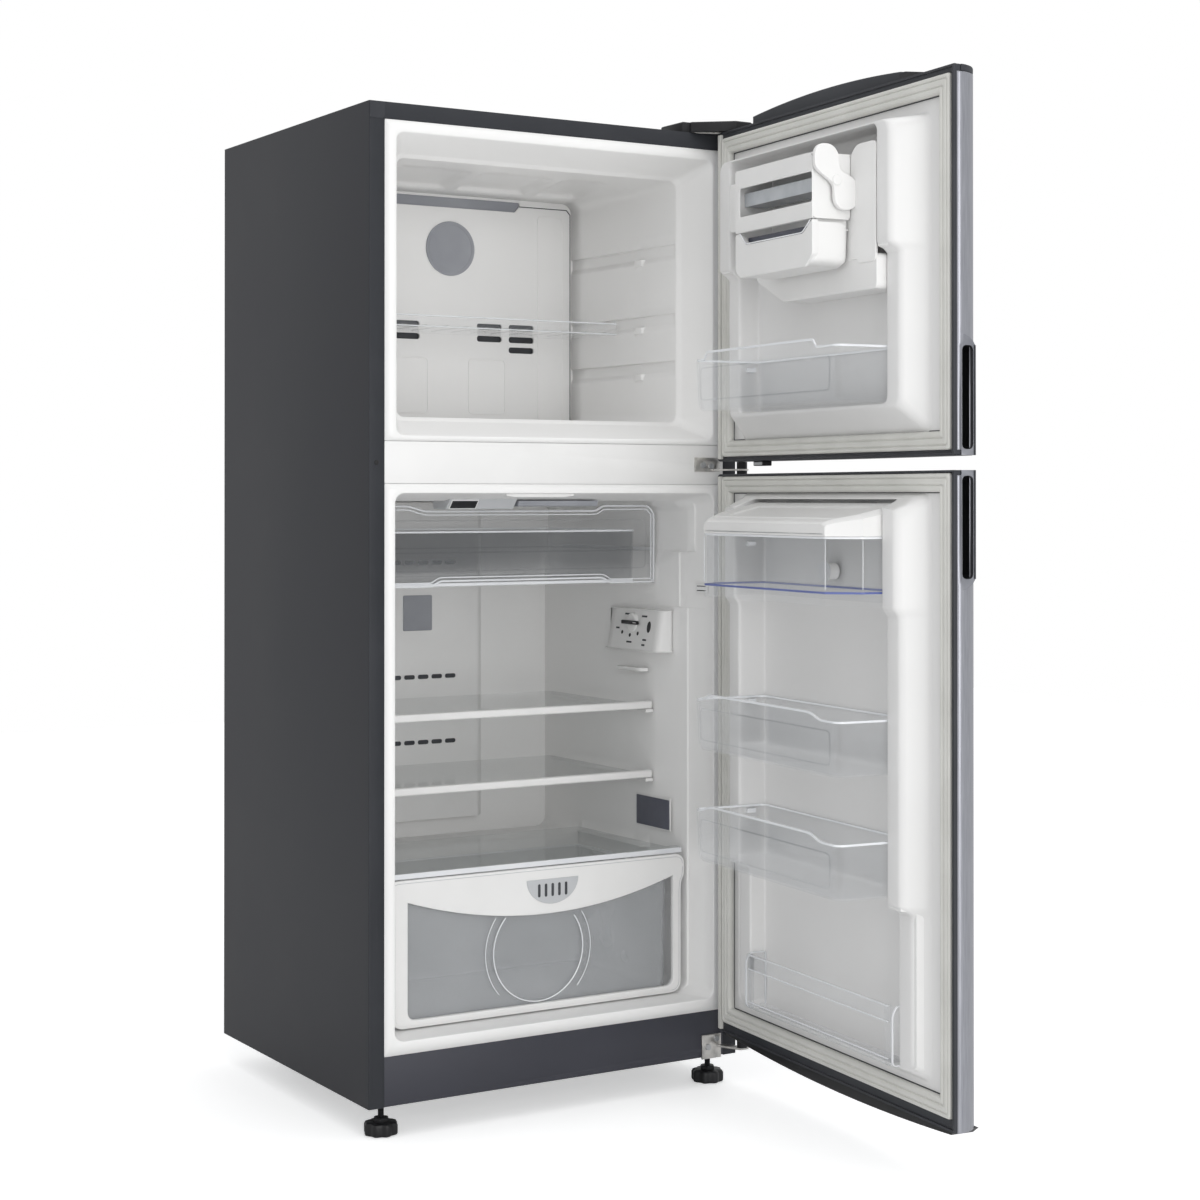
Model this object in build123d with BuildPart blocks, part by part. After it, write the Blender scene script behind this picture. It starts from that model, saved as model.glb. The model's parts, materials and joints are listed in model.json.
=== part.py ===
from build123d import *
import math
import os

# Top-mount refrigerator with both doors standing open. Millimetres, +Z up, floor at Z = 0,
# front towards -Y, origin under the middle of the cabinet.

os.makedirs("parts", exist_ok=True)

# Cabinet
CAB_W = 700.0
CAB_D = 596.0
CAB_H = 1584.0
FLOOR_GAP = 50.0
SHEET = 1.0
FLANGE_W = 26.7
FACE_T = 2.0
LINER_T = 2.0
SEAT = 0.3
RUN = 0.05

# Compartments
FREEZER_W = 604.0
FREEZER_H = 481.0
FREEZER_TOP_WALL = 45.0
FRIDGE_W = 608.0
MULLION_H = 67.0
FREEZER_LIP = 9.0
FRIDGE_LIP = 22.0
FRIDGE_FLOOR_RISE = 100.0
FREEZER_DEPTH = 520.0
FRIDGE_DEPTH = 520.0
STEP_DEPTH = 402.0
STEP_H = 235.0
KICK_H = 79.4

# Machine space
MACHINE_FRONT = 432.0
MACHINE_H = 300.0
PAN_T = 2.0
PAN_RISE = 45.0
COMPRESSOR_R = 68.0
COMPRESSOR_H = 150.0

# Doors
DOOR_OPEN = 84.3
HINGE_INSET = 14.7
HINGE_FRONT = 40.0
HINGE_PIN_R = 5.0
BUSH_R = 9.0
BOSS_R = 11.0
BOSS_H = 18.0
SKIN_T = 1.0
DOOR_BOW = 76.0
DOOR_SIDE = 56.0
SKIN_BACK = 6.5
DOOR_GAP = 21.4
MID_GAP_Z = 1049.4
FREEZER_DOOR_TOP = 51.0
FRIDGE_DOOR_BOTTOM = 99.7
CAP_T = 7.2
TOP_CAP_T = 11.0
CROWN_RISE = 25.0
LOWER_CROWN = 21.7
GASKET_INSET = 11.6
GASKET_W = 27.4
GASKET_T = 10.7
PANEL_N = 11.5
LINER_SKIN = 2.0
POCKET_INSET = 129.0
FOOT_INSET = 72.0

# Feet and rollers
FOOT_R = 28.0
FOOT_STUD_R = 5.0
FOOT_H = 30.0
FOOT_INSET_X = 37.0
FOOT_INSET_Y = 33.0
ROLLER_R = 25.0
ROLLER_AXLE_R = 4.0
ROLLER_INSET = 120.0
ROLLER_DEPTH = 520.0

# Shelves and drawers
GLASS_T = 5.0
SHELF_FRONT = 150.0
SHELF_REAR = 496.0
SHELF_TRIM_H = 14.0
GROOVE_HALF = 271.0
GROOVE_H = 28.0
WALL_T = 2.5
BIN_FRONT = 115.0
RAIL_W = 12.0
FAN_R = 52.0

CAB_TOP = FLOOR_GAP + CAB_H
HALF_W = CAB_W / 2
FRONT = -CAB_D / 2
BACK = CAB_D / 2
FREEZER_TOP = CAB_TOP - FREEZER_TOP_WALL
FREEZER_LOW = FREEZER_TOP - FREEZER_H
MULLION_TOP = FREEZER_LOW - FREEZER_LIP
MULLION_LOW = MULLION_TOP - MULLION_H
FRIDGE_TOP = MULLION_LOW - FRIDGE_LIP
FRIDGE_LOW = FLOOR_GAP + FRIDGE_FLOOR_RISE
KICK_TOP = FLOOR_GAP + KICK_H
PAN_Z = FLOOR_GAP + PAN_RISE
INNER_HALF = HALF_W - SHEET
FACE_HALF = HALF_W - FLANGE_W - SEAT
FREEZER_HALF = FREEZER_W / 2
FRIDGE_HALF = FRIDGE_W / 2
STEP_Z = FRIDGE_LOW + STEP_H
MACHINE_TOP = FLOOR_GAP + MACHINE_H
DOOR_MID_LOW = MULLION_LOW + 17.4
DOOR_MID_HIGH = DOOR_MID_LOW + DOOR_GAP
FREEZER_DOOR_Z = (DOOR_MID_HIGH, CAB_TOP - 1.0)
FRIDGE_DOOR_Z = (FRIDGE_DOOR_BOTTOM, DOOR_MID_LOW)
AXIS_X = HALF_W - HINGE_INSET
AXIS_Y = FRONT - HINGE_FRONT
HINGE_AXIS = Axis((AXIS_X, AXIS_Y, 0), (0, 0, 1))

# Inner space of each compartment as (depth, half width, floor, ceiling, corner radius)
FREEZER_SPACE = [
    (0, FREEZER_HALF, FREEZER_LOW, FREEZER_TOP, 24),
    (58, FREEZER_HALF - 25, FREEZER_LOW + 25, FREEZER_TOP - 25, 24),
    (66, FREEZER_HALF - 32, FREEZER_LOW + 32, FREEZER_TOP - 31, 20),
    (FREEZER_DEPTH, FREEZER_HALF - 49.7, FREEZER_LOW + 34, FREEZER_TOP - 36, 20),
]
FRIDGE_FRONT_SPACE = [
    (0, FRIDGE_HALF, FRIDGE_LOW, FRIDGE_TOP, 24),
    (80, FRIDGE_HALF - 18, FRIDGE_LOW, FRIDGE_TOP - 6, 22),
    (150, FRIDGE_HALF - 22.5, FRIDGE_LOW, FRIDGE_TOP - 6, 20),
    (STEP_DEPTH, FRIDGE_HALF - 29.5, FRIDGE_LOW, FRIDGE_TOP - 7, 20),
]
FRIDGE_REAR_SPACE = [
    (STEP_DEPTH - 60, FRIDGE_HALF - 28, STEP_Z, FRIDGE_TOP - 7, 20),
    (FRIDGE_DEPTH, FRIDGE_HALF - 33.5, STEP_Z, FRIDGE_TOP - 8, 20),
]
LEDGE_Z = FRIDGE_TOP - 95
FRIDGE_UPPER_SPACE = [
    (44, FRIDGE_HALF - 13, LEDGE_Z, FRIDGE_TOP - 6, 1),
    (FRIDGE_DEPTH, FRIDGE_HALF - 27, LEDGE_Z, FRIDGE_TOP - 8, 1),
]
GROOVE_TOPS = [FREEZER_LOW + 342, FREEZER_LOW + 222, FREEZER_LOW + 139]
GROOVE_DEPTH = (69, 371)
SHELF_Z = (FRIDGE_TOP - 372, FRIDGE_TOP - 494)
COVER_Z = FRIDGE_LOW + 243


def wall(y):
    """Sketch plane standing at a depth and facing the front, with X across and Z up."""
    return Plane.XZ.offset(-y)


def block(x, y, z, mode=Mode.ADD):
    """Box between a low and a high limit on each axis."""
    with Locations(((x[0] + x[1]) / 2, (y[0] + y[1]) / 2, (z[0] + z[1]) / 2)):
        Box(x[1] - x[0], y[1] - y[0], z[1] - z[0], mode=mode)


def rod(start, direction, radius, length, mode=Mode.ADD):
    """Cylinder from a start point along a direction."""
    with Locations(Plane(origin=start, z_dir=direction)):
        Cylinder(radius, length, align=(Align.CENTER, Align.CENTER, Align.MIN), mode=mode)


def plan(points, z, mode=Mode.ADD):
    """Upright prism over an outline of (x, y) points between two heights."""
    with BuildSketch(Plane.XY.offset(z[0])) as outline:
        with BuildLine():
            Polyline(*points, close=True)
        make_face()
    extrude(outline.sketch, amount=z[1] - z[0], mode=mode)


def elevation(points, y, mode=Mode.ADD):
    """Prism over an outline of (x, z) points between two depths."""
    with BuildSketch(wall(y[1])) as outline:
        with BuildLine():
            Polyline(*points, close=True)
        make_face()
    extrude(outline.sketch, amount=y[1] - y[0], mode=mode)


def section(points, x, mode=Mode.ADD):
    """Prism over an outline of (y, z) points between two stations across the width."""
    with BuildSketch(Plane.YZ.offset(x[0])) as outline:
        with BuildLine():
            Polyline(*points, close=True)
        make_face()
    extrude(outline.sketch, amount=x[1] - x[0], mode=mode)


def slab(half, z, radius, y, mode=Mode.ADD):
    """Upright slab with rounded corners, centred across the width, between two depths."""
    with BuildSketch(wall(y[1])) as outline:
        with Locations((0, (z[0] + z[1]) / 2)):
            RectangleRounded(2 * half, z[1] - z[0], radius)
    extrude(outline.sketch, amount=y[1] - y[0], mode=mode)


def space(levels, grow, mode=Mode.ADD):
    """Compartment space through its levels, grown all round and at the back."""
    profiles = []
    for depth, half, low, high, radius in levels:
        reach = depth + grow if depth == levels[-1][0] else depth
        with BuildSketch(wall(FRONT + reach)) as profile:
            with Locations((0, (low + high) / 2)):
                RectangleRounded(2 * (half + grow), high - low + 2 * grow, radius + grow)
        profiles.append(profile.sketch)
    loft(profiles, ruled=True, mode=mode)


def hand_over(piece, name, swing=0.0):
    """Turn a finished piece about the door hinges where it rides on a door, then write its file."""
    if swing:
        piece.part = piece.part.rotate(HINGE_AXIS, swing)
    piece.part.label = name
    export_step(piece.part, f"parts/{name}.step")


# Outer steel cabinet with its folded front flange
with BuildPart() as cabinet_wrapper:
    block((-HALF_W, HALF_W), (FRONT, BACK), (FLOOR_GAP, CAB_TOP))
    vertical = cabinet_wrapper.edges().filter_by(Axis.Z).group_by(Axis.Y)[0]
    fillet(vertical, radius=1.5)
    block(
        (-INNER_HALF, INNER_HALF),
        (FRONT + FACE_T, BACK + 1),
        (FLOOR_GAP - 1, CAB_TOP - SHEET),
        mode=Mode.SUBTRACT,
    )
    block(
        (-HALF_W + FLANGE_W, HALF_W - FLANGE_W),
        (FRONT - 1, FRONT + FACE_T + 1),
        (FLOOR_GAP - 1, CAB_TOP - FLANGE_W),
        mode=Mode.SUBTRACT,
    )

# Screws that hold the three hinges, as (x, y, z, direction into the cabinet)
SCREW_R = 2.5
SCREW_HEAD_R = 5.0
SCREW_HEAD_H = 2.2
SCREW_L = 14.0
PLATE_T = 3.0
MID_PLATE_Z = (MULLION_LOW + 22, MULLION_LOW + 46)
FACE_SCREWS = [
    (HALF_W - 70, MID_PLATE_Z[0] + 11),
    (HALF_W - 53, MID_PLATE_Z[0] + 9),
]
LOW_PLATE_Z = (FLOOR_GAP - 2, FLOOR_GAP + 39)
LOW_SCREWS = [(HALF_W - 60, FLOOR_GAP + 18), (HALF_W - 43, FLOOR_GAP + 31)]
TOP_SCREWS = [(HALF_W - 75, FRONT + 18), (HALF_W - 45, FRONT + 18), (HALF_W - 60, FRONT + 44)]


def screw_holes(grow):
    """Holes for the hinge screws in whatever they pass through."""
    for x, z in FACE_SCREWS + LOW_SCREWS:
        rod((x, FRONT - PLATE_T - 1, z), (0, 1, 0), SCREW_R + grow, SCREW_L + 2, mode=Mode.SUBTRACT)
    for x, y in TOP_SCREWS:
        rod(
            (x, y, CAB_TOP + PLATE_T + 1),
            (0, 0, -1),
            SCREW_R + grow,
            SCREW_L + 2,
            mode=Mode.SUBTRACT,
        )


with cabinet_wrapper:
    screw_holes(SEAT)

# Rear panel and the slotted cover of the machine space
with BuildPart() as rear_panel:
    block((-INNER_HALF + SEAT, INNER_HALF - SEAT), (BACK - 2, BACK), (MACHINE_TOP, CAB_TOP - SHEET - SEAT))
    block((-INNER_HALF + SEAT, INNER_HALF - SEAT), (BACK - 2, BACK), (FLOOR_GAP + 12, MACHINE_TOP - SEAT))
    for row in range(5):
        for column in range(6):
            x = -250 + column * 90
            z = FLOOR_GAP + 90 + row * 32
            block((x - 28, x + 28), (BACK - 3, BACK + 1), (z - 4, z + 4), mode=Mode.SUBTRACT)
    rod((HALF_W - 70, BACK - 14, FLOOR_GAP + 50), (0, 1, 0), 11, 14)
    rod((HALF_W - 70, BACK - 15, FLOOR_GAP + 50), (0, 1, 0), 5, 16, mode=Mode.SUBTRACT)

# Base pan under the insulation with the machine floor, roller cheeks and axles
ROLLER_X = HALF_W - ROLLER_INSET
ROLLER_Y = FRONT + ROLLER_DEPTH
MACHINE_Y = FRONT + MACHINE_FRONT
MACHINE_FLOOR = FLOOR_GAP + 10
FOOT_X = HALF_W - FOOT_INSET_X
FOOT_Y = FRONT + FOOT_INSET_Y
PAN_HALF = INNER_HALF - SEAT
with BuildPart() as base_pan:
    block((-PAN_HALF, PAN_HALF), (FRONT + FACE_T + SEAT, MACHINE_Y), (PAN_Z - PAN_T, PAN_Z))
    block((-PAN_HALF, PAN_HALF), (MACHINE_Y - PAN_T, MACHINE_Y), (MACHINE_FLOOR, MACHINE_TOP - 2))
    block(
        (-PAN_HALF, PAN_HALF),
        (MACHINE_Y - PAN_T, BACK - 2 - SEAT),
        (MACHINE_FLOOR, MACHINE_FLOOR + PAN_T),
    )
    block(
        (-PAN_HALF, PAN_HALF),
        (MACHINE_Y - PAN_T, BACK - 2 - SEAT),
        (MACHINE_TOP - PAN_T - SEAT, MACHINE_TOP - SEAT),
    )
    for side in (-1, 1):
        rail = sorted((side * PAN_HALF, side * (PAN_HALF - PAN_T)))
        block(rail, (FRONT + FACE_T + SEAT, BACK - 2 - SEAT), (FLOOR_GAP + 2, PAN_Z))
        for cheek in (-13, 10):
            x = side * ROLLER_X + cheek
            block((x, x + 3), (ROLLER_Y - 14, ROLLER_Y + 14), (ROLLER_R - 10, MACHINE_FLOOR + 1))
        rod((side * ROLLER_X - 13, ROLLER_Y, ROLLER_R), (1, 0, 0), ROLLER_AXLE_R, 26)
        block(
            (side * FOOT_X - 24, side * FOOT_X + 24) if side < 0 else (FOOT_X - 36, FOOT_X + 24),
            (FRONT + FACE_T + SEAT, FRONT + 66),
            (FLOOR_GAP + 4, FLOOR_GAP + 12),
        )
        block(
            (side * FOOT_X - 24, side * FOOT_X + 24) if side < 0 else (FOOT_X - 36, FOOT_X + 24),
            (FRONT + 62, FRONT + 66),
            (FLOOR_GAP + 4, PAN_Z),
        )
        rod(
            (side * FOOT_X, FOOT_Y, FLOOR_GAP),
            (0, 0, 1),
            FOOT_STUD_R + RUN,
            PAN_RISE - PAN_T,
            mode=Mode.SUBTRACT,
        )

# Kick plate under the lower door
with BuildPart() as kick_plate:
    block(
        (-FACE_HALF, FACE_HALF),
        (FRONT, FRONT + FACE_T),
        (FLOOR_GAP + 1, KICK_TOP - SEAT),
    )
    screw_holes(SEAT)

# Moulded plastic liners
with BuildPart() as freezer_void:
    space(FREEZER_SPACE, 0)
    for top in GROOVE_TOPS:
        block(
            (-GROOVE_HALF, GROOVE_HALF),
            (FRONT + GROOVE_DEPTH[0], FRONT + GROOVE_DEPTH[1]),
            (top - GROOVE_H, top),
        )
    for top in GROOVE_TOPS:
        for side in (-1, 1):
            nub = sorted((side * (GROOVE_HALF - 8), side * (GROOVE_HALF + 1)))
            block(nub, (FRONT + 176, FRONT + 186), (top - GROOVE_H, top - GROOVE_H + 8), mode=Mode.SUBTRACT)

with BuildPart() as freezer_liner:
    space(FREEZER_SPACE, LINER_T)
    for top in GROOVE_TOPS:
        block(
            (-GROOVE_HALF - LINER_T, GROOVE_HALF + LINER_T),
            (FRONT + GROOVE_DEPTH[0] - LINER_T, FRONT + GROOVE_DEPTH[1] + LINER_T),
            (top - GROOVE_H - LINER_T, top + LINER_T),
        )
    block(
        (-FACE_HALF, FACE_HALF),
        (FRONT, FRONT + LINER_T),
        (MULLION_TOP + SEAT / 2, CAB_TOP - FLANGE_W - SEAT),
    )
    add(freezer_void.part, mode=Mode.SUBTRACT)

RIB_H = 6.0
SHELF_RIBS = [(z - SEAT - RIB_H, z - SEAT) for z in SHELF_Z] + [(COVER_Z - SEAT - 4, COVER_Z - SEAT)]
with BuildPart() as fridge_void:
    space(FRIDGE_FRONT_SPACE, 0)
    space(FRIDGE_REAR_SPACE, 0)
    space(FRIDGE_UPPER_SPACE, 0)
    for low, high in SHELF_RIBS:
        rear = STEP_DEPTH - 12 if low < STEP_Z + 20 else SHELF_REAR - 6
        for side in (-1, 1):
            rib = sorted((side * (FRIDGE_HALF - 36 - RAIL_W / 2), side * FRIDGE_HALF))
            block(rib, (FRONT + 166, FRONT + rear), (low, high), mode=Mode.SUBTRACT)

with BuildPart() as fridge_liner:
    space(FRIDGE_FRONT_SPACE, LINER_T)
    space(FRIDGE_REAR_SPACE, LINER_T)
    space(FRIDGE_UPPER_SPACE, LINER_T)
    block((-FACE_HALF, FACE_HALF), (FRONT, FRONT + LINER_T), (KICK_TOP, MULLION_LOW - SEAT / 2))
    add(fridge_void.part, mode=Mode.SUBTRACT)

# Rail between the two compartments
with BuildPart() as mullion_rail:
    block(
        (-FACE_HALF, FACE_HALF),
        (FRONT, FRONT + FACE_T),
        (MULLION_LOW + SEAT / 2, MULLION_TOP - SEAT / 2),
    )
    screw_holes(SEAT)

# Foamed insulation between the steel and the liners
FOAM_GROW = LINER_T + SEAT
with BuildPart() as foam_insulation:
    block((-INNER_HALF, INNER_HALF), (FRONT + FACE_T, BACK - 2), (PAN_Z, CAB_TOP - SHEET))
    space(FREEZER_SPACE, FOAM_GROW, mode=Mode.SUBTRACT)
    for top in GROOVE_TOPS:
        block(
            (-GROOVE_HALF - FOAM_GROW, GROOVE_HALF + FOAM_GROW),
            (FRONT + GROOVE_DEPTH[0] - FOAM_GROW, FRONT + GROOVE_DEPTH[1] + FOAM_GROW),
            (top - GROOVE_H - FOAM_GROW, top + FOAM_GROW),
            mode=Mode.SUBTRACT,
        )
    space(FRIDGE_FRONT_SPACE, FOAM_GROW, mode=Mode.SUBTRACT)
    space(FRIDGE_REAR_SPACE, FOAM_GROW, mode=Mode.SUBTRACT)
    space(FRIDGE_UPPER_SPACE, FOAM_GROW, mode=Mode.SUBTRACT)
    block(
        (-HALF_W, HALF_W),
        (MACHINE_Y - PAN_T - SEAT, BACK),
        (PAN_Z - 1, MACHINE_TOP),
        mode=Mode.SUBTRACT,
    )
    block((-HALF_W, HALF_W), (FRONT, FRONT + 70), (PAN_Z - 1, PAN_Z), mode=Mode.SUBTRACT)
    screw_holes(SEAT)

# Compressor with its mounting plate, on four rubber grommets that stand on the machine floor
COMPRESSOR_X = -90.0
COMPRESSOR_Y = (MACHINE_Y + BACK - 2) / 2
GROMMET_H = 10.0
COMPRESSOR_Z = MACHINE_FLOOR + PAN_T + GROMMET_H
with BuildPart() as compressor:
    with BuildSketch(Plane.XY.offset(COMPRESSOR_Z + 3)):
        with Locations((COMPRESSOR_X, COMPRESSOR_Y)):
            Ellipse(COMPRESSOR_R + 14, COMPRESSOR_R)
    extrude(amount=COMPRESSOR_H)
    ends = compressor.edges().group_by(Axis.Z)
    fillet(ends[0] + ends[-1], radius=18)
    block(
        (COMPRESSOR_X - 100, COMPRESSOR_X + 100),
        (COMPRESSOR_Y - 50, COMPRESSOR_Y + 50),
        (COMPRESSOR_Z, COMPRESSOR_Z + 4),
    )
    rod((COMPRESSOR_X, COMPRESSOR_Y, COMPRESSOR_Z + 60), (1, 0, 0), 4, 110)
    for x in (-88, 88):
        for y in (-38, 38):
            rod(
                (COMPRESSOR_X + x, COMPRESSOR_Y + y, COMPRESSOR_Z - 1),
                (0, 0, 1),
                6 + SEAT,
                8,
                mode=Mode.SUBTRACT,
            )

with BuildPart() as compressor_grommets:
    for x in (-88, 88):
        for y in (-38, 38):
            centre = (COMPRESSOR_X + x, COMPRESSOR_Y + y, MACHINE_FLOOR + PAN_T)
            rod(centre, (0, 0, 1), 10, GROMMET_H)
            rod(centre, (0, 0, 1), 6, GROMMET_H + 8)

# Freezer rear cover with its air slots, and what it hides
COVER_Y = FRONT + 400
COVER_HALF = FREEZER_HALF - 45.7
BADGE_R = 49.0
VENTS = [(84, 212, 52), (150.5, 212, 53), (84, 190, 52), (150.5, 190, 53), (150.5, 171, 53)]
with BuildPart() as evaporator_cover:
    slab(COVER_HALF, (FREEZER_LOW + 34.4, FREEZER_TOP - 35.6), 21, (COVER_Y, COVER_Y + 3))
    rod((3, COVER_Y, FREEZER_TOP - 113), (0, -1, 0), BADGE_R, 2)
    for x, rise, width in VENTS:
        for side in (-1, 1):
            centre = side * x
            z = FREEZER_LOW + rise
            block(
                (centre - width / 2, centre + width / 2),
                (COVER_Y - 1, COVER_Y + 4),
                (z - 5.5, z + 5.5),
                mode=Mode.SUBTRACT,
            )
    elevation(
        [
            (-150, FREEZER_TOP - 49),
            (140, FREEZER_TOP - 49),
            (148, FREEZER_TOP - 42),
            (148, FREEZER_TOP - 34),
            (-150, FREEZER_TOP - 34),
        ],
        (COVER_Y - 1, COVER_Y + 4),
        mode=Mode.SUBTRACT,
    )

COIL_Z = FREEZER_LOW + 60
COIL_Y = (COVER_Y + 22, COVER_Y + 82)
with BuildPart() as evaporator:
    for fin in range(19):
        x = -207 + fin * 23
        block((x - 0.6, x + 0.6), COIL_Y, (COIL_Z, COIL_Z + 190))
    for row in range(5):
        for column in (0.28, 0.72):
            y = COIL_Y[0] + column * (COIL_Y[1] - COIL_Y[0])
            rod((-226, y, COIL_Z + 25 + row * 35), (1, 0, 0), 4.5, 452)
    for side in (-1, 1):
        plate = sorted((side * 221, side * 223))
        block(plate, COIL_Y, (FREEZER_LOW + 34.3, COIL_Z + 190))

FAN_Y = COVER_Y + 34
FAN_Z = FREEZER_TOP - 100
FAN_BORE = 3.0
with BuildPart() as fan_motor:
    rod((0, FAN_Y + 16, FAN_Z), (0, 1, 0), 24, 40)
    rod((0, FAN_Y - 14, FAN_Z), (0, 1, 0), FAN_BORE, 34)
    reach = FAN_R + 14
    block((-reach, reach), (FAN_Y + 16, FAN_Y + 20), (FAN_Z - 6, FAN_Z + 6))
    for side in (-1, 1):
        leg = sorted((side * (reach - 6), side * reach))
        block(leg, (COVER_Y + 3, FAN_Y + 20), (FAN_Z - 6, FAN_Z + 6))

with BuildPart() as fan_blade:
    rod((0, FAN_Y - 8, FAN_Z), (0, 1, 0), 14, 18)
    rod((0, FAN_Y - 9, FAN_Z), (0, 1, 0), FAN_BORE + RUN, 20, mode=Mode.SUBTRACT)
    for blade in range(5):
        angle = blade * 72
        with Locations(
            Location((0, FAN_Y, FAN_Z), (0, angle, 0)) * Location((32, 0, 0), (35, 0, 0))
        ):
            Box(39, 1.8, 22)
    rod((0, FAN_Y - 9, FAN_Z), (0, 1, 0), FAN_BORE + RUN, 20, mode=Mode.SUBTRACT)

# Fridge rear duct, lamp cover and the temperature control
DUCT_HALF = 132.0
with BuildPart() as air_duct_cover:
    plan(
        [
            (-DUCT_HALF, FRONT + FRIDGE_DEPTH - SEAT),
            (-DUCT_HALF + 14, FRONT + 500),
            (DUCT_HALF - 14, FRONT + 500),
            (DUCT_HALF, FRONT + FRIDGE_DEPTH - SEAT),
        ],
        (STEP_Z + 30, FRIDGE_TOP - 8 - SEAT),
    )
    block((-41, 18), (FRONT + 498.5, FRONT + 501), (FRIDGE_TOP - 245, FRIDGE_TOP - 180))
    for z in (FRIDGE_TOP - 120, FRIDGE_TOP - 330, FRIDGE_TOP - 450):
        block((-70, 70), (FRONT + 497, FRONT + 512), (z - 5, z + 5), mode=Mode.SUBTRACT)

with BuildPart() as lamp_cover:
    section(
        [
            (FRONT + 60, FRIDGE_TOP - 5.2),
            (FRONT + 66, FRIDGE_TOP - 15),
            (FRONT + 150, FRIDGE_TOP - 11),
            (FRONT + 160, FRIDGE_TOP - 6.4),
            (FRONT + 80, FRIDGE_TOP - 6.4),
        ],
        (-47, 110),
    )

CONTROL_Z = (FRIDGE_TOP - 272, FRIDGE_TOP - 198)
KNOB_POINT = (FRIDGE_HALF - 58, FRONT + 198, FRIDGE_TOP - 223)
KNOB_SHAFT_R = 4.0
with BuildPart() as control_box:
    plan(
        [
            (FRIDGE_HALF - 19.7, FRONT + 97),
            (FRIDGE_HALF - 54, FRONT + 146),
            (FRIDGE_HALF - 58, FRONT + 150),
            (FRIDGE_HALF - 58, FRONT + 275),
            (FRIDGE_HALF - 50, FRONT + 292),
            (FRIDGE_HALF - 27.5, FRONT + 296),
            (FRIDGE_HALF - 23.2, FRONT + 150),
        ],
        CONTROL_Z,
    )
    rod((KNOB_POINT[0] - 1, *KNOB_POINT[1:]), (1, 0, 0), KNOB_SHAFT_R + RUN, 16, mode=Mode.SUBTRACT)

with BuildPart() as control_knob:
    rod((KNOB_POINT[0] - SEAT, *KNOB_POINT[1:]), (-1, 0, 0), 17, 5)
    block(
        (KNOB_POINT[0] - 16, KNOB_POINT[0] - 4),
        (KNOB_POINT[1] - 4, KNOB_POINT[1] + 4),
        (KNOB_POINT[2] - 16, KNOB_POINT[2] + 16),
    )
    rod((KNOB_POINT[0] - 1, *KNOB_POINT[1:]), (1, 0, 0), KNOB_SHAFT_R, 14)

# Freezer shelf that runs in the middle pair of grooves
SHELF_LOW = GROOVE_TOPS[1] - GROOVE_H + SEAT
with BuildPart() as freezer_shelf:
    block(
        (-GROOVE_HALF + 1, GROOVE_HALF - 1),
        (FRONT + 242, FRONT + GROOVE_DEPTH[1] - 3),
        (SHELF_LOW, SHELF_LOW + 4),
    )
    block((-COVER_HALF + 1, COVER_HALF - 1), (FRONT + 360, COVER_Y - 3), (SHELF_LOW, SHELF_LOW + 4))
    block(
        (-FREEZER_HALF + 43, FREEZER_HALF - 43),
        (FRONT + 242, FRONT + 247),
        (SHELF_LOW, SHELF_LOW + 21),
    )

# Chiller drawer hanging on the ledges of the liner
CHILLER_TOP = FRIDGE_TOP - 13
with BuildPart() as chiller_drawer:
    plan(
        [
            (-FRIDGE_HALF + 18.5, FRONT + 156),
            (FRIDGE_HALF - 18.5, FRONT + 156),
            (FRIDGE_HALF - 28.5, FRONT + 470),
            (-FRIDGE_HALF + 28.5, FRONT + 470),
        ],
        (LEDGE_Z + SEAT, LEDGE_Z + SEAT + 3),
    )
    plan(
        [
            (-FRIDGE_HALF + 36, FRONT + 152),
            (FRIDGE_HALF - 36, FRONT + 152),
            (FRIDGE_HALF - 42, FRONT + 470),
            (-FRIDGE_HALF + 42, FRONT + 470),
        ],
        (FRIDGE_TOP - 146, LEDGE_Z + 40),
    )
    plan(
        [
            (-FRIDGE_HALF + 36 + WALL_T, FRONT + 154),
            (FRIDGE_HALF - 36 - WALL_T, FRONT + 154),
            (FRIDGE_HALF - 42 - WALL_T, FRONT + 470 - WALL_T),
            (-FRIDGE_HALF + 42 + WALL_T, FRONT + 470 - WALL_T),
        ],
        (FRIDGE_TOP - 146 + WALL_T, LEDGE_Z + 60),
        mode=Mode.SUBTRACT,
    )
    CHILLER_HALF = FRIDGE_HALF - 24
    elevation(
        [
            (-CHILLER_HALF, FRIDGE_TOP - 151),
            (-160, FRIDGE_TOP - 151),
            (-147, FRIDGE_TOP - 142),
            (173, FRIDGE_TOP - 142),
            (186, FRIDGE_TOP - 151),
            (CHILLER_HALF - 4, FRIDGE_TOP - 151),
            (CHILLER_HALF, FRIDGE_TOP - 147),
            (CHILLER_HALF, CHILLER_TOP - 14),
            (CHILLER_HALF - 14, CHILLER_TOP),
            (172, CHILLER_TOP),
            (159, CHILLER_TOP - 9),
            (-175, CHILLER_TOP - 9),
            (-205, CHILLER_TOP),
            (-CHILLER_HALF, CHILLER_TOP),
        ],
        (FRONT + 150, FRONT + 154),
    )

# Tempered glass shelves, each with a moulded trim along the front
GLASS_HALF = FRIDGE_HALF - 34.5


def shelf_glass(z):
    """Glass plate resting on the ribs of the liner."""
    block((-GLASS_HALF, GLASS_HALF), (FRONT + SHELF_FRONT + 6, FRONT + SHELF_REAR), (z, z + GLASS_T))


def shelf_trim(z):
    """Moulding along the front edge of a glass shelf."""
    half = FRIDGE_HALF - 27
    block((-half, half), (FRONT + SHELF_FRONT, FRONT + SHELF_FRONT + 14), (z - 2, z - 2 + SHELF_TRIM_H))
    shelf_slot = (FRONT + SHELF_FRONT + 6, FRONT + SHELF_FRONT + 15)
    block((-GLASS_HALF, GLASS_HALF), shelf_slot, (z, z + GLASS_T), mode=Mode.SUBTRACT)


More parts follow.
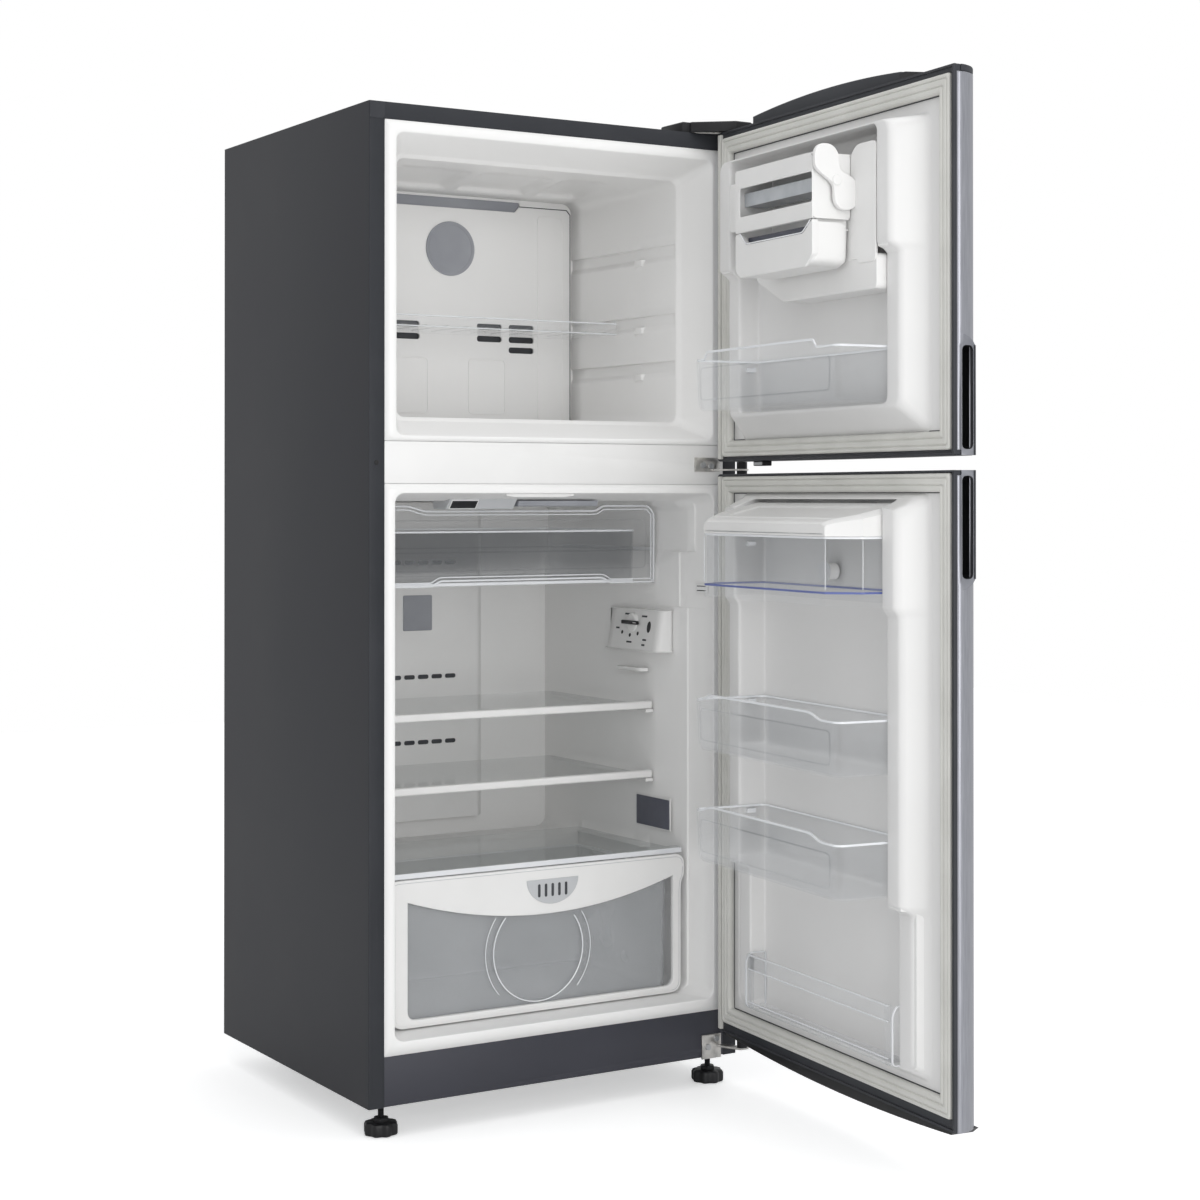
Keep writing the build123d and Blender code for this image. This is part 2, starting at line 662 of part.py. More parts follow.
with BuildPart() as shelf_glasses_upper:
    shelf_glass(SHELF_Z[0])

with BuildPart() as shelf_glasses_lower:
    shelf_glass(SHELF_Z[1])

with BuildPart() as shelf_trim_upper:
    shelf_trim(SHELF_Z[0])

with BuildPart() as shelf_trim_lower:
    shelf_trim(SHELF_Z[1])

with BuildPart() as crisper_cover:
    plan(
        [
            (-FRIDGE_HALF + 22, FRONT + 66),
            (FRIDGE_HALF - 22, FRONT + 66),
            (FRIDGE_HALF - 25.5, FRONT + 160),
            (FRIDGE_HALF - 31, FRONT + STEP_DEPTH - 2),
            (-FRIDGE_HALF + 31, FRONT + STEP_DEPTH - 2),
            (-FRIDGE_HALF + 25.5, FRONT + 160),
        ],
        (COVER_Z, COVER_Z + GLASS_T),
    )
    block(
        (-FRIDGE_HALF + 22, FRIDGE_HALF - 22),
        (FRONT + 66, FRONT + 70),
        (COVER_Z, COVER_Z + 9),
    )

# Crisper drawer: clear tub, framed front and the humidity slide in it
CRISPER_FRONT = 62.0
CRISPER_Z = (FRIDGE_LOW + SEAT, FRIDGE_LOW + 237)
TUB_HALF = FRIDGE_HALF - 40
FRAME_Z = (FRIDGE_LOW + 2, FRIDGE_LOW + 237)
with BuildPart() as crisper_tub:
    block((-TUB_HALF, TUB_HALF), (FRONT + 72, FRONT + 392), (CRISPER_Z[0], CRISPER_Z[1] - 20))
    fillet(crisper_tub.edges().filter_by(Axis.Y).group_by(Axis.Z)[0], radius=14)
    block(
        (-TUB_HALF + WALL_T, TUB_HALF - WALL_T),
        (FRONT + 72 + WALL_T, FRONT + 392 - WALL_T),
        (CRISPER_Z[0] + WALL_T, CRISPER_Z[1]),
        mode=Mode.SUBTRACT,
    )
    for side in (-1, 1):
        lip = sorted((side * (TUB_HALF - WALL_T), side * (TUB_HALF + 6)))
        block(lip, (FRONT + 72, FRONT + 392), (CRISPER_Z[1] - 23, CRISPER_Z[1] - 20))

SLIDE_Z = (FRIDGE_LOW + 179, FRIDGE_LOW + 222)
with BuildPart() as crisper_front:
    slab(FRIDGE_HALF - 18, FRAME_Z, 21, (FRONT + CRISPER_FRONT, FRONT + 71.7))
    slab(
        FRIDGE_HALF - 50.5,
        (FRIDGE_LOW + 27, FRIDGE_LOW + 187),
        14,
        (FRONT + CRISPER_FRONT - 1, FRONT + 66),
        mode=Mode.SUBTRACT,
    )
    block(
        (-31 - SEAT, 69 + SEAT),
        (FRONT + CRISPER_FRONT - 1, FRONT + 66),
        (SLIDE_Z[0] - SEAT, SLIDE_Z[1] + SEAT),
        mode=Mode.SUBTRACT,
    )
    for slot in range(5):
        x = -8 + slot * 13
        block((x - 3, x + 3), (FRONT + 60, FRONT + 75), (SLIDE_Z[0] + 8, SLIDE_Z[1] - 12), mode=Mode.SUBTRACT)

with BuildPart() as humidity_slide:
    block((-31, 41), (FRONT + 62.5, FRONT + 66 - SEAT), SLIDE_Z)
    for slot in range(5):
        x = -21 + slot * 13
        block((x - 3, x + 3), (FRONT + 60, FRONT + 67), (SLIDE_Z[0] + 8, SLIDE_Z[1] - 12), mode=Mode.SUBTRACT)
    block((-1, 11), (FRONT + 60, FRONT + 63), (SLIDE_Z[1] - 10, SLIDE_Z[1] - 3))


def foot(x):
    """Levelling foot: a grip knob on a stud that screws up into the base pan."""
    rod((x, FOOT_Y, 0), (0, 0, 1), FOOT_R - 3, FOOT_H)
    for lobe in range(8):
        angle = math.radians(22.5 + lobe * 45)
        dx = (FOOT_R - 8) * math.cos(angle)
        dy = (FOOT_R - 8) * math.sin(angle)
        rod((x + dx, FOOT_Y + dy, 0), (0, 0, 1), 8, FOOT_H - 6)
    rod((x, FOOT_Y, FOOT_H), (0, 0, 1), 11, 10)
    rod((x, FOOT_Y, FOOT_H), (0, 0, 1), FOOT_STUD_R, PAN_Z - PAN_T - SEAT - FOOT_H - 6)


with BuildPart() as left_foot:
    foot(-FOOT_X)

with BuildPart() as right_foot:
    foot(FOOT_X)


def roller(x):
    """Rear roller on its fixed axle."""
    rod((x - 9, ROLLER_Y, ROLLER_R), (1, 0, 0), ROLLER_R, 18)
    rod((x - 10, ROLLER_Y, ROLLER_R), (1, 0, 0), ROLLER_AXLE_R + RUN, 20, mode=Mode.SUBTRACT)


with BuildPart() as left_roller:
    roller(-ROLLER_X)

with BuildPart() as right_roller:
    roller(ROLLER_X)

# Hinges: top plate and pin, middle bracket with a pin both ways, bottom bracket with a pin up
ARM_Z = DOOR_MID_LOW + 9
LOW_ARM_Z = FLOOR_GAP + 20
CROWN_LOW = FRIDGE_DOOR_BOTTOM - 10
with BuildPart() as hinge_brackets:
    plan(
        [
            (HALF_W - 92, FRONT + 8),
            (AXIS_X - 10, AXIS_Y + 14),
            (AXIS_X - 10, AXIS_Y - 8),
            (AXIS_X + 7, AXIS_Y - 8),
            (AXIS_X + 5, AXIS_Y + 16),
            (HALF_W - 22, FRONT + 8),
            (HALF_W - 22, FRONT + 56),
            (HALF_W - 92, FRONT + 56),
        ],
        (CAB_TOP, CAB_TOP + PLATE_T),
    )
    rod((AXIS_X, AXIS_Y, CAB_TOP + PLATE_T), (0, 0, -1), HINGE_PIN_R, PLATE_T + 22)
    block((HALF_W - 86, HALF_W - 35), (FRONT - PLATE_T, FRONT), MID_PLATE_Z)
    plan(
        [
            (HALF_W - 50, FRONT),
            (HALF_W - 50, FRONT - 8),
            (AXIS_X - 11, AXIS_Y),
            (AXIS_X - 8, AXIS_Y - 8),
            (AXIS_X + 8, AXIS_Y - 8),
            (AXIS_X + 11, AXIS_Y),
            (HALF_W - 35, FRONT - 8),
            (HALF_W - 35, FRONT),
        ],
        (ARM_Z - PLATE_T, ARM_Z),
    )
    rod((AXIS_X, AXIS_Y, DOOR_MID_LOW - 20), (0, 0, 1), HINGE_PIN_R, DOOR_GAP + 40)
    block((HALF_W - 72, HALF_W - 33), (FRONT - PLATE_T, FRONT), LOW_PLATE_Z)
    plan(
        [
            (HALF_W - 45, FRONT),
            (AXIS_X - 12, AXIS_Y),
            (AXIS_X - 8, AXIS_Y - 8),
            (AXIS_X + 8, AXIS_Y - 8),
            (AXIS_X + 12, AXIS_Y),
            (HALF_W - 33, FRONT),
        ],
        (LOW_ARM_Z - PLATE_T, LOW_ARM_Z),
    )
    rod((AXIS_X, AXIS_Y, LOW_ARM_Z - PLATE_T), (0, 0, 1), HINGE_PIN_R, CROWN_LOW + 18 - LOW_ARM_Z)
    screw_holes(SEAT)


def bushing(z, height):
    """Spacer ring around a hinge pin."""
    rod((AXIS_X, AXIS_Y, z), (0, 0, 1), BUSH_R, height)
    rod((AXIS_X, AXIS_Y, z - 1), (0, 0, 1), HINGE_PIN_R + SEAT, height + 2, mode=Mode.SUBTRACT)


with BuildPart() as hinge_bushings:
    bushing(ARM_Z, DOOR_MID_HIGH - SEAT - ARM_Z)
    bushing(DOOR_MID_LOW + SEAT, ARM_Z - PLATE_T - DOOR_MID_LOW - SEAT)
    bushing(LOW_ARM_Z, CROWN_LOW - SEAT - LOW_ARM_Z)

with BuildPart() as hinge_screws:
    for x, z in FACE_SCREWS + LOW_SCREWS:
        rod((x, FRONT - PLATE_T - SCREW_HEAD_H, z), (0, 1, 0), SCREW_HEAD_R, SCREW_HEAD_H)
        rod((x, FRONT - PLATE_T, z), (0, 1, 0), SCREW_R, SCREW_L)
    for x, y in TOP_SCREWS:
        rod((x, y, CAB_TOP + PLATE_T), (0, 0, 1), SCREW_HEAD_R, SCREW_HEAD_H)
        rod((x, y, CAB_TOP + PLATE_T), (0, 0, -1), SCREW_R, SCREW_L)

with BuildPart() as hinge_cover:
    plan(
        [
            (HALF_W - 108, FRONT + 3),
            (HALF_W - 94, FRONT + 3),
            (HALF_W - 94, FRONT - 2),
            (AXIS_X - 20, AXIS_Y - 12),
            (AXIS_X + 13, AXIS_Y - 12),
            (HALF_W - 8, FRONT + 3),
            (HALF_W - 8, FRONT + 70),
            (HALF_W - 108, FRONT + 70),
        ],
        (CAB_TOP + SEAT, CAB_TOP + 18),
    )
    fillet(hinge_cover.edges().group_by(Axis.Z)[-1], radius=3)
    plan(
        [
            (HALF_W - 105, FRONT + 6),
            (HALF_W - 93, FRONT + 6),
            (HALF_W - 93, FRONT + 1),
            (AXIS_X - 18, AXIS_Y - 10),
            (AXIS_X + 11, AXIS_Y - 10),
            (HALF_W - 10, FRONT + 5),
            (HALF_W - 10, FRONT + 67),
            (HALF_W - 105, FRONT + 67),
        ],
        (CAB_TOP, CAB_TOP + 15.5),
        mode=Mode.SUBTRACT,
    )

# Doors, modelled closed and swung open when they are written


def door_plan(inset, back, z, mode=Mode.ADD):
    """Plan of a bowed door between two heights, shrunk by an inset, its back at a depth before the cabinet."""
    left = -HALF_W + inset
    right = HALF_W - inset
    with BuildSketch(Plane.XY.offset(z[0])) as outline:
        with BuildLine():
            Line((left, FRONT - back), (left, FRONT - 20))
            ThreePointArc(
                (left, FRONT - 20),
                (-HALF_W + 9 + 0.8 * inset, FRONT - 38 + 0.6 * inset),
                (-HALF_W + 34 + 0.35 * inset, FRONT - DOOR_SIDE + inset),
            )
            ThreePointArc(
                (-HALF_W + 34 + 0.35 * inset, FRONT - DOOR_SIDE + inset),
                (0, FRONT - DOOR_BOW + inset),
                (HALF_W - 10 - 0.4 * inset, FRONT - DOOR_SIDE + inset),
            )
            Line(
                (HALF_W - 10 - 0.4 * inset, FRONT - DOOR_SIDE + inset),
                (right, FRONT - DOOR_SIDE + 10 + 0.4 * inset),
            )
            Line((right, FRONT - DOOR_SIDE + 10 + 0.4 * inset), (right, FRONT - back))
            Line((right, FRONT - back), (left, FRONT - back))
        make_face()
    extrude(outline.sketch, amount=z[1] - z[0], mode=mode)


def insert_notch(z):
    """Room for the handle insert in the free edge of a door."""
    block(
        (-HALF_W - 5, -HALF_W + INSERT_S + SEAT),
        (FRONT - INSERT_N[0] - SEAT, FRONT - INSERT_N[1] + SEAT),
        z,
        mode=Mode.SUBTRACT,
    )


def door_skin(z, slot_z):
    """Bent steel sheet around the door front and edges, notched for the handle insert."""
    door_plan(0, SKIN_BACK, z)
    door_plan(SKIN_T, SKIN_BACK - 3, (z[0] - 1, z[1] + 1), mode=Mode.SUBTRACT)
    insert_notch(slot_z)


def door_frame(z, border):
    """Moulded edge frame that closes the door behind the skin and holds the liner's rim."""
    low, high = z
    block((-HALF_W + 1.3, HALF_W - 1.3), (FRONT - 13.5, FRONT - 6.2), z)
    block((-HALF_W, HALF_W), (FRONT - 6.2, FRONT - 3.4), z)
    block(
        (-HALF_W + FRAME_LIP, HALF_W - FRAME_LIP),
        (FRONT - 6.2, FRONT),
        (low + END_LIP, high - END_LIP),
        mode=Mode.SUBTRACT,
    )
    block((-HALF_W, -HALF_W + FRAME_LIP), (FRONT - 6.2, FRONT - 0.8), z)
    block(
        (-HALF_W + 10, HALF_W - 10),
        (FRONT - 14, FRONT),
        (low + border[0], high - border[1]),
        mode=Mode.SUBTRACT,
    )


def door_gasket(z, border):
    """Magnetic seal around the door liner."""
    half = HALF_W - GASKET_INSET
    outer = (z[0] + border[0] + 0.6, z[1] - border[1] - 0.4)
    slab(half, outer, 6, (FRONT - 0.6 - GASKET_T, FRONT - 0.6))
    slab(
        half - GASKET_W,
        (outer[0] + GASKET_W, outer[1] - GASKET_W),
        6,
        (FRONT - 20, FRONT),
        mode=Mode.SUBTRACT,
    )
    for inset in (6.4, 16.4):
        with BuildSketch(wall(FRONT - 0.6)) as groove:
            with Locations((0, (outer[0] + outer[1]) / 2)):
                RectangleRounded(2 * (half - inset), outer[1] - outer[0] - 2 * inset, 6)
                RectangleRounded(
                    2 * (half - inset - 1.6),
                    outer[1] - outer[0] - 2 * inset - 3.2,
                    5,
                    mode=Mode.SUBTRACT,
                )
        extrude(groove.sketch, amount=3, mode=Mode.SUBTRACT)


def dyke(shape, inset):
    """Raised frame of a door liner, shrunk by an inset for its hollow: tapered, with a taller and a lower run."""
    runs = [(shape["foot"], shape["crest"], FOOT_INSET, shape["side"], -PANEL_N - LINER_SKIN - inset, shape["rise"])]
    low, high, rise = shape["raised"]
    runs.append(((low - 14, high + 8), (low, high), FOOT_INSET + 12, shape["side"] + 4, 0, rise))
    for foot, crest, foot_side, crest_side, start, rise in runs:
        profiles = []
        for side, ends, depth in ((foot_side, foot, start), (crest_side, crest, rise - inset)):
            with BuildSketch(wall(FRONT + depth)) as profile:
                with Locations((0, (ends[0] + ends[1]) / 2)):
                    RectangleRounded(2 * (HALF_W - side - inset), ends[1] - ends[0] - 2 * inset, 10)
            profiles.append(profile.sketch)
        loft(profiles, ruled=True)
    if shape["dip"]:
        top, level = shape["dip"]
        block(
            (-HALF_W, HALF_W),
            (FRONT + level - inset, FRONT + shape["rise"] + 1),
            (shape["foot"][0] - 1, top + inset),
            mode=Mode.SUBTRACT,
        )


def door_liner(z, border, shape, pocket_z, pocket_floor, lugs):
    """Vacuum-formed door liner: flat border, hollow dykes, pocket and the lugs its bins hang on."""
    pocket_half = HALF_W - POCKET_INSET
    with BuildPart() as hollow:
        dyke(shape, LINER_SKIN)
        block(
            (-pocket_half - LINER_SKIN, pocket_half + LINER_SKIN),
            (FRONT + pocket_floor - LINER_SKIN, FRONT + 60),
            (pocket_z[0] - LINER_SKIN, pocket_z[1] + LINER_SKIN),
            mode=Mode.SUBTRACT,
        )
    with BuildPart() as liner:
        block(
            (-HALF_W + 10 + SEAT, HALF_W - 10 - SEAT),
            (FRONT - PANEL_N - LINER_SKIN, FRONT - PANEL_N),
            (z[0] + border[0] + SEAT, z[1] - border[1] - SEAT),
        )
        dyke(shape, 0)
        if pocket_floor < -PANEL_N:
            block(
                (-pocket_half - LINER_SKIN, pocket_half + LINER_SKIN),
                (FRONT + pocket_floor - LINER_SKIN, FRONT - PANEL_N),
                (pocket_z[0] - LINER_SKIN, pocket_z[1] + LINER_SKIN),
            )
        add(hollow.part, mode=Mode.SUBTRACT)
        block(
            (-pocket_half, pocket_half),
            (FRONT + pocket_floor, FRONT + 60),
            pocket_z,
            mode=Mode.SUBTRACT,
        )
        for top in lugs:
            for side in (-1, 1):
                lug = sorted((side * (pocket_half - LUG_X), side * (pocket_half + 1)))
                block(lug, (FRONT + LUG_N[0], FRONT + LUG_N[1]), (top - LUG_H, top))
    return liner


def door_foam(z, ends, shape, pocket_z, pocket_floor, slot_z):
    """Foamed core between the door skin and the liner."""
    pocket_half = HALF_W - POCKET_INSET
    grow = LINER_SKIN + SEAT
    with BuildPart() as foam:
        dyke(shape, grow)
        door_plan(SKIN_T + SEAT, PANEL_N + LINER_SKIN + SEAT, z)
        block(
            (-pocket_half - grow, pocket_half + grow),
            (FRONT + pocket_floor - grow, FRONT + 60),
            (pocket_z[0] - grow, pocket_z[1] + grow),
            mode=Mode.SUBTRACT,
        )
        insert_notch(slot_z)
        for end in ends:
            rod((AXIS_X, AXIS_Y, end), (0, 0, 1), BOSS_R + SEAT, BOSS_H + 2 * SEAT, mode=Mode.SUBTRACT)
            block(
                (AXIS_X, HALF_W),
                (AXIS_Y - BOSS_R - SEAT, AXIS_Y + BOSS_R + SEAT),
                (end, end + BOSS_H + 2 * SEAT),
                mode=Mode.SUBTRACT,
            )
    return foam


INSERT_S = 40.0
INSERT_N = (36.0, 13.9)
SLOT_N = (29.0, 15.3)
FRAME_LIP = 5.6
END_LIP = 3.5
LUG_X = 4.0
LUG_H = 20.0
LUG_N = (2.0, 16.0)

FREEZER_BORDER = (7.4, 10.9)
FRIDGE_BORDER = (16.4, 3.9)
FREEZER_DYKE = {
    "foot": (FREEZER_LOW - 2, FREEZER_TOP - 16),
    "crest": (FREEZER_LOW + 35, FREEZER_TOP - 24),
    "side": 92,
    "rise": 30,
    "raised": (FREEZER_LOW + 270, FREEZER_TOP - 26, 48),
    "dip": None,
}
FREEZER_POCKET = (FREEZER_LOW + 41, FREEZER_TOP - 27)
FREEZER_FLOOR = -8.0
FREEZER_BIN_Z = (FREEZER_LOW + 43, FREEZER_LOW + 127)
FREEZER_BIN_RISE = 12.0
FREEZER_HANDLE_Z = (FREEZER_DOOR_Z[0], FREEZER_DOOR_Z[0] + 175)
FREEZER_SKIN_Z = (FREEZER_DOOR_Z[0] + CAP_T + SEAT, FREEZER_DOOR_Z[1] - TOP_CAP_T - SEAT)

FRIDGE_DYKE = {
    "foot": (FRIDGE_LOW + 6, FRIDGE_TOP + 6),
    "crest": (FRIDGE_LOW + 32, FRIDGE_TOP - 14),
    "side": 92,
    "rise": 30,
    "raised": (FRIDGE_TOP - 170, FRIDGE_TOP - 17, 39),
    "dip": (FRIDGE_LOW + 252, 9),
}
FRIDGE_POCKET = (FRIDGE_LOW + 18, FRIDGE_TOP - 3)
FRIDGE_FLOOR_N = -20.0
BIN_Z = [
    (FRIDGE_LOW + 449, FRIDGE_LOW + 532),
    (FRIDGE_LOW + 268, FRIDGE_LOW + 352),
]
RETAINER_Z = (FRIDGE_LOW + 18 + SEAT, FRIDGE_LOW + 108)
TANK_LOW = FRIDGE_TOP - 161
FRIDGE_HANDLE_Z = (FRIDGE_DOOR_Z[1] - 173.4, FRIDGE_DOOR_Z[1])
FRIDGE_SKIN_Z = (FRIDGE_DOOR_Z[0] + SEAT, FRIDGE_DOOR_Z[1] - CAP_T - SEAT)

with BuildPart() as freezer_door_skin:
    door_skin(FREEZER_SKIN_Z, (FREEZER_HANDLE_Z[0], FREEZER_HANDLE_Z[1] + SEAT))

with BuildPart() as fridge_door_skin:
    door_skin(FRIDGE_SKIN_Z, (FRIDGE_HANDLE_Z[0] - SEAT, FRIDGE_HANDLE_Z[1]))

with BuildPart() as freezer_door_frame:
    door_frame(FREEZER_DOOR_Z, FREEZER_BORDER)

with BuildPart() as fridge_door_frame:
    door_frame(FRIDGE_DOOR_Z, FRIDGE_BORDER)

with BuildPart() as freezer_gasket:
    door_gasket(FREEZER_DOOR_Z, FREEZER_BORDER)

with BuildPart() as fridge_gasket:
    door_gasket(FRIDGE_DOOR_Z, FRIDGE_BORDER)

FREEZER_LUG = FREEZER_LOW + 108
FRIDGE_LUGS = [BIN_Z[0][0] + 70, BIN_Z[1][0] + 70, TANK_LOW + 80]
freezer_door_liner = door_liner(
    FREEZER_DOOR_Z,
    FREEZER_BORDER,
    FREEZER_DYKE,
    FREEZER_POCKET,
    FREEZER_FLOOR,
    [FREEZER_LUG],
)
fridge_door_liner = door_liner(
    FRIDGE_DOOR_Z,
    FRIDGE_BORDER,
    FRIDGE_DYKE,
    FRIDGE_POCKET,
    FRIDGE_FLOOR_N,
    FRIDGE_LUGS,
)

freezer_door_foam = door_foam(
    FREEZER_SKIN_Z,
    (FREEZER_SKIN_Z[0] - SEAT, FREEZER_SKIN_Z[1] - BOSS_H - SEAT),
    FREEZER_DYKE,
    FREEZER_POCKET,
    FREEZER_FLOOR,
    (FREEZER_HANDLE_Z[0] - 1, FREEZER_HANDLE_Z[1] + SEAT),
)
fridge_door_foam = door_foam(
    FRIDGE_SKIN_Z,
    (FRIDGE_SKIN_Z[0] - SEAT, FRIDGE_SKIN_Z[1] - BOSS_H - SEAT),
    FRIDGE_DYKE,
    FRIDGE_POCKET,
    FRIDGE_FLOOR_N,
    (FRIDGE_HANDLE_Z[0] - SEAT, FRIDGE_HANDLE_Z[1] + 1),
)


def cap_boss(z, up):
    """Hinge boss on the inner side of a door end cap."""
    direction = (0, 0, 1) if up else (0, 0, -1)
    rod((AXIS_X, AXIS_Y, z), direction, BOSS_R, BOSS_H)


def cap_bore(z, up, depth):
    """Bore for the hinge pin through an end cap into its boss."""
    direction = (0, 0, 1) if up else (0, 0, -1)
    rod((AXIS_X, AXIS_Y, z), direction, HINGE_PIN_R + RUN, depth, mode=Mode.SUBTRACT)


CAP_BACK = 13.5 + SEAT
CROWN = [
    (-HALF_W + 74, 0),
    (-HALF_W + 160, CROWN_RISE - 10),
    (HALF_W - 97, CROWN_RISE - 10),
    (HALF_W - 97, 0),
]
with BuildPart() as freezer_door_caps:
    top = FREEZER_DOOR_Z[1]
    low = FREEZER_DOOR_Z[0]
    door_plan(0, CAP_BACK, (top - TOP_CAP_T, top))
    door_plan(0, CAP_BACK, (low, low + CAP_T))
    with BuildSketch(wall(FRONT - 14)) as crown:
        with BuildLine():
            Line((CROWN[0][0], top - 1), (CROWN[1][0], top + CROWN[1][1]))
            ThreePointArc(
                (CROWN[1][0], top + CROWN[1][1]),
                ((CROWN[1][0] + CROWN[2][0]) / 2, top + CROWN_RISE),
                (CROWN[2][0], top + CROWN[2][1]),
            )
            Line((CROWN[2][0], top + CROWN[2][1]), (CROWN[3][0], top - 1))
            Line((CROWN[3][0], top - 1), (CROWN[0][0], top - 1))
        make_face()
    extrude(crown.sketch, amount=42)
    cap_boss(top - TOP_CAP_T, False)
    cap_boss(low + CAP_T, True)
    cap_bore(top + 1, False, TOP_CAP_T + BOSS_H - 2)
    cap_bore(low - 1, True, CAP_T + BOSS_H - 2)
    insert_notch((low - 1, low + CAP_T + 1))
    block((HALF_W - 130, HALF_W - 96), (FRONT - 34, FRONT - 14), (low - 9, low))

with BuildPart() as fridge_door_caps:
    top = FRIDGE_DOOR_Z[1]
    low = FRIDGE_DOOR_Z[0]
    door_plan(0, CAP_BACK, (top - CAP_T, top))
    with BuildSketch(wall(FRONT - 14)) as crown:
        with BuildLine():
            Line((-HALF_W + 16, low), (-HALF_W + 30, low - 10))
            ThreePointArc((-HALF_W + 30, low - 10), (0, low - LOWER_CROWN), (HALF_W - 30, low - 10))
            Line((HALF_W - 30, low - 10), (HALF_W - 2, low - 10))
            Line((HALF_W - 2, low - 10), (HALF_W - 2, low))
            Line((HALF_W - 2, low), (-HALF_W + 16, low))
        make_face()
    extrude(crown.sketch, amount=42)
    cap_boss(top - CAP_T, False)
    cap_boss(low - 2, True)
    cap_bore(top + 1, False, CAP_T + BOSS_H - 2)
    cap_bore(low - 11, True, 24)
    insert_notch((top - CAP_T - 1, top + 1))


def handle_insert(z, slot_z):
    """Recessed grip in the free edge of a door, its slot open at the door end."""
    block((-HALF_W, -HALF_W + INSERT_S), (FRONT - INSERT_N[0], FRONT - INSERT_N[1]), z)
    block((-HALF_W - 3, -HALF_W + 1), (FRONT - INSERT_N[0], FRONT - SLOT_N[0]), z)
    block(
        (-HALF_W - 4, -HALF_W + INSERT_S - 3),
        (FRONT - SLOT_N[0], FRONT - SLOT_N[1]),
        slot_z,
        mode=Mode.SUBTRACT,
    )


with BuildPart() as freezer_handle:
    handle_insert(FREEZER_HANDLE_Z, (FREEZER_HANDLE_Z[0] + 8.7, FREEZER_HANDLE_Z[1] - 17))

with BuildPart() as fridge_handle:
    handle_insert(FRIDGE_HANDLE_Z, (FRIDGE_HANDLE_Z[0] + 17, FRIDGE_HANDLE_Z[1] - 8))

# Door bins, hung on the liner lugs so that they lift off
POCKET_HALF = HALF_W - POCKET_INSET


def door_bin(z, back, rise, lug_top):
    """Clear bin with a raised front, notched at both ends for the lugs."""
    half = POCKET_HALF - SEAT
    block((-half, half), (FRONT + back, FRONT + BIN_FRONT), z)
    elevation(
        [
            (-half + 61, z[1] - 1),
            (-half + 67, z[1] + rise),
            (half - 42, z[1] + rise),
            (half - 36, z[1] - 1),
        ],
        (FRONT + BIN_FRONT - WALL_T, FRONT + BIN_FRONT),
    )
    block(
        (-half + WALL_T, half - WALL_T),
        (FRONT + back + WALL_T, FRONT + BIN_FRONT - WALL_T),
        (z[0] + WALL_T, z[1] + 1),
        mode=Mode.SUBTRACT,
    )
    hook(half, z, back, lug_top)


def hook(half, z, back, lug_top):
    """Boss at each end of a hanging piece with a notch that drops over a lug."""
    for side in (-1, 1):
        boss = sorted((side * (half - 8), side * half))
        block(boss, (FRONT + back, FRONT + LUG_N[1] + 4), (z[0], min(z[1], lug_top + 8)))
        notch = sorted((side * (half - 5), side * (half + 1)))
        block(
            notch,
            (FRONT + LUG_N[0] - SEAT, FRONT + LUG_N[1] + SEAT),
            (z[0] - 1, lug_top + SEAT),
            mode=Mode.SUBTRACT,
        )


with BuildPart() as freezer_door_bin:
    door_bin(FREEZER_BIN_Z, FREEZER_FLOOR + SEAT, FREEZER_BIN_RISE, FREEZER_LUG)

with BuildPart() as door_bin_upper:
    door_bin(BIN_Z[0], FRIDGE_FLOOR_N + SEAT, 10.0, FRIDGE_LUGS[0])

with BuildPart() as door_bin_lower:
    door_bin(BIN_Z[1], FRIDGE_FLOOR_N + SEAT, 10.0, FRIDGE_LUGS[1])

# Retainer across the lowest door pocket
RETAINER_HALF = POCKET_HALF - SEAT
with BuildPart() as bottle_retainer:
    low, high = RETAINER_Z
    block((-RETAINER_HALF, RETAINER_HALF), (FRONT - 8, FRONT + 5), (low, low + 10))
    block((-RETAINER_HALF + 15, RETAINER_HALF - 15), (FRONT + 14, FRONT + 20), (high - 26, high))
    block((-RETAINER_HALF + 15, RETAINER_HALF - 15), (FRONT + 14, FRONT + 20), (low, low + 12))
    for side in (-1, 1):
        post = sorted((side * (RETAINER_HALF - 15), side * (RETAINER_HALF - 21)))
        block(post, (FRONT + 14, FRONT + 20), (low, high))
        arm = sorted((side * (RETAINER_HALF - 21), side * RETAINER_HALF))
        block(arm, (FRONT - 19.7, FRONT + 5), (low, high))
        block(arm, (FRONT + 5, FRONT + 16), (low, high))

# Water tank with its tap, and the lid
TANK_TOP = FRIDGE_TOP - 58
TANK_BACK = FRIDGE_FLOOR_N + SEAT


def tank_plan(inset, z, mode=Mode.ADD):
    """Plan of the tank with its two chamfered front corners."""
    half = POCKET_HALF - SEAT - inset
    plan(
        [
            (-half, FRONT + TANK_BACK + inset),
            (-half, FRONT + 70),
            (-half + 34, FRONT + BIN_FRONT - inset),
            (half - 34, FRONT + BIN_FRONT - inset),
            (half, FRONT + 70),
            (half, FRONT + TANK_BACK + inset),
        ],
        z,
        mode=mode,
    )


with BuildPart() as water_tank:
    tank_plan(0, (TANK_LOW, TANK_TOP))
    tank_plan(3, (TANK_LOW + 19, TANK_TOP + 1), mode=Mode.SUBTRACT)
    tank_plan(2, (TANK_LOW - 1, TANK_LOW + 16), mode=Mode.SUBTRACT)
    hook(POCKET_HALF - SEAT, (TANK_LOW, TANK_TOP), TANK_BACK, FRIDGE_LUGS[2])
    rod((-6, FRONT + TANK_BACK + 2, TANK_LOW + 45), (0, 1, 0), 13, 24)

